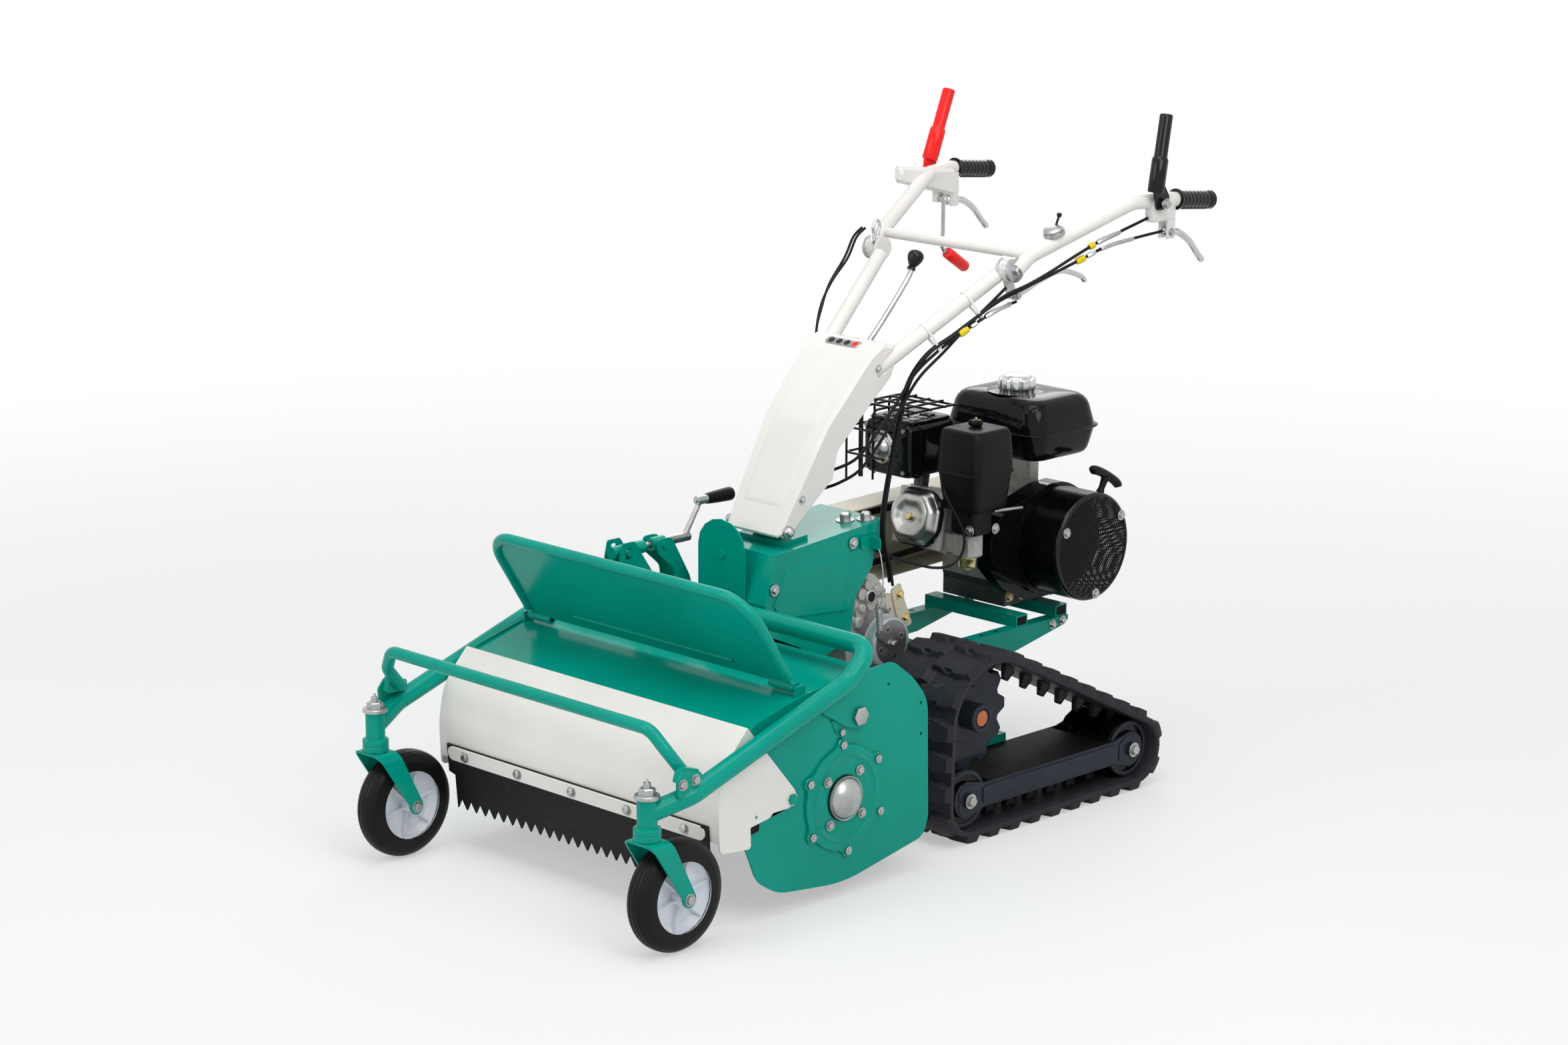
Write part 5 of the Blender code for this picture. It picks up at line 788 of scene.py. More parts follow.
show("bearing_cover_left", on_rotor(bearing_cover()), TEAL, angle=60,
     stands_for="hub_cover_left")
dome = [(0, 0.0268), (0.008, 0.0265), (0.0085, 0.0262), (0.018, 0.0242), (0.027, 0.02),
        (0.0335, 0.014), (0.036, 0.0085), (0.0366, 0.005)]
show("bearing_dome", on_rotor(lathe(dome, 72)), ZINC, angle=60)
seat_ring = [(0.035, 0.003), (0.035, 0.0066), (0.0395, 0.0062), (0.0402, 0.005),
             (0.0402, 0.003)]
show("bearing_seat", on_rotor(lathe(seat_ring, 72)), DARK_AND_SHADE)
lip = [(0.0362, 0.005), (0.0364, 0.0096), (0.0384, 0.01), (0.039, 0.0088), (0.039, 0.005)]
show("bearing_dome_lip", on_rotor(lathe(lip, 72)), ZINC)
bolts("bearing_bolts_outer", at_x(0.3541, around(ROTOR, 0.0946, 6, EARS)), X_WAY, 0.0155,
      height=0.0055)
bolts("bearing_bolt_tips", at_x(0.36, around(ROTOR, 0.0946, 6, EARS)), X_WAY, 0.008,
      height=0.0024, washer=0)
bolts("bearing_bolts_inner", at_x(0.3551, around(ROTOR, 0.0547, 4, 49.2)), X_WAY, 0.0135,
      height=0.0048, washer=1.05)
print("bearing cover done")

# %% [markdown]
# The front cover is one curved sheet with folded side wings. The curve is drawn through the same
# five places as the solid, read finely, and given its thickness by a second curve 3 mm inside.


# %% Front cover and flap
def sheet_line(path, thickness):
    """A closed outline: the path, then the same path moved sideways by the thickness, back."""
    path = np.array(path, float)
    along = np.gradient(path, axis=0)
    along /= np.linalg.norm(along, axis=1)[:, None]
    inner = path + np.column_stack([-along[:, 1], along[:, 0]]) * thickness
    return np.concatenate([path, inner[::-1]])


front_line = flowing([(-0.5161, 0.347), (-0.5648, 0.2917), (-0.5805, 0.2344), (-0.5815, 0.19),
                      (-0.579, 0.16)], 48)
front_sheet = slab(sheet_line(front_line, 0.003), -0.3533, 0.3533)
wing_line = eased([*front_line[:36:5], (-0.5815, 0.19), (-0.579, 0.144), (-0.508, 0.137),
                   (-0.509, 0.174), (-0.42, 0.188), (-0.397, 0.198), (-0.406, 0.218)],
                  [0] + [0.05] * 7 + [0.02, 0.01, 0.006, 0.002, 0.006, 0.0135, 0.0135], 8, True)
wing = slab(wing_line, 0.3504, 0.3534, holes=[ring(COVER_PIVOT, 0.0062, 20),
                                              ring((-0.495, 0.189), 0.0032, 14)])
show("front_cover_fine", joined(front_sheet, both_sides(wing)), WHITE, "front_guard", edge=0.0009,
     stands_for="front_cover", angle=30)
show("wing_stopper", both_sides(slab([(-0.5075, 0.162), (-0.49, 0.165), (-0.489, 0.176),
                                      (-0.507, 0.1735)], 0.3503, 0.3545)), DARK_AND_SHADE, "front_guard",
     edge=0.0008)
strip_line = eased([(-0.324, 0.0125), (-0.324, -0.0125), (0.324, -0.0125), (0.324, 0.0125)],
                   0.0122, 10, True)
flat_strip = slab(strip_line, -0.0021, 0.0021, "Y")
show("flap_strip_fine", leaned(flat_strip, 5.0, (0, -0.5859, 0.1735)), WHITE, "front_guard",
     edge=0.0006)
bolts("flap_bolts", [(0.1388 * k, -0.5881, 0.174) for k in (-2, -1, 0, 1, 2)], (0, -1, 0.087),
      0.015, "front_guard", height=0.0044)
print("front cover done")

# %% [markdown]
# Pipes are a circle carried along a route whose corners are true arcs. The hoop, its bumper, the
# guard lid's edge and the handles are all made this way, with so many sides that none shows.


# %% Hoop and bumper
def mirror_route(half):
    """A route from left to right, whose second half mirrors the first."""
    return half + [(-x, y, z) for x, y, z in half[::-1]]


hoop_line = eased(mirror_route([(0.344, -0.7335, 0.247), (0.373, -0.66, 0.27),
                                (0.373, -0.3, 0.388), (0.373, -0.245, 0.436)]), 0.062, 14)
bumper_line = eased(mirror_route([(0.3575, -0.664, 0.303), (0.356, -0.695, 0.34),
                                  (0.325, -0.71, 0.38)]), 0.03, 12)
show("hoop_pipe", joined(pipe(hoop_line, 0.01685, 32), pipe(bumper_line, 0.0108, 24)), TEAL, "hoop",
     angle=50, stands_for="hoop_frame")
post = [(0.0068, 0.2765), (0.016, 0.2765), (0.017, 0.2755), (0.017, 0.2265), (0.0195, 0.225),
        (0.0222, 0.2245), (0.023, 0.2235), (0.023, 0.2155), (0.0222, 0.2145), (0.0222, 0.2135),
        (0.023, 0.2125), (0.023, 0.204), (0.0222, 0.203), (0.0068, 0.203), (0.0068, 0.2765)]
show("hoop_posts", both_sides(copies(lathe(post, 48), [(0.344, -0.7335, 0)])), TEAL, "hoop")
gusset = eased([(-0.357, 0.346), (-0.294, 0.306), (-0.252, 0.29), (-0.236, 0.3),
                (-0.23, 0.34), (-0.232, 0.424), (-0.29, 0.4)],
               [0.01, 0.05, 0.03, 0.02, 0.05, 0.01, 0.01], 8, True)
show("hoop_gussets", both_sides(slab(gusset, 0.3535, 0.358, holes=[ring(HOOP_PIVOT, 0.0116)])),
     TEAL, "hoop", edge=0.0006)
lug = eased([(-0.698, 0.27), (-0.65, 0.276), (-0.644, 0.306), (-0.685, 0.317),
             (-0.699, 0.3)], 0.007, 6, True)
saddle = eased([(-0.694, 0.294), (-0.648, 0.291), (-0.648, 0.311), (-0.684, 0.322)], 0.004, 5,
               True)
show("bumper_lugs", both_sides(joined(slab(lug, 0.3745, 0.3795), slab(saddle, 0.36, 0.376))),
     TEAL, "hoop", edge=0.001)
bolt_pair(("bumper_bolts_left", "bumper_bolts_right"),
          at_x(0.3795, [(-0.688, 0.293), (-0.66, 0.296)]), 0.015, "hoop", height=0.0052)
ear_line = eased([(-0.262, 0.436), (-0.238, 0.446), (-0.3, 0.536), (-0.329, 0.536),
                  (-0.336, 0.505)], 0.005, 5, True)
ear_slot = eased([(-0.3215, 0.5055), (-0.3085, 0.5055), (-0.3085, 0.5285), (-0.3215, 0.5285)],
                 0.004, 5, True)
JACK_X = -0.17
ears = [slab(ear_line, JACK_X + x, JACK_X + 0.003 + x, holes=[ear_slot]) for x in (-0.0205, 0.0175)]
show("jack_ears", joined(*ears), TEAL, "hoop", edge=0.0005)
print("hoop done")

# %% [markdown]
# The guard lid is a flat panel with a round pipe bent along its three free edges, hinged on two
# rolled barrels. The panel is drawn flat and leaned back about the hinge, so that its edge lies
# in the middle of the pipe. A pressed fold near the hinge keeps the real sheet from bending.

# %% Guard lid
HINGE = (0, -0.383, 0.385)
LID_HALF, LID_BACK, LID_RISE = 0.323, 0.107, 0.167
lid_top = (HINGE[1] - LID_BACK, HINGE[2] + LID_RISE)
lid_low = (HINGE[1] - LID_BACK * 0.1, HINGE[2] + LID_RISE * 0.1)
lid_route = eased(mirror_route([(LID_HALF, *lid_low), (LID_HALF, *lid_top)]), 0.06, 18)
lid_tilt = math.degrees(math.atan2(LID_RISE, -LID_BACK))
lid_long = math.hypot(LID_BACK, LID_RISE)
panel_line = eased([(-LID_HALF, 0.005), (LID_HALF, 0.005), (LID_HALF, lid_long),
                    (-LID_HALF, lid_long)], [0.001, 0.001, 0.06, 0.06], 16, True)
panel = leaned(slab(panel_line, -0.0013, 0.0013, "Z"), lid_tilt, HINGE)
fold = leaned(pipe([(-0.2, 0.03, 0.0018), (0.2, 0.03, 0.0018)], 0.003, 16), lid_tilt, HINGE)
barrel = [(0.0042, 0.0), (0.0085, 0.0), (0.0085, 0.058), (0.0042, 0.058)]
barrels = both_sides(copies(lathe(barrel, 32), [(0.275, *HINGE[1:])], X_WAY))
show("guard_lid_fine", joined(pipe(lid_route, 0.0095, 28), panel, fold, barrels), TEAL, "lid",
     edge=0.0004, stands_for="guard_lid", angle=50)
print("lid done, tilted", round(lid_tilt, 1), "degrees")

# %% [markdown]
# The caster tyre is a narrow ribbed one. Its section is a super-ellipse, |x|^2.6 + |y|^2.6 = 1,
# with four grooves pressed in round the tread. The plastic hub has six ribs on each face. The
# fork is one strap bent over the wheel, so its width is read from the leg's own outline.

# %% Casters
AXLE = np.array((0.344, -0.6735, 0.0955))
POST_Y = -0.7335


def tyre_section(count=96):
    """(radius, x) round the section: the exponent 0.77 is 2 / 2.6, the grooves are bell curves."""
    t = np.linspace(-0.03 * np.pi, 1.03 * np.pi, count)
    x = 0.024 * np.sign(np.cos(t)) * np.abs(np.cos(t)) ** 0.77
    r = 0.0655 + 0.03 * np.sign(np.sin(t)) * np.abs(np.sin(t)) ** 0.77
    tread = np.exp(-((x[:, None] - np.array([-0.0135, -0.0048, 0.0048, 0.0135])) / 0.001) ** 2)
    r = r - 0.0013 * tread.sum(1) * (r > 0.083)
    wall = np.exp(-((r - 0.0715) / 0.0007) ** 2) * 0.0007
    return np.column_stack([r, x - np.sign(x) * wall])


def hub_ribs():
    """Six thin webs between boss and rim on a turned dish, set round the axle."""
    t = np.radians(60 * np.arange(6) + 15)
    rib, groups = wedge((0.046, 0.0034, 0.034), (1.0, 0.7))
    rib = rib + (0.037, 0, 0)
    spin = np.stack([np.stack([np.cos(t), -np.sin(t)], -1),
                     np.stack([np.sin(t), np.cos(t)], -1)], 1)
    flat = np.einsum("kij,nj->kni", spin, rib[:, :2])
    tall = np.broadcast_to(rib[None, :, 2:], (len(t), len(rib), 1))
    return repeated(np.concatenate([flat, tall], -1), groups)


# %% Fork strap
def fork_strap(count=120, columns=12, thick=0.004):
    """A strap bent in the XZ plane; at each height its width runs between the leg's two edges.

    Its rows lie closer together at the two ends of the route, where the leg's edges curve most.
    """
    half, top, low = 0.0365, 0.2027, AXLE[2] - 0.014
    path = eased([(-half, low), (-half, top), (half, top), (half, low)], 0.016, 16)
    far = np.concatenate([[0], np.cumsum(np.linalg.norm(np.diff(path, axis=0), axis=1))])
    u = np.linspace(0, 1, count)
    u = 0.5 - 0.5 * np.cos(np.pi * u)
    x, z = (np.interp(u * far[-1], far, path[:, k]) for k in (0, 1))
    nx, nz = np.gradient(z), -np.gradient(x)
    length = np.hypot(nx, nz)
    heights = np.array([0.0815, 0.0823, 0.0845, 0.0885, 0.093, 0.1, 0.2027])
    front = np.array([-0.6735, -0.6782, -0.6822, -0.6858, -0.6875, -0.6888, -0.756])
    rear = np.array([-0.6735, -0.669, -0.665, -0.6612, -0.6597, -0.6595, -0.711])
    share = np.linspace(0, 1, columns)
    y = (np.interp(z, heights, front)[:, None] * (1 - share)
         + np.interp(z, heights, rear)[:, None] * share)
    outer = np.empty((count, columns, 3))
    outer[..., 0], outer[..., 1], outer[..., 2] = x[:, None], y, z[:, None]
    inner = outer + np.stack([nx / length, np.zeros(count), nz / length], 1)[:, None] * thick
    return skin(np.concatenate([outer, inner[:, ::-1]], 1), wrap_columns=True)


# %% Both casters
for word, sign in SIDES:
    axle = AXLE * (sign, 1, 1)
    wheel, fork = "wheel_" + word[0], "fork_" + word[0]
    show("tyre_ribbed_" + word, copies(lathe(tyre_section(), 128), axle, X_WAY), RUBBER, wheel,
         angle=60, stands_for="tyre_" + word)
    show("hub_ribs_" + word, copies(hub_ribs(), axle, X_WAY), HUB_WHITE, wheel, edge=0.0008)
    rims = [copies(lathe([(0.0632, s * 0.019), (0.0632, s * 0.0222), (0.065, s * 0.0232),
                          (0.0668, s * 0.0214), (0.0668, s * 0.019), (0.0632, s * 0.019)], 72),
                   axle, X_WAY) for s in (1, -1)]
    show("hub_rim_" + word, joined(*rims), HUB_WHITE, wheel)
    x, y = axle[0], POST_Y
    strap = fork_strap()
    show("fork_strap_" + word, (strap[0] + (x, 0, 0), strap[1]), TEAL, fork, edge=0.0006,
         stands_for="fork_" + word)
    stem = copies(lathe([(0, 0.3), (0.006, 0.3), (0.0065, 0.2995), (0.0065, 0.199),
                         (0, 0.199)], 28), [(x, y, 0)])
    pin = copies(lathe([(0, -0.043), (0.0055, -0.043), (0.0055, 0.043), (0, 0.043)], 24), axle,
                 X_WAY)
    nipple = copies(lathe([(0, 0.0068), (0.0013, 0.0066), (0.0021, 0.0054), (0.0021, 0.0044),
                           (0.0014, 0.0034), (0.003, 0.0018), (0.003, 0), (0, 0)], 20),
                    [(x, y, 0.2995)])
    cap = copies(lathe([(0.015, 0.001), (0.0205, 0.001), (0.0214, 0.0), (0.0216, -0.003),
                        (0.0216, -0.0052), (0.0205, -0.0056), (0.0176, -0.0056), (0.0176, -0.001),
                        (0.015, -0.001), (0.015, 0.001)], 48), [(x, y, 0.2788)])
    show("fork_hardware_" + word, joined(stem, pin, nipple, cap), ZINC, fork)
    bolts("fork_top_nut_" + word, [(x, y, 0.279)], Z_WAY, 0.029, fork, height=0.011)
    for s, face in ((1, "_outer"), (-1, "_inner")):
        bolts("fork_bolt_" + word + face, [axle + (s * 0.0365, 0, 0)], (s, 0, 0), 0.0165, fork,
              height=0.0052)
print("casters done")

# %% [markdown]
# The crawler belt is one loop round a sprocket and two rollers. A convex loop is easiest to walk
# by the angle of its outward normal: at each angle the circle that reaches furthest that way gives
# the point. The cleats are a height field over the loop, two staggered rows of blocks with soft
# shoulders, and the guide horns inside are small tapered blocks in pairs.

# %% Crawler belts
TRACK_X, BELT_HALF = 0.225, 0.09
FRONT_AXLE, REAR_AXLE, SPROCKET = (0.0865, 0.0755), (0.5355, 0.0755), (0.1445, 0.2107)
LOOP = np.array([(*FRONT_AXLE, 0.0545), (*REAR_AXLE, 0.0545), (*SPROCKET, 0.1085)])
PITCHES = 26


def belt_loop(count):
    """Points, normals and shares of the length, evenly spaced round the loop, and its length."""
    angle = np.radians(np.linspace(-89.999, 270, 4000))
    out = np.column_stack([np.cos(angle), np.sin(angle)])
    best = LOOP[(LOOP[:, :2] @ out.T + LOOP[:, 2:]).argmax(0)]
    start = [LOOP[0, 0], LOOP[0, 1] - LOOP[0, 2]]
    edge = np.concatenate([[start], best[:, :2] + best[:, 2:] * out])
    angle = np.concatenate([[np.radians(-90)], angle])
    far = np.concatenate([[0], np.cumsum(np.linalg.norm(np.diff(edge, axis=0), axis=1))])
    s = np.linspace(0, far[-1], count, endpoint=False)
    y, z, a = (np.interp(s, far, v) for v in (edge[:, 0], edge[:, 1], angle))
    normals = np.column_stack([np.cos(a), np.sin(a)])
    return np.column_stack([y, z]), normals, s / far[-1], far[-1]


# %% Cleats and horns
def cleats(share, x):
    """Height of the cleats, 0 to 1, at a share of the loop and x across the belt, -1 to 1.

    Each side has one block a pitch, half a pitch apart from the other side's, with a notch cut
    into both of its flanks.
    """
    total = np.zeros(np.broadcast(share, x).shape)
    for side, offset in ((1, 0.0), (-1, 0.5)):
        phase = (share * PITCHES + offset + 0.5) % 1 - 0.5
        where = x * side
        reach = 0.225 + 0.095 * soft_step(where, 0.1, 0.45) - 0.08 * soft_step(where, 0.7, 0.95)
        along = 1 - soft_step(np.abs(phase), reach - 0.035, reach + 0.045)
        across = soft_step(where, -0.1, 0.02) * (1 - soft_step(where, 0.975, 1.0))
        notch = soft_step(0.13 - np.abs(where - 0.42), 0.0, 0.08) * (np.abs(phase) > 0.19)
        total = np.maximum(total, along * across * (1 - 0.6 * notch))
    return total


def belt_surface(centre_x, count=832, columns=56):
    """Outer face with cleats, then the inner face, as one closed ring of grid rows.

    comb is the fine ribbing along both edges, between the blocks.
    """
    spots, normals, share, _ = belt_loop(count)
    x = np.linspace(-1, 1, columns)
    rise = 0.009 + 0.012 * cleats(share[:, None], x[None])
    comb = 0.0006 * (np.sin(share[:, None] * PITCHES * 2 * np.pi * 9) > 0.2)
    rise = rise + comb * (np.abs(x)[None] > 0.93) * (rise < 0.02)
    outer = np.empty((count, columns, 3))
    outer[..., 0] = centre_x + x * BELT_HALF
    outer[..., 1:] = spots[:, None] + normals[:, None] * rise[..., None]
    inner_x = np.array([BELT_HALF, 0.0885, 0.05, 0.0, -0.05, -0.0885, -BELT_HALF])
    lift = np.array([0.0015, 0.0, 0.0, 0.0, 0.0, 0.0, 0.0015])
    inner = np.empty((count, len(lift), 3))
    inner[..., 0] = centre_x + inner_x
    inner[..., 1:] = spots[:, None] + normals[:, None] * lift[None, :, None]
    return skin(np.concatenate([outer, inner], 1), wrap_rows=True, wrap_columns=True)


def guide_horns(centre_x):
    """A pair of tapered horns at every pitch, pointing into the loop."""
    spots, normals, _, _ = belt_loop(PITCHES)
    horn, groups = wedge((0.014, 0.026, 0.021), (0.62, 0.46))
    zero = np.zeros(PITCHES)
    frames = np.stack([np.column_stack([zero + 1, zero, zero]),
                       np.column_stack([zero, -normals[:, 1], normals[:, 0]]),
                       np.column_stack([zero, -normals[:, 0], -normals[:, 1]])], 2)
    placed = np.einsum("kij,nj->kni", frames, horn)
    placed[..., 1:] += (spots - normals * 0.01)[:, None]
    pairs = [placed + (centre_x + x, 0, 0) for x in (-0.022, 0.022)]
    return repeated(np.concatenate(pairs), groups)


for word, sign in SIDES:
    centre_x = TRACK_X * sign
    show("crawler_belt_" + word, belt_surface(centre_x), BELT_RUBBER, angle=46,
         stands_for="track_" + word)
    show("belt_horns_" + word, guide_horns(centre_x), BELT_RUBBER, edge=0.0014)
for name, spot in (("front", FRONT_AXLE), ("rear", REAR_AXLE)):
    bolt_pair([name + "_roller_bolt_" + word for word, _ in SIDES],
              [(TRACK_X + 0.081, *spot)], 0.019, height=0.007, washer=1.1)
print("belt length", round(belt_loop(10)[3], 4), "m,", PITCHES, "pitches")

# %% [markdown]
# Handle tubes, levers and small rods are pipes too. A flat lever is a pipe squeezed one way.

# %% Handles
TUBE_FOOT, TUBE_TOP = np.array((0.052, 0.02, 0.785)), np.array((0.146, 0.315, 0.975))
TUBE_R = 0.0137
CLAMP = (0.325, 0.985)
GRIP_FROM, GRIP_TO = np.array((0.272, 0.6365, 1.09)), np.array((0.272, 0.7565, 1.077))
upper = eased([(0.1805, *CLAMP), (0.183, 0.356, 1.007), (0.25, 0.557, 1.09), GRIP_FROM,
               (0.272, 0.7481, 1.0779)], [0, 0.03, 0.06, 0.02, 0], 10)
show("lower_tubes_fine", both_sides(pipe([TUBE_FOOT, TUBE_TOP], TUBE_R, 28)), WHITE)
show("upper_tubes_fine", both_sides(pipe(upper, TUBE_R, 28)), WHITE, "handle", angle=50)
show("cross_bar_fine", pipe([(-0.18, 0.358, 1.008), (0.18, 0.358, 1.008)], 0.0092, 24), WHITE,
     "handle")
disc = [(0, 0.0), (0.0205, 0.0), (0.0215, 0.0006), (0.0215, 0.006), (0.0225, 0.0068),
        (0.0225, 0.014), (0.0205, 0.015), (0, 0.015)]
show("clamp_discs_upper", both_sides(copies(lathe(disc, 40), [(0.1655, *CLAMP)], X_WAY)),
     ZINC, "handle")
show("clamp_discs_lower", both_sides(copies(lathe(disc, 40), [(0.1645, *CLAMP)], (-1, 0, 0))),
     CHROME)
bolt_pair(("clamp_nut_left", "clamp_nut_right"), [(0.1802, *CLAMP)], 0.02, "handle",
          height=0.008)
eye_path = eased([(-0.168, 0.322, 1.004), (-0.168, 0.318, 1.022), (-0.168, 0.33, 1.04),
                  (-0.168, 0.338, 1.024), (-0.168, 0.33, 1.006)], 0.008, 8)
show("clamp_eye", pipe(eye_path, 0.003, 14), CHROME, angle=60)
show("clamp_barrel", copies(lathe([(0, 0), (0.0105, 0), (0.0115, 0.001), (0.0115, 0.026),
                                   (0.0105, 0.027), (0, 0.027)], 28), [(-0.168, 0.3155, 0.98)],
                            (0, 0.25, 0.97)), CHROME)
print("handle tubes done, radius", TUBE_R)

# %% [markdown]
# Grips are moulded: a profile turned round the tube's line, whose radius swells and falls along
# it. The two main levers are flat blades that end in such a grip, thick below and slim above.
# The red one leans further back than the black one, as they were left for the photograph.

# %% Grips and lever grips
GRIP_LONG = 0.1055


def rounded_end(radius, height, wide, tall, count):
    """The last quarter turn of a grip: an ellipse from its full radius to its flat end."""
    end = np.linspace(0, np.pi / 2, count)
    return np.column_stack([radius + wide * np.cos(end), height + tall * np.sin(end)])


def grip_profile(length):
    """A moulded grip: a collar, a body with ten shallow ridges and a wider, round end."""
    h = np.linspace(0.0055, length - 0.0055, 120)
    ridges = 0.0156 + 0.0006 * np.sin(h / length * 2 * np.pi * 5) ** 2
    r = ridges + 0.0015 / (1 + np.exp((length - 0.015 - h) / 0.0012))
    collar = [(0.0139, 0.0), (0.019, 0.0), (0.0195, 0.0006), (0.0195, 0.0044), (0.0188, 0.005)]
    return np.concatenate([collar, np.column_stack([r, h]),
                           rounded_end(0.0118, length - 0.0055, 0.0053, 0.0055, 8), [(0, length)]])


direction = (GRIP_TO - GRIP_FROM) / np.linalg.norm(GRIP_TO - GRIP_FROM)
start = GRIP_TO - direction * GRIP_LONG
grip = copies(lathe(grip_profile(GRIP_LONG), 40), [start], direction)
rib_places = [start + direction * 0.055 + (x, 0, -0.0158 + abs(x) * 0.22)
              for x in (-0.005, 0, 0.005)]
ribs = copies(wedge((0.0026, 0.005, 0.072), (0.8, 0.9)), rib_places, direction)
for word, sign in SIDES:
    show("grip_fine_" + word, on_side(grip, sign), GLOSS_BLACK, "handle", angle=60,
         stands_for="grip_" + word)
    show("grip_ribs_" + word, on_side(ribs, sign), GLOSS_BLACK, "handle", edge=0.0008)


# %% Lever grips
def sleeve(length, thick, thin):
    """A moulded lever grip: a wide lower half, a step, a slimmer upper half with a round end."""
    body = [(0, 0), (thick - 0.0015, 0), (thick, 0.002), (thick, length * 0.42),
            (thick - 0.0006, length * 0.43), (thin + 0.0003, length * 0.455), (thin, length * 0.47)]
    return np.concatenate([body, rounded_end(thin - 0.004, length - 0.004, 0.004, 0.004, 7),
                           [(0, length)]])


PIVOT = np.array((0.286, 0.598, 1.088))
for word, sign, tip, finish, body, down, back in (
        ("black", 1, (0.28, 0.6115, 1.2484), GLOSS_BLACK, "clutch_lever_l", 0.02, 0.0),
        ("red", -1, (0.28, 0.6445, 1.24), RED, "clutch_lever_r", 0.007, 0.015)):
    tip, foot = np.array(tip), PIVOT
    first = foot + (tip - foot) * 0.13 - (0, down, 0)
    length = np.linalg.norm(tip - first)
    shape = copies(lathe(sleeve(length, 0.0152, 0.0122), 36), [first * (sign, 1, 1)],
                   (tip - first) / length * (sign, 1, 1))
    show(word + "_lever_grip", shape, finish, body, angle=50)
    blade = slab(eased([(0.584, 1.076), (0.612, 1.078), (0.615, 1.1), (0.598 + back, 1.126),
                        (0.572 + back, 1.126), (0.576 + back / 2, 1.104)], 0.006, 6, True),
                 0.2835, 0.289)
    show(word + "_lever_blade", on_side(blade, sign), finish, body, edge=0.001,
         stands_for=word + "_lever")
    bolts(word + "_lever_bolt", [(sign * 0.2962, *PIVOT[1:])], (sign, 0, 0), 0.015, "handle",
          height=0.005)
print("grips done")

# %% [markdown]
# The steering levers, the lock lever and the hanging lever are forged or bent rods with a bright
# finish. A blade that widens and thins along its route is a pipe whose radius and flatness change.

# %% Small levers
STEER_HUB, LOCK_HUB = (0.6375, 1.03), (0.345, 0.935)
ROUNDED_TIP = (0.97, 0.85, 0.62, 0.2)
t = np.linspace(0, 1, 72)
steer = flowing(at_x(0.2663, [(0.629, 1.033), (0.645, 1.029), (0.67, 1.025),
                              (0.7, 1.008), (0.725, 0.982), (0.744, 0.963)]), len(t))
wide = 0.0074 - 0.002 * t + 0.001 * np.exp(-((t - 0.94) / 0.06) ** 2)
wide[:3] *= (0.3, 0.7, 0.9)
wide[-4:] *= ROUNDED_TIP
hub = copies(lathe([(0, 0), (0.0075, 0), (0.0085, 0.001), (0.0085, 0.0125), (0.0075, 0.0135),
                    (0, 0.0135)], 28), [(0.2596, *STEER_HUB)], X_WAY)
steering_lever = joined(pipe(steer, wide, 24), hub)
for word, sign in SIDES:
    show("steering_lever_fine_" + word, on_side(steering_lever, sign), CHROME, "steer_" + word[0],
         angle=60, stands_for="steering_lever_" + word)
bolt_pair(["steering_bolt_" + word for word, _ in SIDES], [(0.2772, *STEER_HUB)], 0.0115,
          "handle", height=0.0035)
print("steering levers done")

# %% Lock and shift levers
lock = flowing(at_x(0.1595, [(0.338, 0.932), (0.37, 0.94), (0.42, 0.956),
                             (0.47, 0.964), (0.52, 0.95), (0.54, 0.936)]), len(t))
wide = 0.0062 - 0.0012 * t
wide[-4:] *= ROUNDED_TIP
lock_eye = copies(lathe([(0, 0), (0.008, 0), (0.0085, 0.0006), (0.0085, 0.0095), (0.008, 0.01),
                         (0, 0.01)], 28), [(0.1546, *LOCK_HUB)], X_WAY)
show("lock_lever_fine", joined(pipe(lock, wide, 24, 0.95), lock_eye), CHROME, "lock", angle=60,
     stands_for="lock_lever")
bolts("lock_bolt", [(0.166, *LOCK_HUB)], X_WAY, 0.013, height=0.004)
stick = flowing([(0, 0.08, 0.805), (0, 0.115, 0.838), (0, 0.171, 0.891), (0, 0.233, 0.957),
                 (0, 0.248, 0.984)], 64)
stick_eye = copies(lathe([(0.0054, 0), (0.011, 0), (0.011, 0.026), (0.0054, 0.026),
                          (0.0054, 0)], 32), [(-0.013, 0.08, 0.805)], X_WAY)
show("shift_lever_fine", joined(pipe(stick, 0.0048, 20), stick_eye), ZINC, "shift", angle=60,
     stands_for="shift_lever")
u = np.linspace(0, 1, 40)
knob = np.column_stack([np.maximum(0.015 * np.sin(np.pi * u ** 0.62) ** 0.85, 0),
                        0.015 - 0.039 * u])
knob[-6:, 0] = np.maximum(knob[-6:, 0], 0.0078)
knob = np.concatenate([knob, [(0, -0.024)]])
show("shift_knob_fine", copies(lathe(knob, 40), [(0, 0.2535, 0.994)], (0, 0.48, 0.877)),
     GLOSS_BLACK, "shift", angle=60)
print("lock and shift levers done")

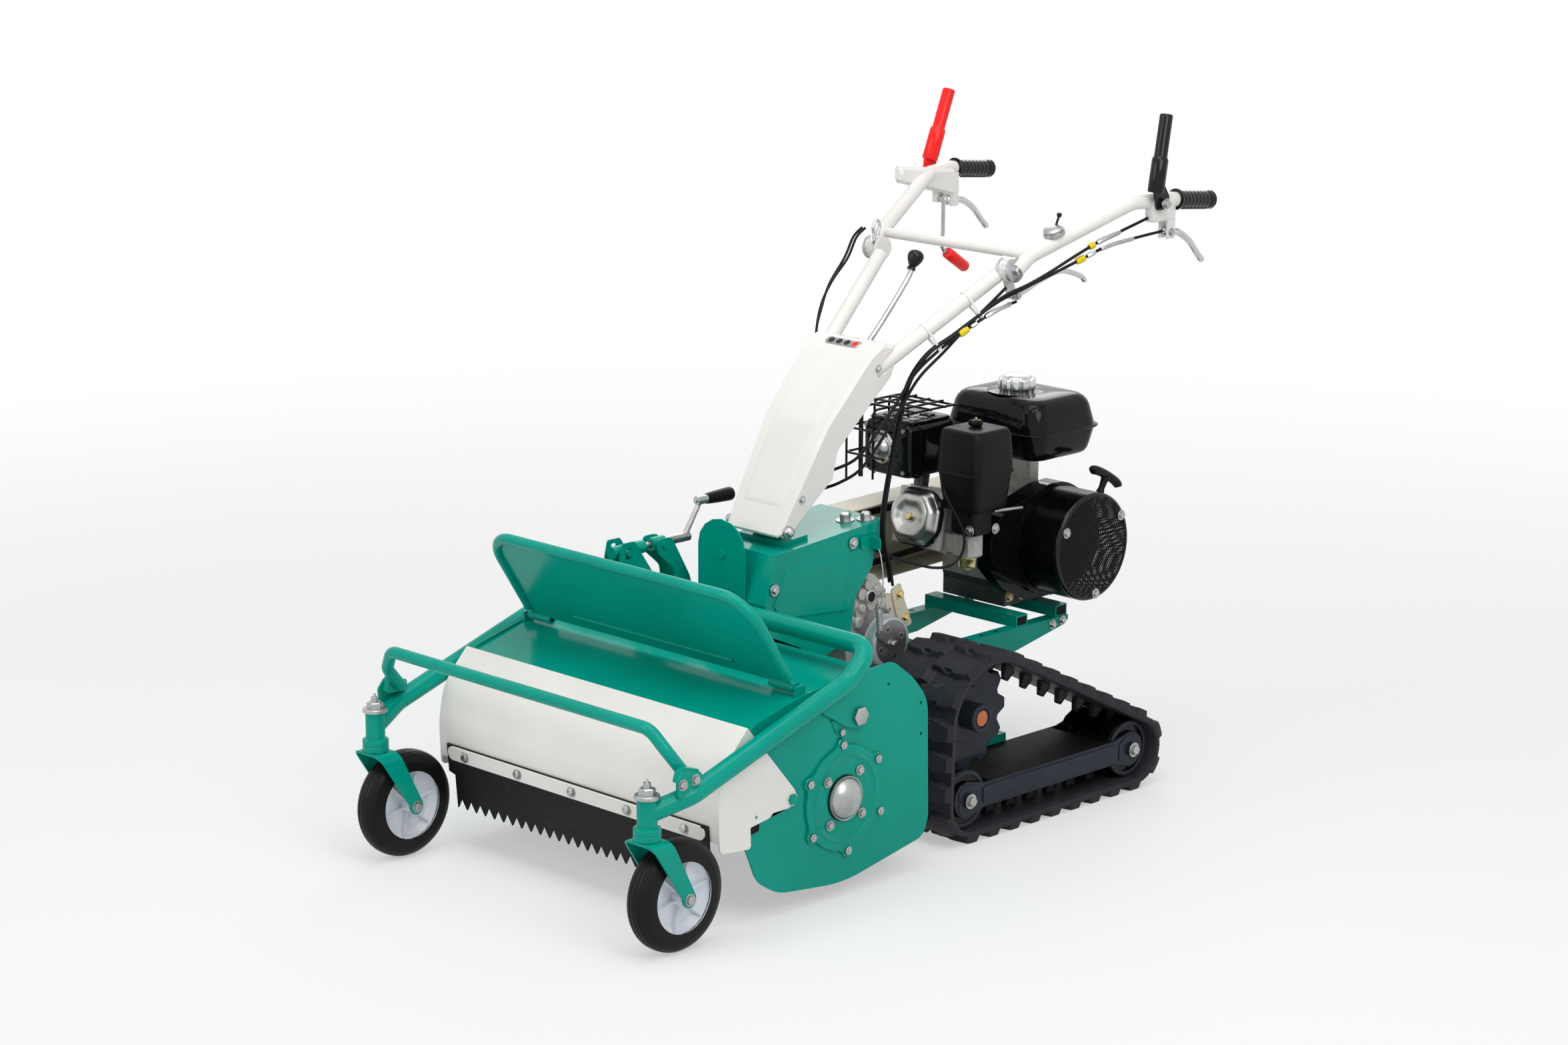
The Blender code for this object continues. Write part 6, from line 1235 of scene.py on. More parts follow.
# %% Throttle and hanging lever
SEAT, LEAN = np.array((0.196, 0.405, 1.048)), np.array((0, -0.38, 0.925))
puck = [(0, 0.0086), (0.012, 0.0084), (0.015, 0.0074), (0.0168, 0.006), (0.018, 0.0052),
        (0.018, 0.001), (0, 0.001)]
show("throttle_disc", copies(lathe(puck, 48), [SEAT], LEAN), ZINC, "throttle", angle=40,
     stands_for="throttle_lever")
stalk = pipe([SEAT + (0, 0.004, 0.006), SEAT + (0, 0.014, 0.026)], 0.0023, 14)
ball = lathe([(0, -0.005), (0.004, -0.0035), (0.0048, 0.0), (0.004, 0.004), (0, 0.005)], 24)
show("throttle_stalk", joined(stalk, copies(ball, [SEAT + (0, 0.0146, 0.028)])), GLOSS_BLACK,
     "throttle", angle=60)
under = [(0, 0.0006), (0.0195, 0.0006), (0.02, 0.0), (0.02, -0.006), (0.016, -0.0085),
         (0, -0.0085)]
show("throttle_seat", copies(lathe(under, 40), [SEAT], LEAN), ZINC, "handle")
swing = eased(at_x(-0.238, [(0.586, 1.04), (0.586, 0.98), (0.583, 0.95),
                            (0.588, 0.94), (0.61, 0.927), (0.636, 0.91)]), 0.012, 10)
swing_eye = copies(lathe([(0.0039, -0.004), (0.0085, -0.004), (0.0085, 0.004), (0.0039, 0.004),
                          (0.0039, -0.004)], 28), [(-0.238, 0.586, 1.04)], X_WAY)
show("hanging_rod_fine", joined(pipe(swing, 0.0038, 20), swing_eye), ZINC, "hanging", angle=60,
     stands_for="hanging_lever")
rod_line = (swing[-1] - (-0.238, 0.61, 0.927)) / math.hypot(0.026, 0.017)
hanging_grip = [(0, 0.0), (0.0095, 0.0), (0.0108, 0.0015), (0.0116, 0.02), (0.0112, 0.04),
                (0.0114, 0.06), (0.0098, 0.0635), (0, 0.064)]
show("hanging_grip_fine", copies(lathe(hanging_grip, 32), [swing[-1] - rod_line * 0.046],
                                 rod_line), RED, "hanging", angle=50)
print("levers done")

# %% [markdown]
# The other solids keep their shapes and get a finish. Most take one, and a few carry plated bolts
# or a painted bracket, which are picked out by the space they fill.

# %% Finishes by solid
dress("deck_shell", TEAL, drop=lambda x, y, z: np.abs(x) > 0.3458)
for node in ("rotor_drive_case", "chassis_frame", "jack_tube"):
    dress(node, TEAL)
round_the_studs = near((0.015, 0.07), (0.035, 0.095))
dress("column_bracket", TEAL, drop=lambda x, y, z: round_the_studs(x, y, z)
      & (z > 0.5512 + (y - 0.0515) * 0.076))
dress("column_cover", WHITE, edge=0.0022, angle=20)
dress("lower_handle", WHITE, [(TEAL, near(z=(0.5, 0.548)))])
dress("upper_handle", WHITE, edge=0.0012)
dress("belt_cover", CREAM)
for word, sign in SIDES:
    dress("wheel_hub_" + word, HUB_WHITE)
    # the track frame's faces inside the belt loop, x from 0.15 to 0.2925, take the dark finish:
    # painted shade
    dress("track_frame_" + word, NAVY, [(DARK_AND_SHADE, near(x=sorted((sign * 0.15, sign * 0.2925))))],
          edge=0.0012)
    dress("sprocket_" + word, NAVY, edge=0.0012)
    dress("front_roller_" + word, ENAMEL)
    dress("rear_idler_" + word, ENAMEL)
for node, finish in (("fan_housing", ENAMEL), ("front_flap", FLAP_RUBBER), ("flail_rotor", STEEL),
                     ("crankshaft", STEEL), ("input_pulley", STEEL), ("drive_belt", RUBBER),
                     ("brake_arm", ZINC)):
    dress(node, finish)

# %% [markdown]
# Most engine covers are one outline stacked at many heights and drawn in a little more at each,
# which rounds the edge between a side and a top. Small levels close together make a tight
# corner, and levels far apart make a slope. The same form makes the pressed rocker cover, the
# tank halves, the air filter and the silencer's shell.


# %% Stacked outlines
def stacked(outline, levels):
    """P(t, k) = outline(t) x (half - inset k) / half at height k; inset None is the middle.

    An end without a middle of its own is closed flat.
    """
    levels = list(levels)
    if levels[0][0] is not None:
        levels.insert(0, (None, levels[0][1]))
    if levels[-1][0] is not None:
        levels.append((None, levels[-1][1]))
    outline = np.array(outline, float)
    half = np.abs(outline).max(0)
    grid = np.empty((len(levels), len(outline), 3))
    for row, (inset, height) in zip(grid, levels):
        row[:, :2] = 0 if inset is None else outline * (half - inset) / half
        row[:, 2] = height
    return skin(grid, wrap_columns=True)


def soft_box(width, depth, corner, steps=8):
    """A rectangle about zero with round corners."""
    w, d = width / 2, depth / 2
    return eased([(-w, -d), (w, -d), (w, d), (-w, d)], corner, steps, closed=True)


def placed(shape, origin, x_axis=X_WAY, y_axis=Y_WAY, z_axis=Z_WAY):
    """Sets a shape drawn on three axes of its own into the machine."""
    return shape[0] @ np.array([x_axis, y_axis, z_axis], float) + origin, shape[1]


SHAFT = (0.5385, 0.442)


def round_shaft(profile, steps=96, spot=SHAFT):
    """A profile of (radius, x) turned round the crankshaft's line, or another (y, z)."""
    return placed(lathe(profile, steps), (0, *spot), Y_WAY, Z_WAY, X_WAY)


print("a round box's outline has", len(soft_box(1, 1, 0.1)), "points")

# %% [markdown]
# The engine leans forward, its cylinder 14 degrees above level. The block is cast, and the parts
# in front of the head are pressed or turned, so the solid's own are dropped and made again: an
# eight-sided rocker cover with a dished rim, its bolt, and the brass bowl of the carburettor.

# %% Engine block
OUT = np.array((0.0, -0.9703, 0.2419))
LIFT = np.array((0.0, 0.2419, 0.9703))
HEAD = np.array((-0.017, *SHAFT))


def on_head(shape, reach):
    """Against the cylinder head: Z runs out along the cylinder, reach from the crankshaft."""
    return placed(shape, HEAD + OUT * reach, X_WAY, LIFT, OUT)


def reach_of(y, z):
    """How far out along the cylinder a packed point lies from the crankshaft."""
    return (y - SHAFT[0] - SHIFT) * OUT[1] + (z - SHAFT[1]) * OUT[2]


def block_drop(x, y, z):
    """True on the rocker cover, its bolt and the carburettor bowl, which are made again."""
    bowl = near((0.058, 0.102), (0.3, 0.345), (0.415, 0.4436))(x, y, z)
    return (reach_of(y, z) > 0.2566) & (z > 0.4) & (x < 0.045) | bowl


dress("crankcase", ALLOY, [(IRON, near(z=(0.3, 0.358)))], drop=block_drop)
octagon = eased([(-0.056, -0.02), (-0.032, -0.051), (0.032, -0.051), (0.056, -0.02),
                 (0.056, 0.02), (0.032, 0.051), (-0.032, 0.051), (-0.056, 0.02)], 0.026, 8, True)
gasket = [(0, 0), (0, 0.0075), (0.0012, 0.0085)]
show("rocker_gasket", on_head(stacked(octagon * 1.045, gasket), 0.2554), SATIN)
dish = [(None, 0.003), (0.0002, 0.008), (0.0002, 0.01), (0.002, 0.0112), (0.0034, 0.015),
        (0.0048, 0.02), (0.0072, 0.0248), (0.0106, 0.0282), (0.0146, 0.0298), (0.019, 0.03),
        (0.024, 0.0288), (0.029, 0.0268), (0.034, 0.0256), (0.04, 0.025)]
show("rocker_cover_dish", on_head(stacked(octagon, dish), 0.2554), PRESSED, angle=60)
show("rocker_washer", on_head(lathe([(0, 0.0012), (0.0108, 0.0012), (0.0112, 0.0008), (0.0112, 0),
                                     (0, 0)], 40), 0.2804), ZINC)
show("rocker_bolt", on_head(bolt_shape(0.0165, 0.007, 0), 0.2814), BRASS, angle=30)
bowl = [(0, 0.001), (0.0172, 0.001), (0.0178, 0), (0.0178, -0.0052), (0.0168, -0.006),
        (0.0166, -0.016), (0.0156, -0.0205), (0.013, -0.0232), (0.009, -0.024), (0, -0.024)]
show("carburettor_bowl", copies(lathe(bowl, 56), [(0.08, 0.318, 0.444)]), BRASS, angle=60)
bolts("bowl_drain", [(0.08, 0.318, 0.42)], (0, 0, -1), 0.0085, washer=0)
bolts("filter_neck_bolts", [(0.1182, 0.35, 0.496)], X_WAY, 0.013, washer=1.15)
bolts("filter_neck_bolts_front", [(0.109, 0.2903, 0.5)], (0, -1, 0), 0.013, washer=1.15)
bolts("engine_base_bolts", [(x, y, 0.3578) for x in (0.043, -0.088) for y in (0.462, 0.598)],
      Z_WAY, 0.013, washer=1.2)
bolts("engine_side_plug", [(0.0552, 0.462, 0.335)], X_WAY, 0.015, finish=BRASS)
bolts("engine_side_bolt", [(0.0552, 0.5, 0.335)], X_WAY, 0.012, finish=STEEL)
lead = flowing([(0.03, 0.305, 0.535), (0.046, 0.285, 0.54), (0.056, 0.283, 0.56),
                (0.052, 0.3, 0.578), (0.036, 0.33, 0.576), (0.03, 0.38, 0.556),
                (0.048, 0.43, 0.54), (0.066, 0.47, 0.533)], 60)
show("spark_plug_boot", pipe(lead[:12], np.linspace(0.0085, 0.006, 12), 24), RUBBER)
show("choke_rod", pipe([(0.118, 0.345, 0.53), (0.12, 0.372, 0.528), (0.12, 0.42, 0.524)],
                       0.0035, 14), ZINC)
print("engine block dressed")

# %% [markdown]
# The air filter is matt moulded plastic with a lid that overlaps its box, and a knob with five
# lobes on a brass stud. The tank's two pressed halves meet in a thin seam, and its chrome cap has
# ten lobes for the hand: its radius dips at each groove as a narrow bell curve of the angle.

# %% Air filter and tank
filter_line = soft_box(0.106, 0.11, 0.017)
lid_levels = [(0.0003, 0.605), (0, 0.6075), (0.0012, 0.63), (0.0034, 0.669), (0.0044, 0.675),
              (0.0064, 0.68), (0.0096, 0.6834), (0.0144, 0.6848), (0.022, 0.685)]
box_levels = [(0.002, 0.605), (0.0022, 0.6), (0.0088, 0.545), (0.0104, 0.538), (0.0136, 0.534),
              (0.018, 0.533)]
lip_levels = [(0.0004, 0.6015), (-0.0012, 0.6024), (-0.0012, 0.606), (0.0002, 0.6072)]
middle = (0.087, 0.3275, 0)
show("air_filter_lid", placed(stacked(filter_line, lid_levels), middle), SATIN, angle=50,
     stands_for="air_filter")
show("air_filter_box", joined(placed(stacked(filter_line, box_levels), middle),
                              placed(stacked(filter_line, lip_levels), middle)), SATIN, angle=50)
neck_levels = [(0.003, 0.4885), (0.0008, 0.4915), (0, 0.496), (0, 0.55)]
show("air_filter_neck", placed(stacked(soft_box(0.06, 0.055, 0.01), neck_levels),
                               (0.088, 0.318, 0)), SATIN, angle=50)
lobe_turn = np.linspace(0, 2 * np.pi, 90, endpoint=False)
lobes = (0.0122 + 0.0022 * np.cos(5 * lobe_turn))[:, None] * np.column_stack(
    [np.cos(lobe_turn), np.sin(lobe_turn)])
knob_levels = [(0.004, 0.686), (0.001, 0.688), (0, 0.6905), (0.0002, 0.6945), (0.0018, 0.697),
               (0.005, 0.698)]
show("filter_knob_fine", placed(stacked(lobes, knob_levels), middle), SATIN, angle=50)
show("filter_stud", copies(lathe([(0, 0.0048), (0.0014, 0.0048), (0.002, 0.0042), (0.002, 0),
                                  (0, 0)], 16), [(0.087, 0.3275, 0.6975)]), BRASS)
print("air filter done")

# %% Tank and cap
tank_line = soft_box(0.236, 0.186, 0.036, 10)
upper_levels = [(0.0002, 0.654), (0.0012, 0.662), (0.0058, 0.683), (0.008, 0.6925),
                (0.0116, 0.701), (0.017, 0.7076), (0.024, 0.712), (0.033, 0.7146), (0.048, 0.7158),
                (0.07, 0.7162)]
lower_levels = [(0.0002, 0.652), (0.0014, 0.644), (0.006, 0.623), (0.009, 0.611), (0.013, 0.6042),
                (0.019, 0.6008), (0.028, 0.6)]
seam_levels = [(0.0006, 0.6515), (0, 0.6522), (0, 0.6538), (0.0006, 0.6545)]
tank_middle = (0.015, 0.535, 0)
show("tank_upper", placed(stacked(tank_line, upper_levels), tank_middle), ENAMEL, angle=60,
     stands_for="fuel_tank")
show("tank_lower", placed(stacked(tank_line, lower_levels), tank_middle), ENAMEL, angle=60)
show("tank_seam", placed(stacked(soft_box(0.25, 0.2, 0.043, 10), seam_levels), tank_middle),
     ENAMEL, angle=60)
collar = [(0.0235, 0.716), (0.0235, 0.722), (0.027, 0.7226), (0.033, 0.7206), (0.04, 0.7178),
          (0.05, 0.7164), (0.056, 0.7158)]
show("tank_collar", copies(lathe(collar, 72), [(0.015, 0.52, 0)]), ENAMEL, angle=60)


def fuel_cap(steps=200):
    """R(t) = 35.4 mm, less 4.2 mm in each of ten grooves; over the crown it is a circle."""
    t = np.linspace(0, 2 * np.pi, steps, endpoint=False)
    off = (t * 10 / (2 * np.pi) + 0.5) % 1 - 0.5
    fluted = 0.0354 - 0.0042 * np.exp(-(off / 0.16) ** 2)
    rows = [(0.0, 1, 0.7195), (0.965, 1, 0.7195), (0.995, 1, 0.7205), (1.0, 1, 0.7225),
            (1.0, 1, 0.7355), (0.985, 1, 0.7375), (0.95, 1, 0.7388), (0.029, 0, 0.7394),
            (0.0282, 0, 0.7412), (0.025, 0, 0.7432), (0.019, 0, 0.7455), (0.011, 0, 0.7471),
            (0.0, 0, 0.7477)]
    radius = np.array([share * fluted if lobed else np.full(steps, share)
                       for share, lobed, _ in rows])
    height = np.array([h for _, _, h in rows])
    grid = np.stack([0.015 + radius * np.cos(t), 0.52 + radius * np.sin(t),
                     np.repeat(height[:, None], steps, 1)], -1)
    return skin(grid, wrap_columns=True)


show("fuel_cap_chrome", fuel_cap(), CHROME, "tank_cap", 50, stands_for="fuel_cap")
print("tank done")

# %% [markdown]
# The silencer is two black shells that meet in a rolled seam, with a bright pressed flange on its
# front and a cage of bent wire round it that keeps hands and grass off the hot steel. Each wire is
# a circle carried along a path whose corners are true arcs.

# %% Silencer and wire cage
shell = [(0.01, 0), (0.004, -0.0025), (0.001, -0.007), (0, -0.013), (0, -0.092), (-0.0022, -0.093),
         (-0.0022, -0.096), (0, -0.097), (0.0004, -0.112), (0.0018, -0.1185), (0.0052, -0.123),
         (0.01, -0.125)]
box_line = soft_box(0.119, 0.102, 0.015)
show("silencer_shell", placed(stacked(box_line, shell), (-0.0785, 0.3895, 0.627), X_WAY, Z_WAY,
                              Y_WAY), ENAMEL, angle=50, stands_for="muffler")
show("silencer_pipe", pipe(at_x(-0.05, [(0.335, 0.59), (0.334, 0.574), (0.33, 0.552)]), 0.014,
                           32), IRON)
flange = [(0, 0.0195), (0.005, 0.0192), (0.01, 0.0178), (0.014, 0.0148), (0.0166, 0.0104),
          (0.0184, 0.0062), (0.0206, 0.0042), (0.024, 0.0036), (0.0304, 0.0036), (0.0312, 0.0028),
          (0.0312, 0)]
spot = np.array((-0.088, 0.2645, 0.63))
show("silencer_flange", copies(lathe(flange, 72), [spot], (0, -1, 0)), PRESSED, angle=60)
across, up = around((0, 0), 0.0268, 8, 10).T
holes = np.column_stack([across, np.full(8, -0.0037), up])
# dark discs in the flange's holes: painted shade, the shadow inside each hole
dot = lathe([(0, 0.0002), (0.0021, 0.0002), (0.0022, -0.0003), (0, -0.0003)], 16)
show("silencer_flange_hole_shade", copies(dot, spot + holes, (0, -1, 0)), DARK_AND_SHADE)
corners = np.array([(x, 0.2645, z) for x in (-0.127, -0.034) for z in (0.588, 0.666)])
bolts("silencer_bolts", corners, (0, -1, 0), 0.009, finish=STEEL, washer=0)
top = placed(stacked(soft_box(0.11, 0.108, 0.01), [(0, 0.6775), (0, 0.6805), (0.0012, 0.6815)]),
             (-0.0785, 0.33, 0))
tab = stacked(soft_box(0.026, 0.02, 0.003), [(0, 0.681), (0.0006, 0.6842), (None, 0.6846)])
tabs = copies(tab, [(-0.103, 0.304, 0), (-0.056, 0.352, 0)])
show("silencer_top", joined(top, tabs), ENAMEL, angle=50)
# dark discs in the top's vents: painted shade, the shadow inside each vent
vents = [(-0.029, y, 0.6815) for y in np.linspace(0.283, 0.377, 15)]
vents += [(x, 0.281, 0.6815) for x in np.linspace(-0.128, -0.04, 14)]
show("silencer_vent_shade", copies(dot, vents), DARK_AND_SHADE)
print("silencer done")

# %% Wire cage
LOW, HIGH, FAR_X, NEAR_X = 0.56, 0.7, -0.16, -0.025
OVER = HIGH + 0.002
wires = [[(FAR_X, 0.245, LOW), (FAR_X, 0.245, HIGH), (FAR_X, 0.395, HIGH), (FAR_X, 0.395, LOW)],
         [(NEAR_X, 0.245, 0.694), (NEAR_X, 0.245, HIGH), (NEAR_X, 0.3975, HIGH)],
         [(-0.0925, 0.245, LOW + 0.01), (-0.0925, 0.245, HIGH), (-0.0925, 0.3975, HIGH)],
         [(FAR_X - 0.004, 0.394, 0.6985), (NEAR_X + 0.006, 0.394, 0.6985)],
         [(-0.0925, 0.338, HIGH), (-0.0925, 0.338, 0.68)]]
wires += [[(FAR_X + 0.0015, y, LOW), (FAR_X + 0.0015, y, OVER), (NEAR_X + 0.01, y, OVER)]
          for y in (0.279, 0.318, 0.357)]
wires += [[(-0.063, 0.2435, z), (FAR_X - 0.0015, 0.2435, z), (FAR_X - 0.0015, 0.4, z)]
          for z in (0.66, 0.612)]
wires += [[(x, 0.25, low), (x, 0.25, OVER), (x, 0.396, OVER)]
          for x, low in ((-0.125, LOW + 0.01), (-0.058, 0.69))]
show("wire_cage", joined(*[pipe(eased(wire, 0.012, 6), 0.0023, 12) for wire in wires]), ENAMEL,
     angle=60)
print(len(wires), "wires bent")

# %% [markdown]
# The fan screen is perforated sheet. The holes are real gaps in the finish: two square grids of
# dots, one set between the other's rows, are counted as open where the distance to the nearest
# middle is under a radius. The grid follows the sheet's own UV map, in metres, so it stays even
# on the flat face and round the wall, and the two skins of the sheet have their holes in line.


# %% Fan screen
def screen(name, pitch, hole):
    """Black sheet with staggered holes: open where the nearest of two dot grids is close."""
    sheet = Finish(name)
    spread = sheet.node("ShaderNodeTexCoord", output="UV")
    u = sheet.node("ShaderNodeSeparateXYZ", inputs={0: spread}, output="X")
    v = sheet.node("ShaderNodeSeparateXYZ", inputs={0: spread}, output="Y")

    def distance(shift):
        """sqrt(a^2 + 3 b^2) from the nearest dot's middle, in pitches; shift moves the grid."""
        a = (u * (1 / pitch) + shift).sum("FRACT") - 0.5
        b = (v * (1 / (pitch * 1.732)) + shift).sum("FRACT") - 0.5
        return ((a * a) + (b * b) * 3.0) ** 0.5

    solid = distance(100.0).sum("MINIMUM", distance(100.5)) > hole / pitch
    wear = sheet.noise(60.0, 4.0, 0.6).fade(0.5, 0.8)
    tint = sheet.blend(wear, rgb(8, 8, 9), rgb(22, 22, 23))
    return sheet.surface(Base_Color=tint, Roughness=wear * 0.1 + 0.24, Specular_IOR_Level=0.13,
                         Alpha=solid)

# %% Screen sheets
SCREEN = screen("perforated_black", 0.0046, 0.0015)
SLOT_OF[SCREEN.name] = "black_plastic"
FACE_X, SCREEN_R, BACK_X, SHEET = 0.193, 0.102, 0.1006, 0.0012


def add_uv(piece, formula):
    """Gives each face corner the UV that a formula finds from its point."""
    mesh = piece.data
    layer = mesh.uv_layers.new(name="sheet")
    spots = np.empty(len(mesh.vertices) * 3)
    mesh.vertices.foreach_get("co", spots)
    corner = np.empty(len(mesh.loops), int)
    mesh.loops.foreach_get("vertex_index", corner)
    layer.data.foreach_set("uv", formula(spots.reshape(-1, 3)[corner]).ravel())


face = round_shaft([(0, FACE_X), (0.0955, FACE_X), (0.0955, FACE_X - SHEET), (0, FACE_X - SHEET)])
add_uv(show("fan_screen_face", face, SCREEN, stands_for="fan_guard"),
       lambda p: p[:, 1:3])
wall = [(SCREEN_R, x) for x in np.linspace(FACE_X - 0.008, BACK_X + 0.006, 40)]
wall += [(SCREEN_R - SHEET, x) for _, x in wall[::-1]] + wall[:1]


def round_wall(p):
    """U is the way round the wall, V the way along the shaft."""
    turn = np.arctan2(p[:, 2] - SHAFT[1], p[:, 1] - SHAFT[0] - SHIFT)
    return np.column_stack([turn * SCREEN_R, p[:, 0]])


add_uv(show("fan_screen_wall", round_shaft(wall), SCREEN), round_wall)
rim = [(r, FACE_X - back) for r, back in (
    (0.0945, 0.0004), (0.0958, 0), (0.0985, 0.0004), (0.101, 0.0022), (0.102, 0.0055),
    (0.102, 0.009), (0.1004, 0.009), (0.1, 0.004), (0.095, 0.0018), (0.0945, 0.0004))]
foot = [(0.102, BACK_X + 0.007), (0.102, BACK_X), (0.1, BACK_X), (0.1, BACK_X + 0.007),
        (0.102, BACK_X + 0.007)]
show("fan_screen_rims", joined(round_shaft(rim), round_shaft(foot)), GLOSS_BLACK, angle=50)
drum = [(0, 0.178), (0.03, 0.178), (0.034, 0.174), (0.036, 0.15), (0.07, 0.144),
        (0.08, 0.14), (0.083, 0.134), (0.083, 0.108), (0, 0.108)]
show("recoil_drum", round_shaft(drum, 72), SATIN, angle=50)
bolts("fan_screen_bolts", at_x(FACE_X, [(0.463, 0.4808), (0.6171, 0.4901), (0.5487, 0.3513)]),
      X_WAY, 0.013, washer=1.15)
band = [(0.1072, 0.096), (0.1078, 0.0985), (0.107, 0.1003), (0.102, 0.1006), (0.102, 0.096)]
show("fan_band", round_shaft(band), ENAMEL, angle=60)
print("fan screen done")

# %% Starter
PULL = np.array((0.0, 0.479, 0.878))
ACROSS = np.array((0.0, -0.878, 0.479))
hub = np.array((0.165, *SHAFT))
u = np.linspace(-1, 1, 41)
bar = (hub + PULL * (0.139 - 0.0085 * u[:, None] ** 2)
       + ACROSS * (0.044 * np.sin(u[:, None] * np.pi / 2)))
waist = 1 - 0.1 * (1 - u ** 2)
thick = 0.0086 * np.sqrt(np.clip(1 - np.abs(u) ** 9, 0, 1)) * waist + 0.0002
reach = np.linspace(0, 1, 16)
stem = hub + PULL * (0.1035 + 0.0355 * reach)[:, None]
flare = 0.0056 + 0.0034 * reach ** 2 + 0.0022 * np.exp(-((reach - 0.05) / 0.12) ** 2)
show("starter_grip", joined(pipe(bar, thick, 24, 1.05), pipe(stem, flare, 24)), SATIN, "starter",
     60, stands_for="starter_handle")
show("starter_rope", pipe([hub + PULL * 0.1045, hub + PULL * 0.06, hub - PULL * 0.075], 0.0016, 10),
     RUBBER, "starter")
print("starter done")

# %% [markdown]
# The gear case has plugs and bosses of many sizes on its cast face. Each is one small turned
# profile with a fillet at its foot, scaled to its radius. The parking brake's drum is pressed
# steel, plated a dull zinc, with four dimples round its face. A coil spring, here a circle
# carried along a helix with a hook at each end, holds its arm back, and a wire pulls it.


# %% Gear case
def boss(radius, rise, hollow=0.0):
    """A round boss with a soft foot; hollow sinks its middle."""
    top = [(0, rise - hollow), (radius * 0.52, rise - hollow)] if hollow else [(0, rise)]
    return lathe(top + [(radius * 0.6 if hollow else radius * 0.5, rise), (radius - 0.0008, rise),
                        (radius, rise - 0.0008), (radius + 0.0004, 0.002), (radius + 0.0024, 0),
                        (0, 0)], 36)


dress("transmission_case", ALLOY,
      [(CREAM, near(x=(0.0685, 0.0745), y=(0.11, 0.17), z=(0.3, 0.42))),
       (ZINC, near(x=(0.0966, 0.125)))])
case_bosses = [(0.03, 0.342, 0.0075, 0.007, 0.003), (0.0336, 0.3697, 0.0105, 0.011, 0),
               (0.0426, 0.3935, 0.0085, 0.01, 0), (0.062, 0.413, 0.013, 0.012, 0.002),
               (0.0905, 0.396, 0.0105, 0.013, 0), (0.095, 0.417, 0.006, 0.01, 0.004),
               (0.082, 0.423, 0.0075, 0.009, 0), (0.111, 0.38, 0.0055, 0.01, 0.004),
               (0.106, 0.366, 0.005, 0.01, 0.004), (0.0472, 0.2959, 0.009, 0.008, 0.003)]
show("case_bosses", joined(*[copies(boss(r, h, d), [(0.07, y, z)], X_WAY)
                             for y, z, r, h, d in case_bosses]), ALLOY, angle=50)
show("case_plug", copies(lathe([(0, 0.012), (0.009, 0.012), (0.0098, 0.0112), (0.0098, 0.01),
                                (0, 0.01)], 32), [(0.0705, 0.062, 0.413)], X_WAY), SATIN)
print(len(case_bosses), "bosses")

# %% Parking brake
DRUM = (0.0757, 0.332)
SPRING_FOOT, SPRING_WAY = np.array((0.125, 0.04, 0.356)), np.array((0.0, -0.0995, 0.995))
TURNS, COIL_R, WIRE_R = 15, 0.005, 0.001
turn = np.linspace(0, 2 * np.pi * TURNS, 400)[:, None]
along = np.linspace(0.0068, 0.0452, 400)[:, None]
circle = np.cos(turn) * X_WAY + np.sin(turn) * (0, 0.995, 0.0995)
coil = SPRING_FOOT + SPRING_WAY * along + COIL_R * circle
hook_line = np.array([(0, 0.003 * a, 0.004 * b)
                      for a, b in ((1, 1), (1, -1), (-1, -1), (-1, 1), (0.9, 1))])
hooks = [pipe(eased(SPRING_FOOT + s * SPRING_WAY + hook_line, 0.003, 5), 0.0009, 10)
         for s in (0.0025, 0.0495)]
show("brake_spring_coil", joined(pipe(coil, WIRE_R, 10), *hooks), ZINC, "parking_arm", 60,
     stands_for="brake_spring")
drum_face = [(0.004, 0.1184), (0.039, 0.1184), (0.04, 0.1192), (0.0435, 0.1192),
             (0.0452, 0.1184), (0.0466, 0.1166), (0.0472, 0.113), (0.0472, 0.0985),
             (0.049, 0.0975), (0.049, 0.096), (0.04, 0.096)]
show("brake_drum_shell", round_shaft(drum_face, 72, DRUM), DULL_ZINC, angle=50)
dimple = lathe([(0, -0.0004), (0.0034, -0.0002), (0.0048, 0.0008), (0.0062, 0.001),
                (0.0074, 0)], 32)
dimples = around(DRUM, 0.0275, 4, 20)
show("drum_dimples", copies(dimple, at_x(0.1177, dimples), X_WAY), ZINC, angle=60)
# a dark disc in each dimple's hole: painted shade
show("drum_dimple_hole_shade", copies(dot, at_x(0.1186, dimples), X_WAY), DARK_AND_SHADE)
bracket = eased([(0.118, 0.414), (0.142, 0.424), (0.153, 0.39), (0.174, 0.342),
                 (0.148, 0.336), (0.133, 0.364)], 0.005, 6, True)
show("cream_bracket", slab(bracket, 0.0745, 0.0775), CREAM, edge=0.0006)
bolts("cream_bracket_bolts", at_x(0.0775, [(0.14, 0.403), (0.156, 0.357)]), X_WAY, 0.013,
      finish=BRASS, washer=1.15)
bolts("brake_arm_nut", at_x(0.1248, [DRUM]), X_WAY, 0.012, "parking_arm", washer=0)
pull = [(0.1262, 0.0405, 0.412), (0.1262, 0.044, 0.44), (0.12, 0.048, 0.48),
        (0.105, 0.052, 0.518)]
show("brake_pull_wire", pipe(flowing(pull, 40), 0.0012, 12), ZINC, "parking_arm",
     across=("parking_arm", "chassis", pull[0], pull[-1]))
anchor = slab(eased([(0.03, 0.505), (0.078, 0.505), (0.078, 0.528), (0.03, 0.528)], 0.004, 4,
                    True), 0.083, 0.086)
arm = slab(eased([(0.083, 0.505), (0.112, 0.505), (0.112, 0.527), (0.083, 0.527)], 0.004, 4,
                 True), 0.05, 0.053, "Y")
show("wire_anchor", joined(anchor, arm), TEAL, edge=0.0005)
print("parking brake done")

# %% [markdown]
# The column is fixed to its bracket by a domed nut and small screws. Its front carries a raised
# plain panel, and on top a plain plate has three dark spots and a red one beside the gear lever.

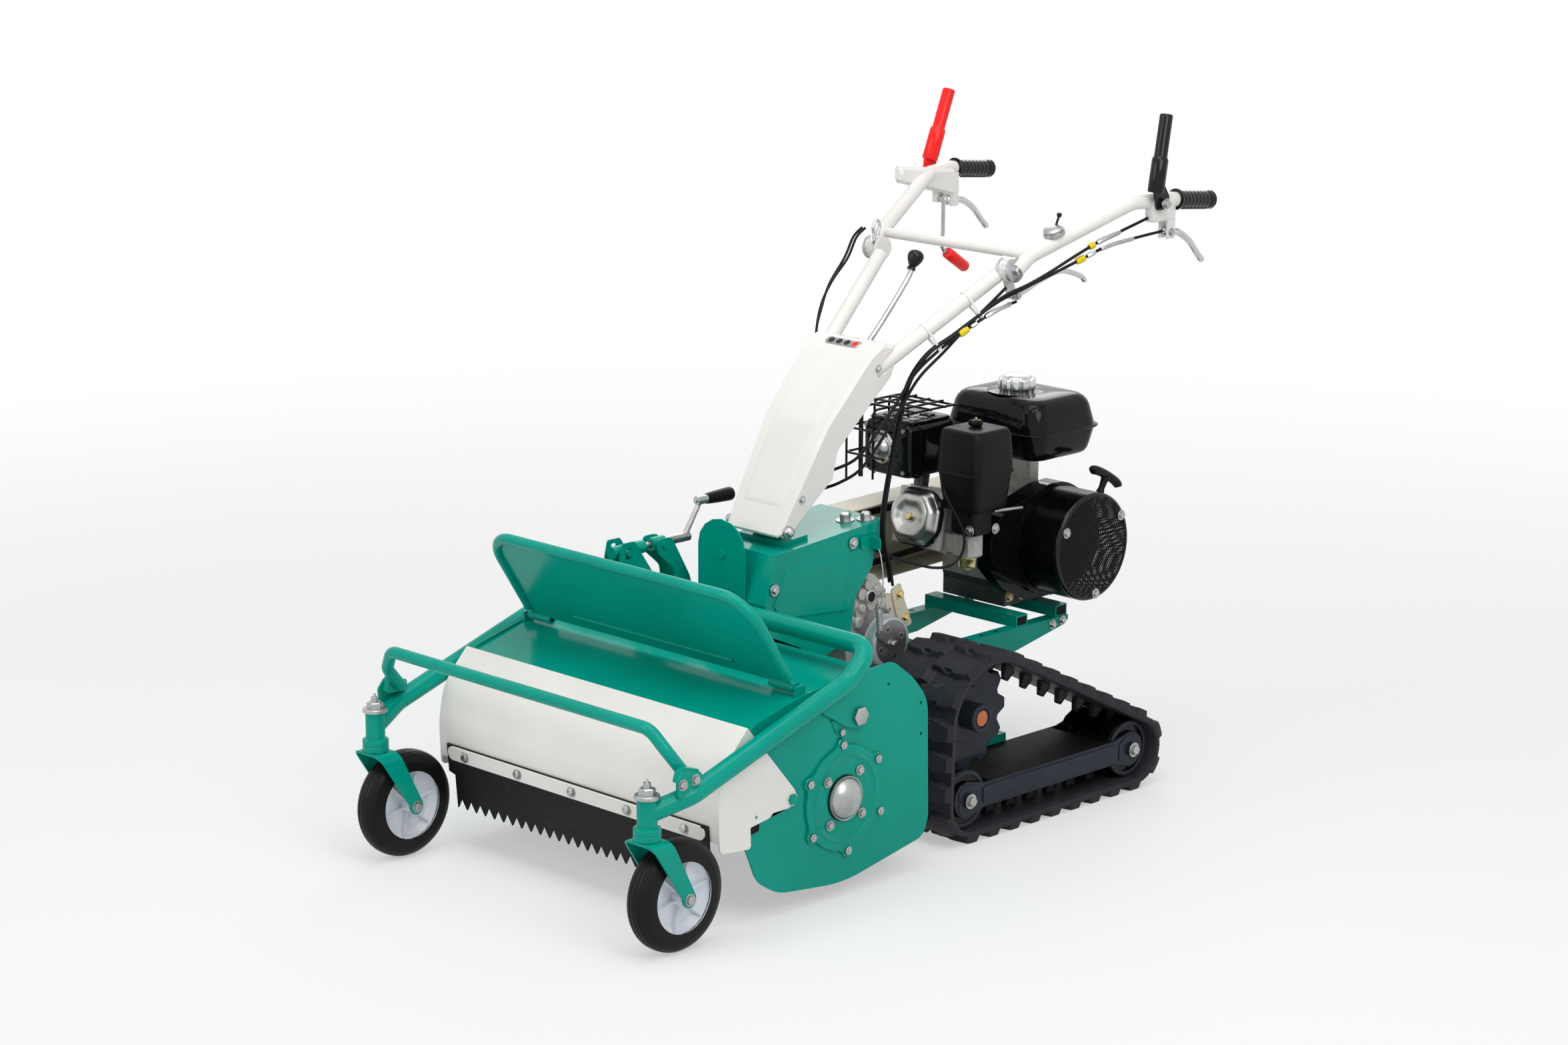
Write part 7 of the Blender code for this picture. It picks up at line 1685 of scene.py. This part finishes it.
# %% Column fittings
bolts("bracket_top_bolts", [(0.03, 0.046, 0.5478), (0.055, 0.073, 0.5499)], (0, -0.076, 0.997),
      0.02, height=0.0115, washer=1.3)
bolt_pair(("bracket_side_bolts", "bracket_side_bolts_far"),
          at_x(0.0832, [(0.0121, 0.5205), (-0.1845, 0.4695)]), 0.014, washer=1.15)
nut = [(0, 0.015), (0.004, 0.0144), (0.0074, 0.0122), (0.0092, 0.009), (0.0096, 0.006),
       (0.0108, 0.0056), (0.0108, 0), (0, 0)]
show("column_domed_nuts", both_sides(copies(lathe(nut, 40), [(0.0668, -0.139, 0.564)], X_WAY)),
     ZINC, angle=50)
for word, y, z in (("top", 0.0705, 0.8274), ("low", -0.1047, 0.6164)):
    bolt_pair(("column_screws_" + word, "column_screws_far_" + word),
              [(0.066 + (z - 0.55) * 0.066, y, z)], 0.0105, washer=1.1)


def front_panel(rows=48, columns=24):
    """A sheet on the column's front line, 0.8 mm proud, with its border rolled down."""
    line = np.array([(-0.134, 0.6045), (-0.118, 0.6317), (-0.0526, 0.7407), (-0.008, 0.789)])
    step = np.concatenate([[0], np.cumsum(np.hypot(*np.diff(line, axis=0).T))])
    s = np.linspace(0, step[-1], rows)
    yz = np.column_stack([np.interp(s, step, line[:, 0]), np.interp(s, step, line[:, 1])])
    u = np.linspace(-1, 1, columns)
    edge = np.minimum(np.minimum(s, step[-1] - s)[:, None], ((1 - np.abs(u)) * 0.05)[None])
    proud = 0.0009 * soft_step(edge, 0, 0.003) - 0.0001
    half = 0.046 + (yz[:, 1] - 0.6) * 0.05
    grid = np.empty((rows, columns, 3))
    grid[..., 0] = half[:, None] * u
    grid[..., 1] = yz[:, :1] - 0.857 * proud
    grid[..., 2] = yz[:, 1:] + 0.515 * proud
    return skin(grid)


show("column_front_panel", front_panel(), WHITE, angle=60)
plate = stacked(soft_box(0.084, 0.02, 0.0098), [(0, -0.0005), (0, 0.0004), (0.0004, 0.0007)])
seat = np.array((0, 0.069, 0.8637))
tilt = (X_WAY, (0, 0.864, 0.504), (0, -0.504, 0.864))
show("gate_plate", placed(plate, seat, *tilt), PRESSED)
spots = [(x, 0, 0.0007) for x in (-0.029, -0.01, 0.009)]
mark = lathe([(0, 0.0002), (0.0066, 0.0002), (0.0067, -0.0004), (0, -0.0004)], 32)
show("gate_spots", placed(copies(mark, spots), seat, *tilt), GLOSS_BLACK)
show("gate_spot_red", placed(copies(mark, [(0.029, 0, 0.0007)]), seat, *tilt), RED)
print("column done")

# %% [markdown]
# The crank's grip tapers, the sprocket's hub is closed by a copper plug, and the open ends of the
# engine channels are closed by dark plates, painted shade. The rail between the track's wheels is
# pressed: a raised band and a shaped plate at each axle. The wheels' outer rims stand a little
# proud.

# %% Crank, hubs and rails
turned_grip = [(0, 0.064), (0.0085, 0.064), (0.0114, 0.0628), (0.0125, 0.06), (0.0122, 0.05),
               (0.0112, 0.025), (0.0098, 0.004), (0.0092, 0.0), (0, 0.0)]
dress("crank", ZINC, drop=lambda x, y, z: (z > 0.563) & (y > -0.1009))
show("crank_grip_black", copies(lathe(turned_grip, 40), [(JACK_X, -0.107, 0.578)], Y_WAY), SATIN,
     "crank", 50)
# thin dark plates across the open ends of the engine channels: painted shade, the shadow inside each
# channel
tube_end = slab(eased([(-0.0128, -0.008), (0.0128, -0.008), (0.0128, 0.008),
                       (-0.0128, 0.008)], 0.002, 4, True), 0.1146, 0.1153)
tube_ends = copies(tube_end, [(0, y, 0.3055) for y in (0.432, 0.543)])
show("channel_end_shade", both_sides(tube_ends), DARK_AND_SHADE)
shroud = eased([(0.36, 0.418), (0.41, 0.365), (0.47, 0.333), (0.53, 0.329),
                (0.53, 0.342), (0.476, 0.35), (0.43, 0.385), (0.385, 0.43)], 0.01, 8,
               True)
show("cooling_shroud", slab(shroud, 0.059, 0.086), ENAMEL, edge=0.0015)
print("crank done")

# %% Hubs and rails
plug = lathe([(0, 0.0529), (0.0016, 0.0529), (0.0022, 0.0535), (0.0125, 0.0535), (0.0142, 0.0528),
              (0.0142, 0.0518), (0, 0.0518)], 40)
hub_ring = lathe([(0.018, 0.05), (0.018, 0.0522), (0.019, 0.0532), (0.0245, 0.0532),
                  (0.0258, 0.052), (0.0262, 0.049), (0.018, 0.049)], 48)
wheel_rim = lathe([(0.044, 0.0652), (0.0452, 0.0668), (0.0466, 0.0674), (0.0515, 0.0674),
                   (0.0528, 0.0668), (0.0534, 0.064), (0.044, 0.064), (0.044, 0.0652)], 72)
RAIL_X, RAIL_Z = 0.2978, FRONT_AXLE[1]
band = eased([(y, RAIL_Z + up) for y, up in (
    (0.126, -0.012), (0.138, -0.0165), (0.485, -0.0165), (0.496, -0.012), (0.496, 0.014),
    (0.485, 0.018), (0.138, 0.018), (0.126, 0.014))], 0.004, 5, True)
axle_plate = np.array([(-0.024, -0.0165), (-0.012, -0.027), (0.014, -0.027), (0.034, -0.014),
                       (0.034, 0.015), (0.014, 0.028), (-0.012, 0.028), (-0.024, 0.0165)])
plates = [slab(eased(axle_plate * (way, 1) + axle, 0.006, 5, True), RAIL_X, 0.2998)
          for axle, way in ((FRONT_AXLE, 1), (REAR_AXLE, -1))]
rail = joined(slab(band, RAIL_X, 0.3004), *plates)
for word, sign in SIDES:
    for name, shape, spot, finish, body in (
            ("hub_plug_", plug, SPROCKET, COPPER, "sprocket_"),
            ("hub_ring_", hub_ring, SPROCKET, NAVY, "sprocket_"),
            ("front_roller_rim_", wheel_rim, FRONT_AXLE, NAVY, "front_roller_"),
            ("rear_idler_rim_", wheel_rim, REAR_AXLE, NAVY, "rear_idler_")):
        show(name + word, copies(shape, [(sign * TRACK_X, *spot)], (sign, 0, 0)), finish,
             body + word[0], 38 if shape is plug else 60)
    show("rail_pressing_" + word, on_side(rail, sign), NAVY, edge=0.001)
bolts("rail_bolts", at_x(0.118, [(0.516, 0.2834), (0.544, 0.2864)]), X_WAY, 0.0125, height=0.005,
      washer=1.1)
# dark discs in the row of holes along each chassis rail: painted shade, the shadow inside each hole
hole = lathe([(0, 0.0003), (0.0042, 0.0003), (0.0043, -0.0003), (0, -0.0003)], 20)
holes = [(x, y, 0.295) for x in (0.106, -0.106)
         for y in (0.08, 0.105, 0.13, 0.16, 0.19, 0.25, 0.29, 0.33, 0.37)]
show("rail_hole_shade", copies(hole, holes), DARK_AND_SHADE)
print("hubs and rails done")

# %% [markdown]
# Control cables are springy: they leave a lever straight, run along the handle tubes and bend
# in wide curves. Each is a smooth line through a few places, with a round section carried along
# it. A cable that crosses the handle's clamp rides on no body. Bright adjusters,
# yellow boots and white ties sit on them.

# %% Cables
def cable(name, points, radius=0.0028, stands_for=None, across=None, count=120):
    """A cable of one radius through the points; its length is printed."""
    path = flowing(points, count)
    piece = show(name, pipe(path, radius, 12), RUBBER, angle=60, stands_for=stands_for,
                 across=across)
    line = path + (0, SHIFT, 0)
    length = np.linalg.norm(np.diff(line, axis=0), axis=1).sum()
    print(name, round(float(length), 3), "m")
    return path

# %% Cable routes
DOWN = [(0.128, 0.2168, 0.8753), (0.112, 0.165, 0.845), (0.099, 0.13, 0.795),
        (0.091, 0.113, 0.72), (0.089, 0.092, 0.63), (0.091, 0.076, 0.56),
        (0.093, 0.076, 0.51), (0.09, 0.093, 0.466), (0.068, 0.122, 0.428)]
FIRST = [(0.266, 0.625, 1.032), (0.261, 0.575, 1.028), (0.25, 0.4968, 1.019),
         (0.235, 0.44, 0.999), (0.21, 0.395, 0.976), (0.19, 0.3457, 0.9547),
         (0.165, 0.302, 0.932), (0.145, 0.261, 0.9046)] + DOWN
SECOND = [(0.264, 0.585, 1.06), (0.257, 0.53, 1.045), (0.246, 0.474, 1.028),
          (0.231, 0.424, 1.005), (0.213, 0.38, 0.98), (0.196, 0.342, 0.96),
          (0.17, 0.302, 0.9385), (0.1515, 0.261, 0.9085)]
SECOND += [(x + 0.0066, y, z + 0.0015) for x, y, z in DOWN[:-1]] + [(0.069, 0.13, 0.42)]
CLAMP_SPAN = ("chassis", "handle", (0.165, 0.302, 0.932), (0.235, 0.44, 0.999))
first = cable("control_cable_front", FIRST, across=CLAMP_SPAN, stands_for="control_cables",
              count=160)
second = cable("control_cable_rear", SECOND, across=CLAMP_SPAN, count=160)
THIRD = [(0.16, 0.3478, 0.9227), (0.16, 0.295, 0.914), (0.144, 0.24, 0.886),
         (0.124, 0.19, 0.853), (0.109, 0.14, 0.813), (0.099, 0.1, 0.76),
         (0.09, 0.056, 0.708), (0.078, 0.024, 0.672), (0.056, -0.005, 0.654),
         (0.03, -0.026, 0.645), (0.018, -0.064, 0.642)]
FOURTH = [(0.162, 0.318, 0.952), (0.154, 0.285, 0.926), (0.142, 0.24, 0.89)]
FOURTH += [(x + 0.002, y + 0.006, z - 0.006 - 0.004 * k) for k, (x, y, z) in enumerate(THIRD[3:])]
third = cable("lock_cable_upper", THIRD, count=100)
cable("lock_cable_lower", FOURTH, count=100)
cable("throttle_cable", [(0.0835, 0.064, 0.501), (0.09, 0.09, 0.487),
                         (0.0905, 0.125, 0.472), (0.091, 0.168, 0.456),
                         (0.093, 0.212, 0.442), (0.099, 0.248, 0.44),
                         (0.105, 0.272, 0.456), (0.107, 0.279, 0.486),
                         (0.098, 0.274, 0.518), (0.08, 0.269, 0.548),
                         (0.062, 0.275, 0.568), (0.05, 0.295, 0.575)], 0.0026)
for number, shift in ((1, 0.0), (2, 0.008)):
    cable("right_cable_" + str(number),
          [(-0.17 - shift, 0.3, 1.023), (-0.169 - shift, 0.276, 1.008),
           (-0.166 - shift, 0.25, 0.973), (-0.156 - shift, 0.2, 0.939 - shift),
           (-0.133, 0.148, 0.904 - shift), (-0.108, 0.11, 0.862),
           (-0.086 + shift, 0.086, 0.81), (-0.06, 0.064, 0.76),
           (-0.03 - shift, 0.02, 0.71), (-0.026, -0.016, 0.686)], 0.0024, count=90)


# %% Sleeves and ties
def sleeves(name, path, spans, finish, body, radius, sides=24):
    """Short tubes on a cable, each between two of its points; the ends are drawn in a little."""
    parts = []
    for start, stop in spans:
        part = path[start:stop]
        width = np.full(len(part), radius)
        width[[0, -1]] *= 0.86
        parts.append(pipe(part, width, sides))
    show(name, joined(*parts), finish, body, 50)


sleeves("adjusters", first, [(13, 24), (25, 29)], ZINC, "handle", 0.0048, 6)
sleeves("adjusters_upper", second, [(12, 22)], ZINC, "handle", 0.0048, 6)
sleeves("adjusters_lock", third, [(3, 15), (17, 20)], ZINC, "chassis", 0.005, 6)
sleeves("yellow_boots", first, [(29, 33)], YELLOW, "handle", 0.0066)
sleeves("yellow_boot_upper", second, [(22, 25)], YELLOW, "handle", 0.0064)
sleeves("yellow_boot_lock", third, [(20, 24)], YELLOW, "chassis", 0.0068)


def round_two(first, second, count=72):
    """The line round two circles: c + r n(t) for whichever circle reaches further along n."""
    t = np.linspace(0, 2 * np.pi, count, endpoint=False)
    n = np.column_stack([np.cos(t), np.sin(t)])
    centre = np.array([first[:2], second[:2]])
    radius = np.array([first[2], second[2]])
    pick = (n @ centre.T + radius).argmax(1)
    return centre[pick] + radius[pick, None] * n


# each tie lies in a plane square to the lower tube, round the tube and the cable beside it
ALONG = (TUBE_TOP - TUBE_FOOT) / np.linalg.norm(TUBE_TOP - TUBE_FOOT)
SIDE = np.cross(ALONG, Z_WAY)
SIDE /= np.linalg.norm(SIDE)
UNDER = np.cross(SIDE, ALONG)
for number, share in ((1, 0.52), (2, 0.79)):
    at = TUBE_FOOT + (TUBE_TOP - TUBE_FOOT) * share
    near_path = first[np.abs((first - at) @ ALONG).argmin()] - at
    bundle = (near_path @ SIDE, near_path @ UNDER)
    outer = round_two((0, 0, 0.0152), (*bundle, 0.0072))
    inner = round_two((0, 0, 0.0138), (*bundle, 0.006))
    tie = slab(outer, -0.0022, 0.0022, "Z", holes=[inner])
    lock = placed(wedge((0.007, 0.006, 0.007)), (bundle[0] + 0.004, bundle[1] - 0.0075, 0))
    show("cable_tie_" + str(number), placed(joined(tie, lock), at, SIDE, UNDER, ALONG), TIE_WHITE,
         edge=0.0004)
print("cables done")
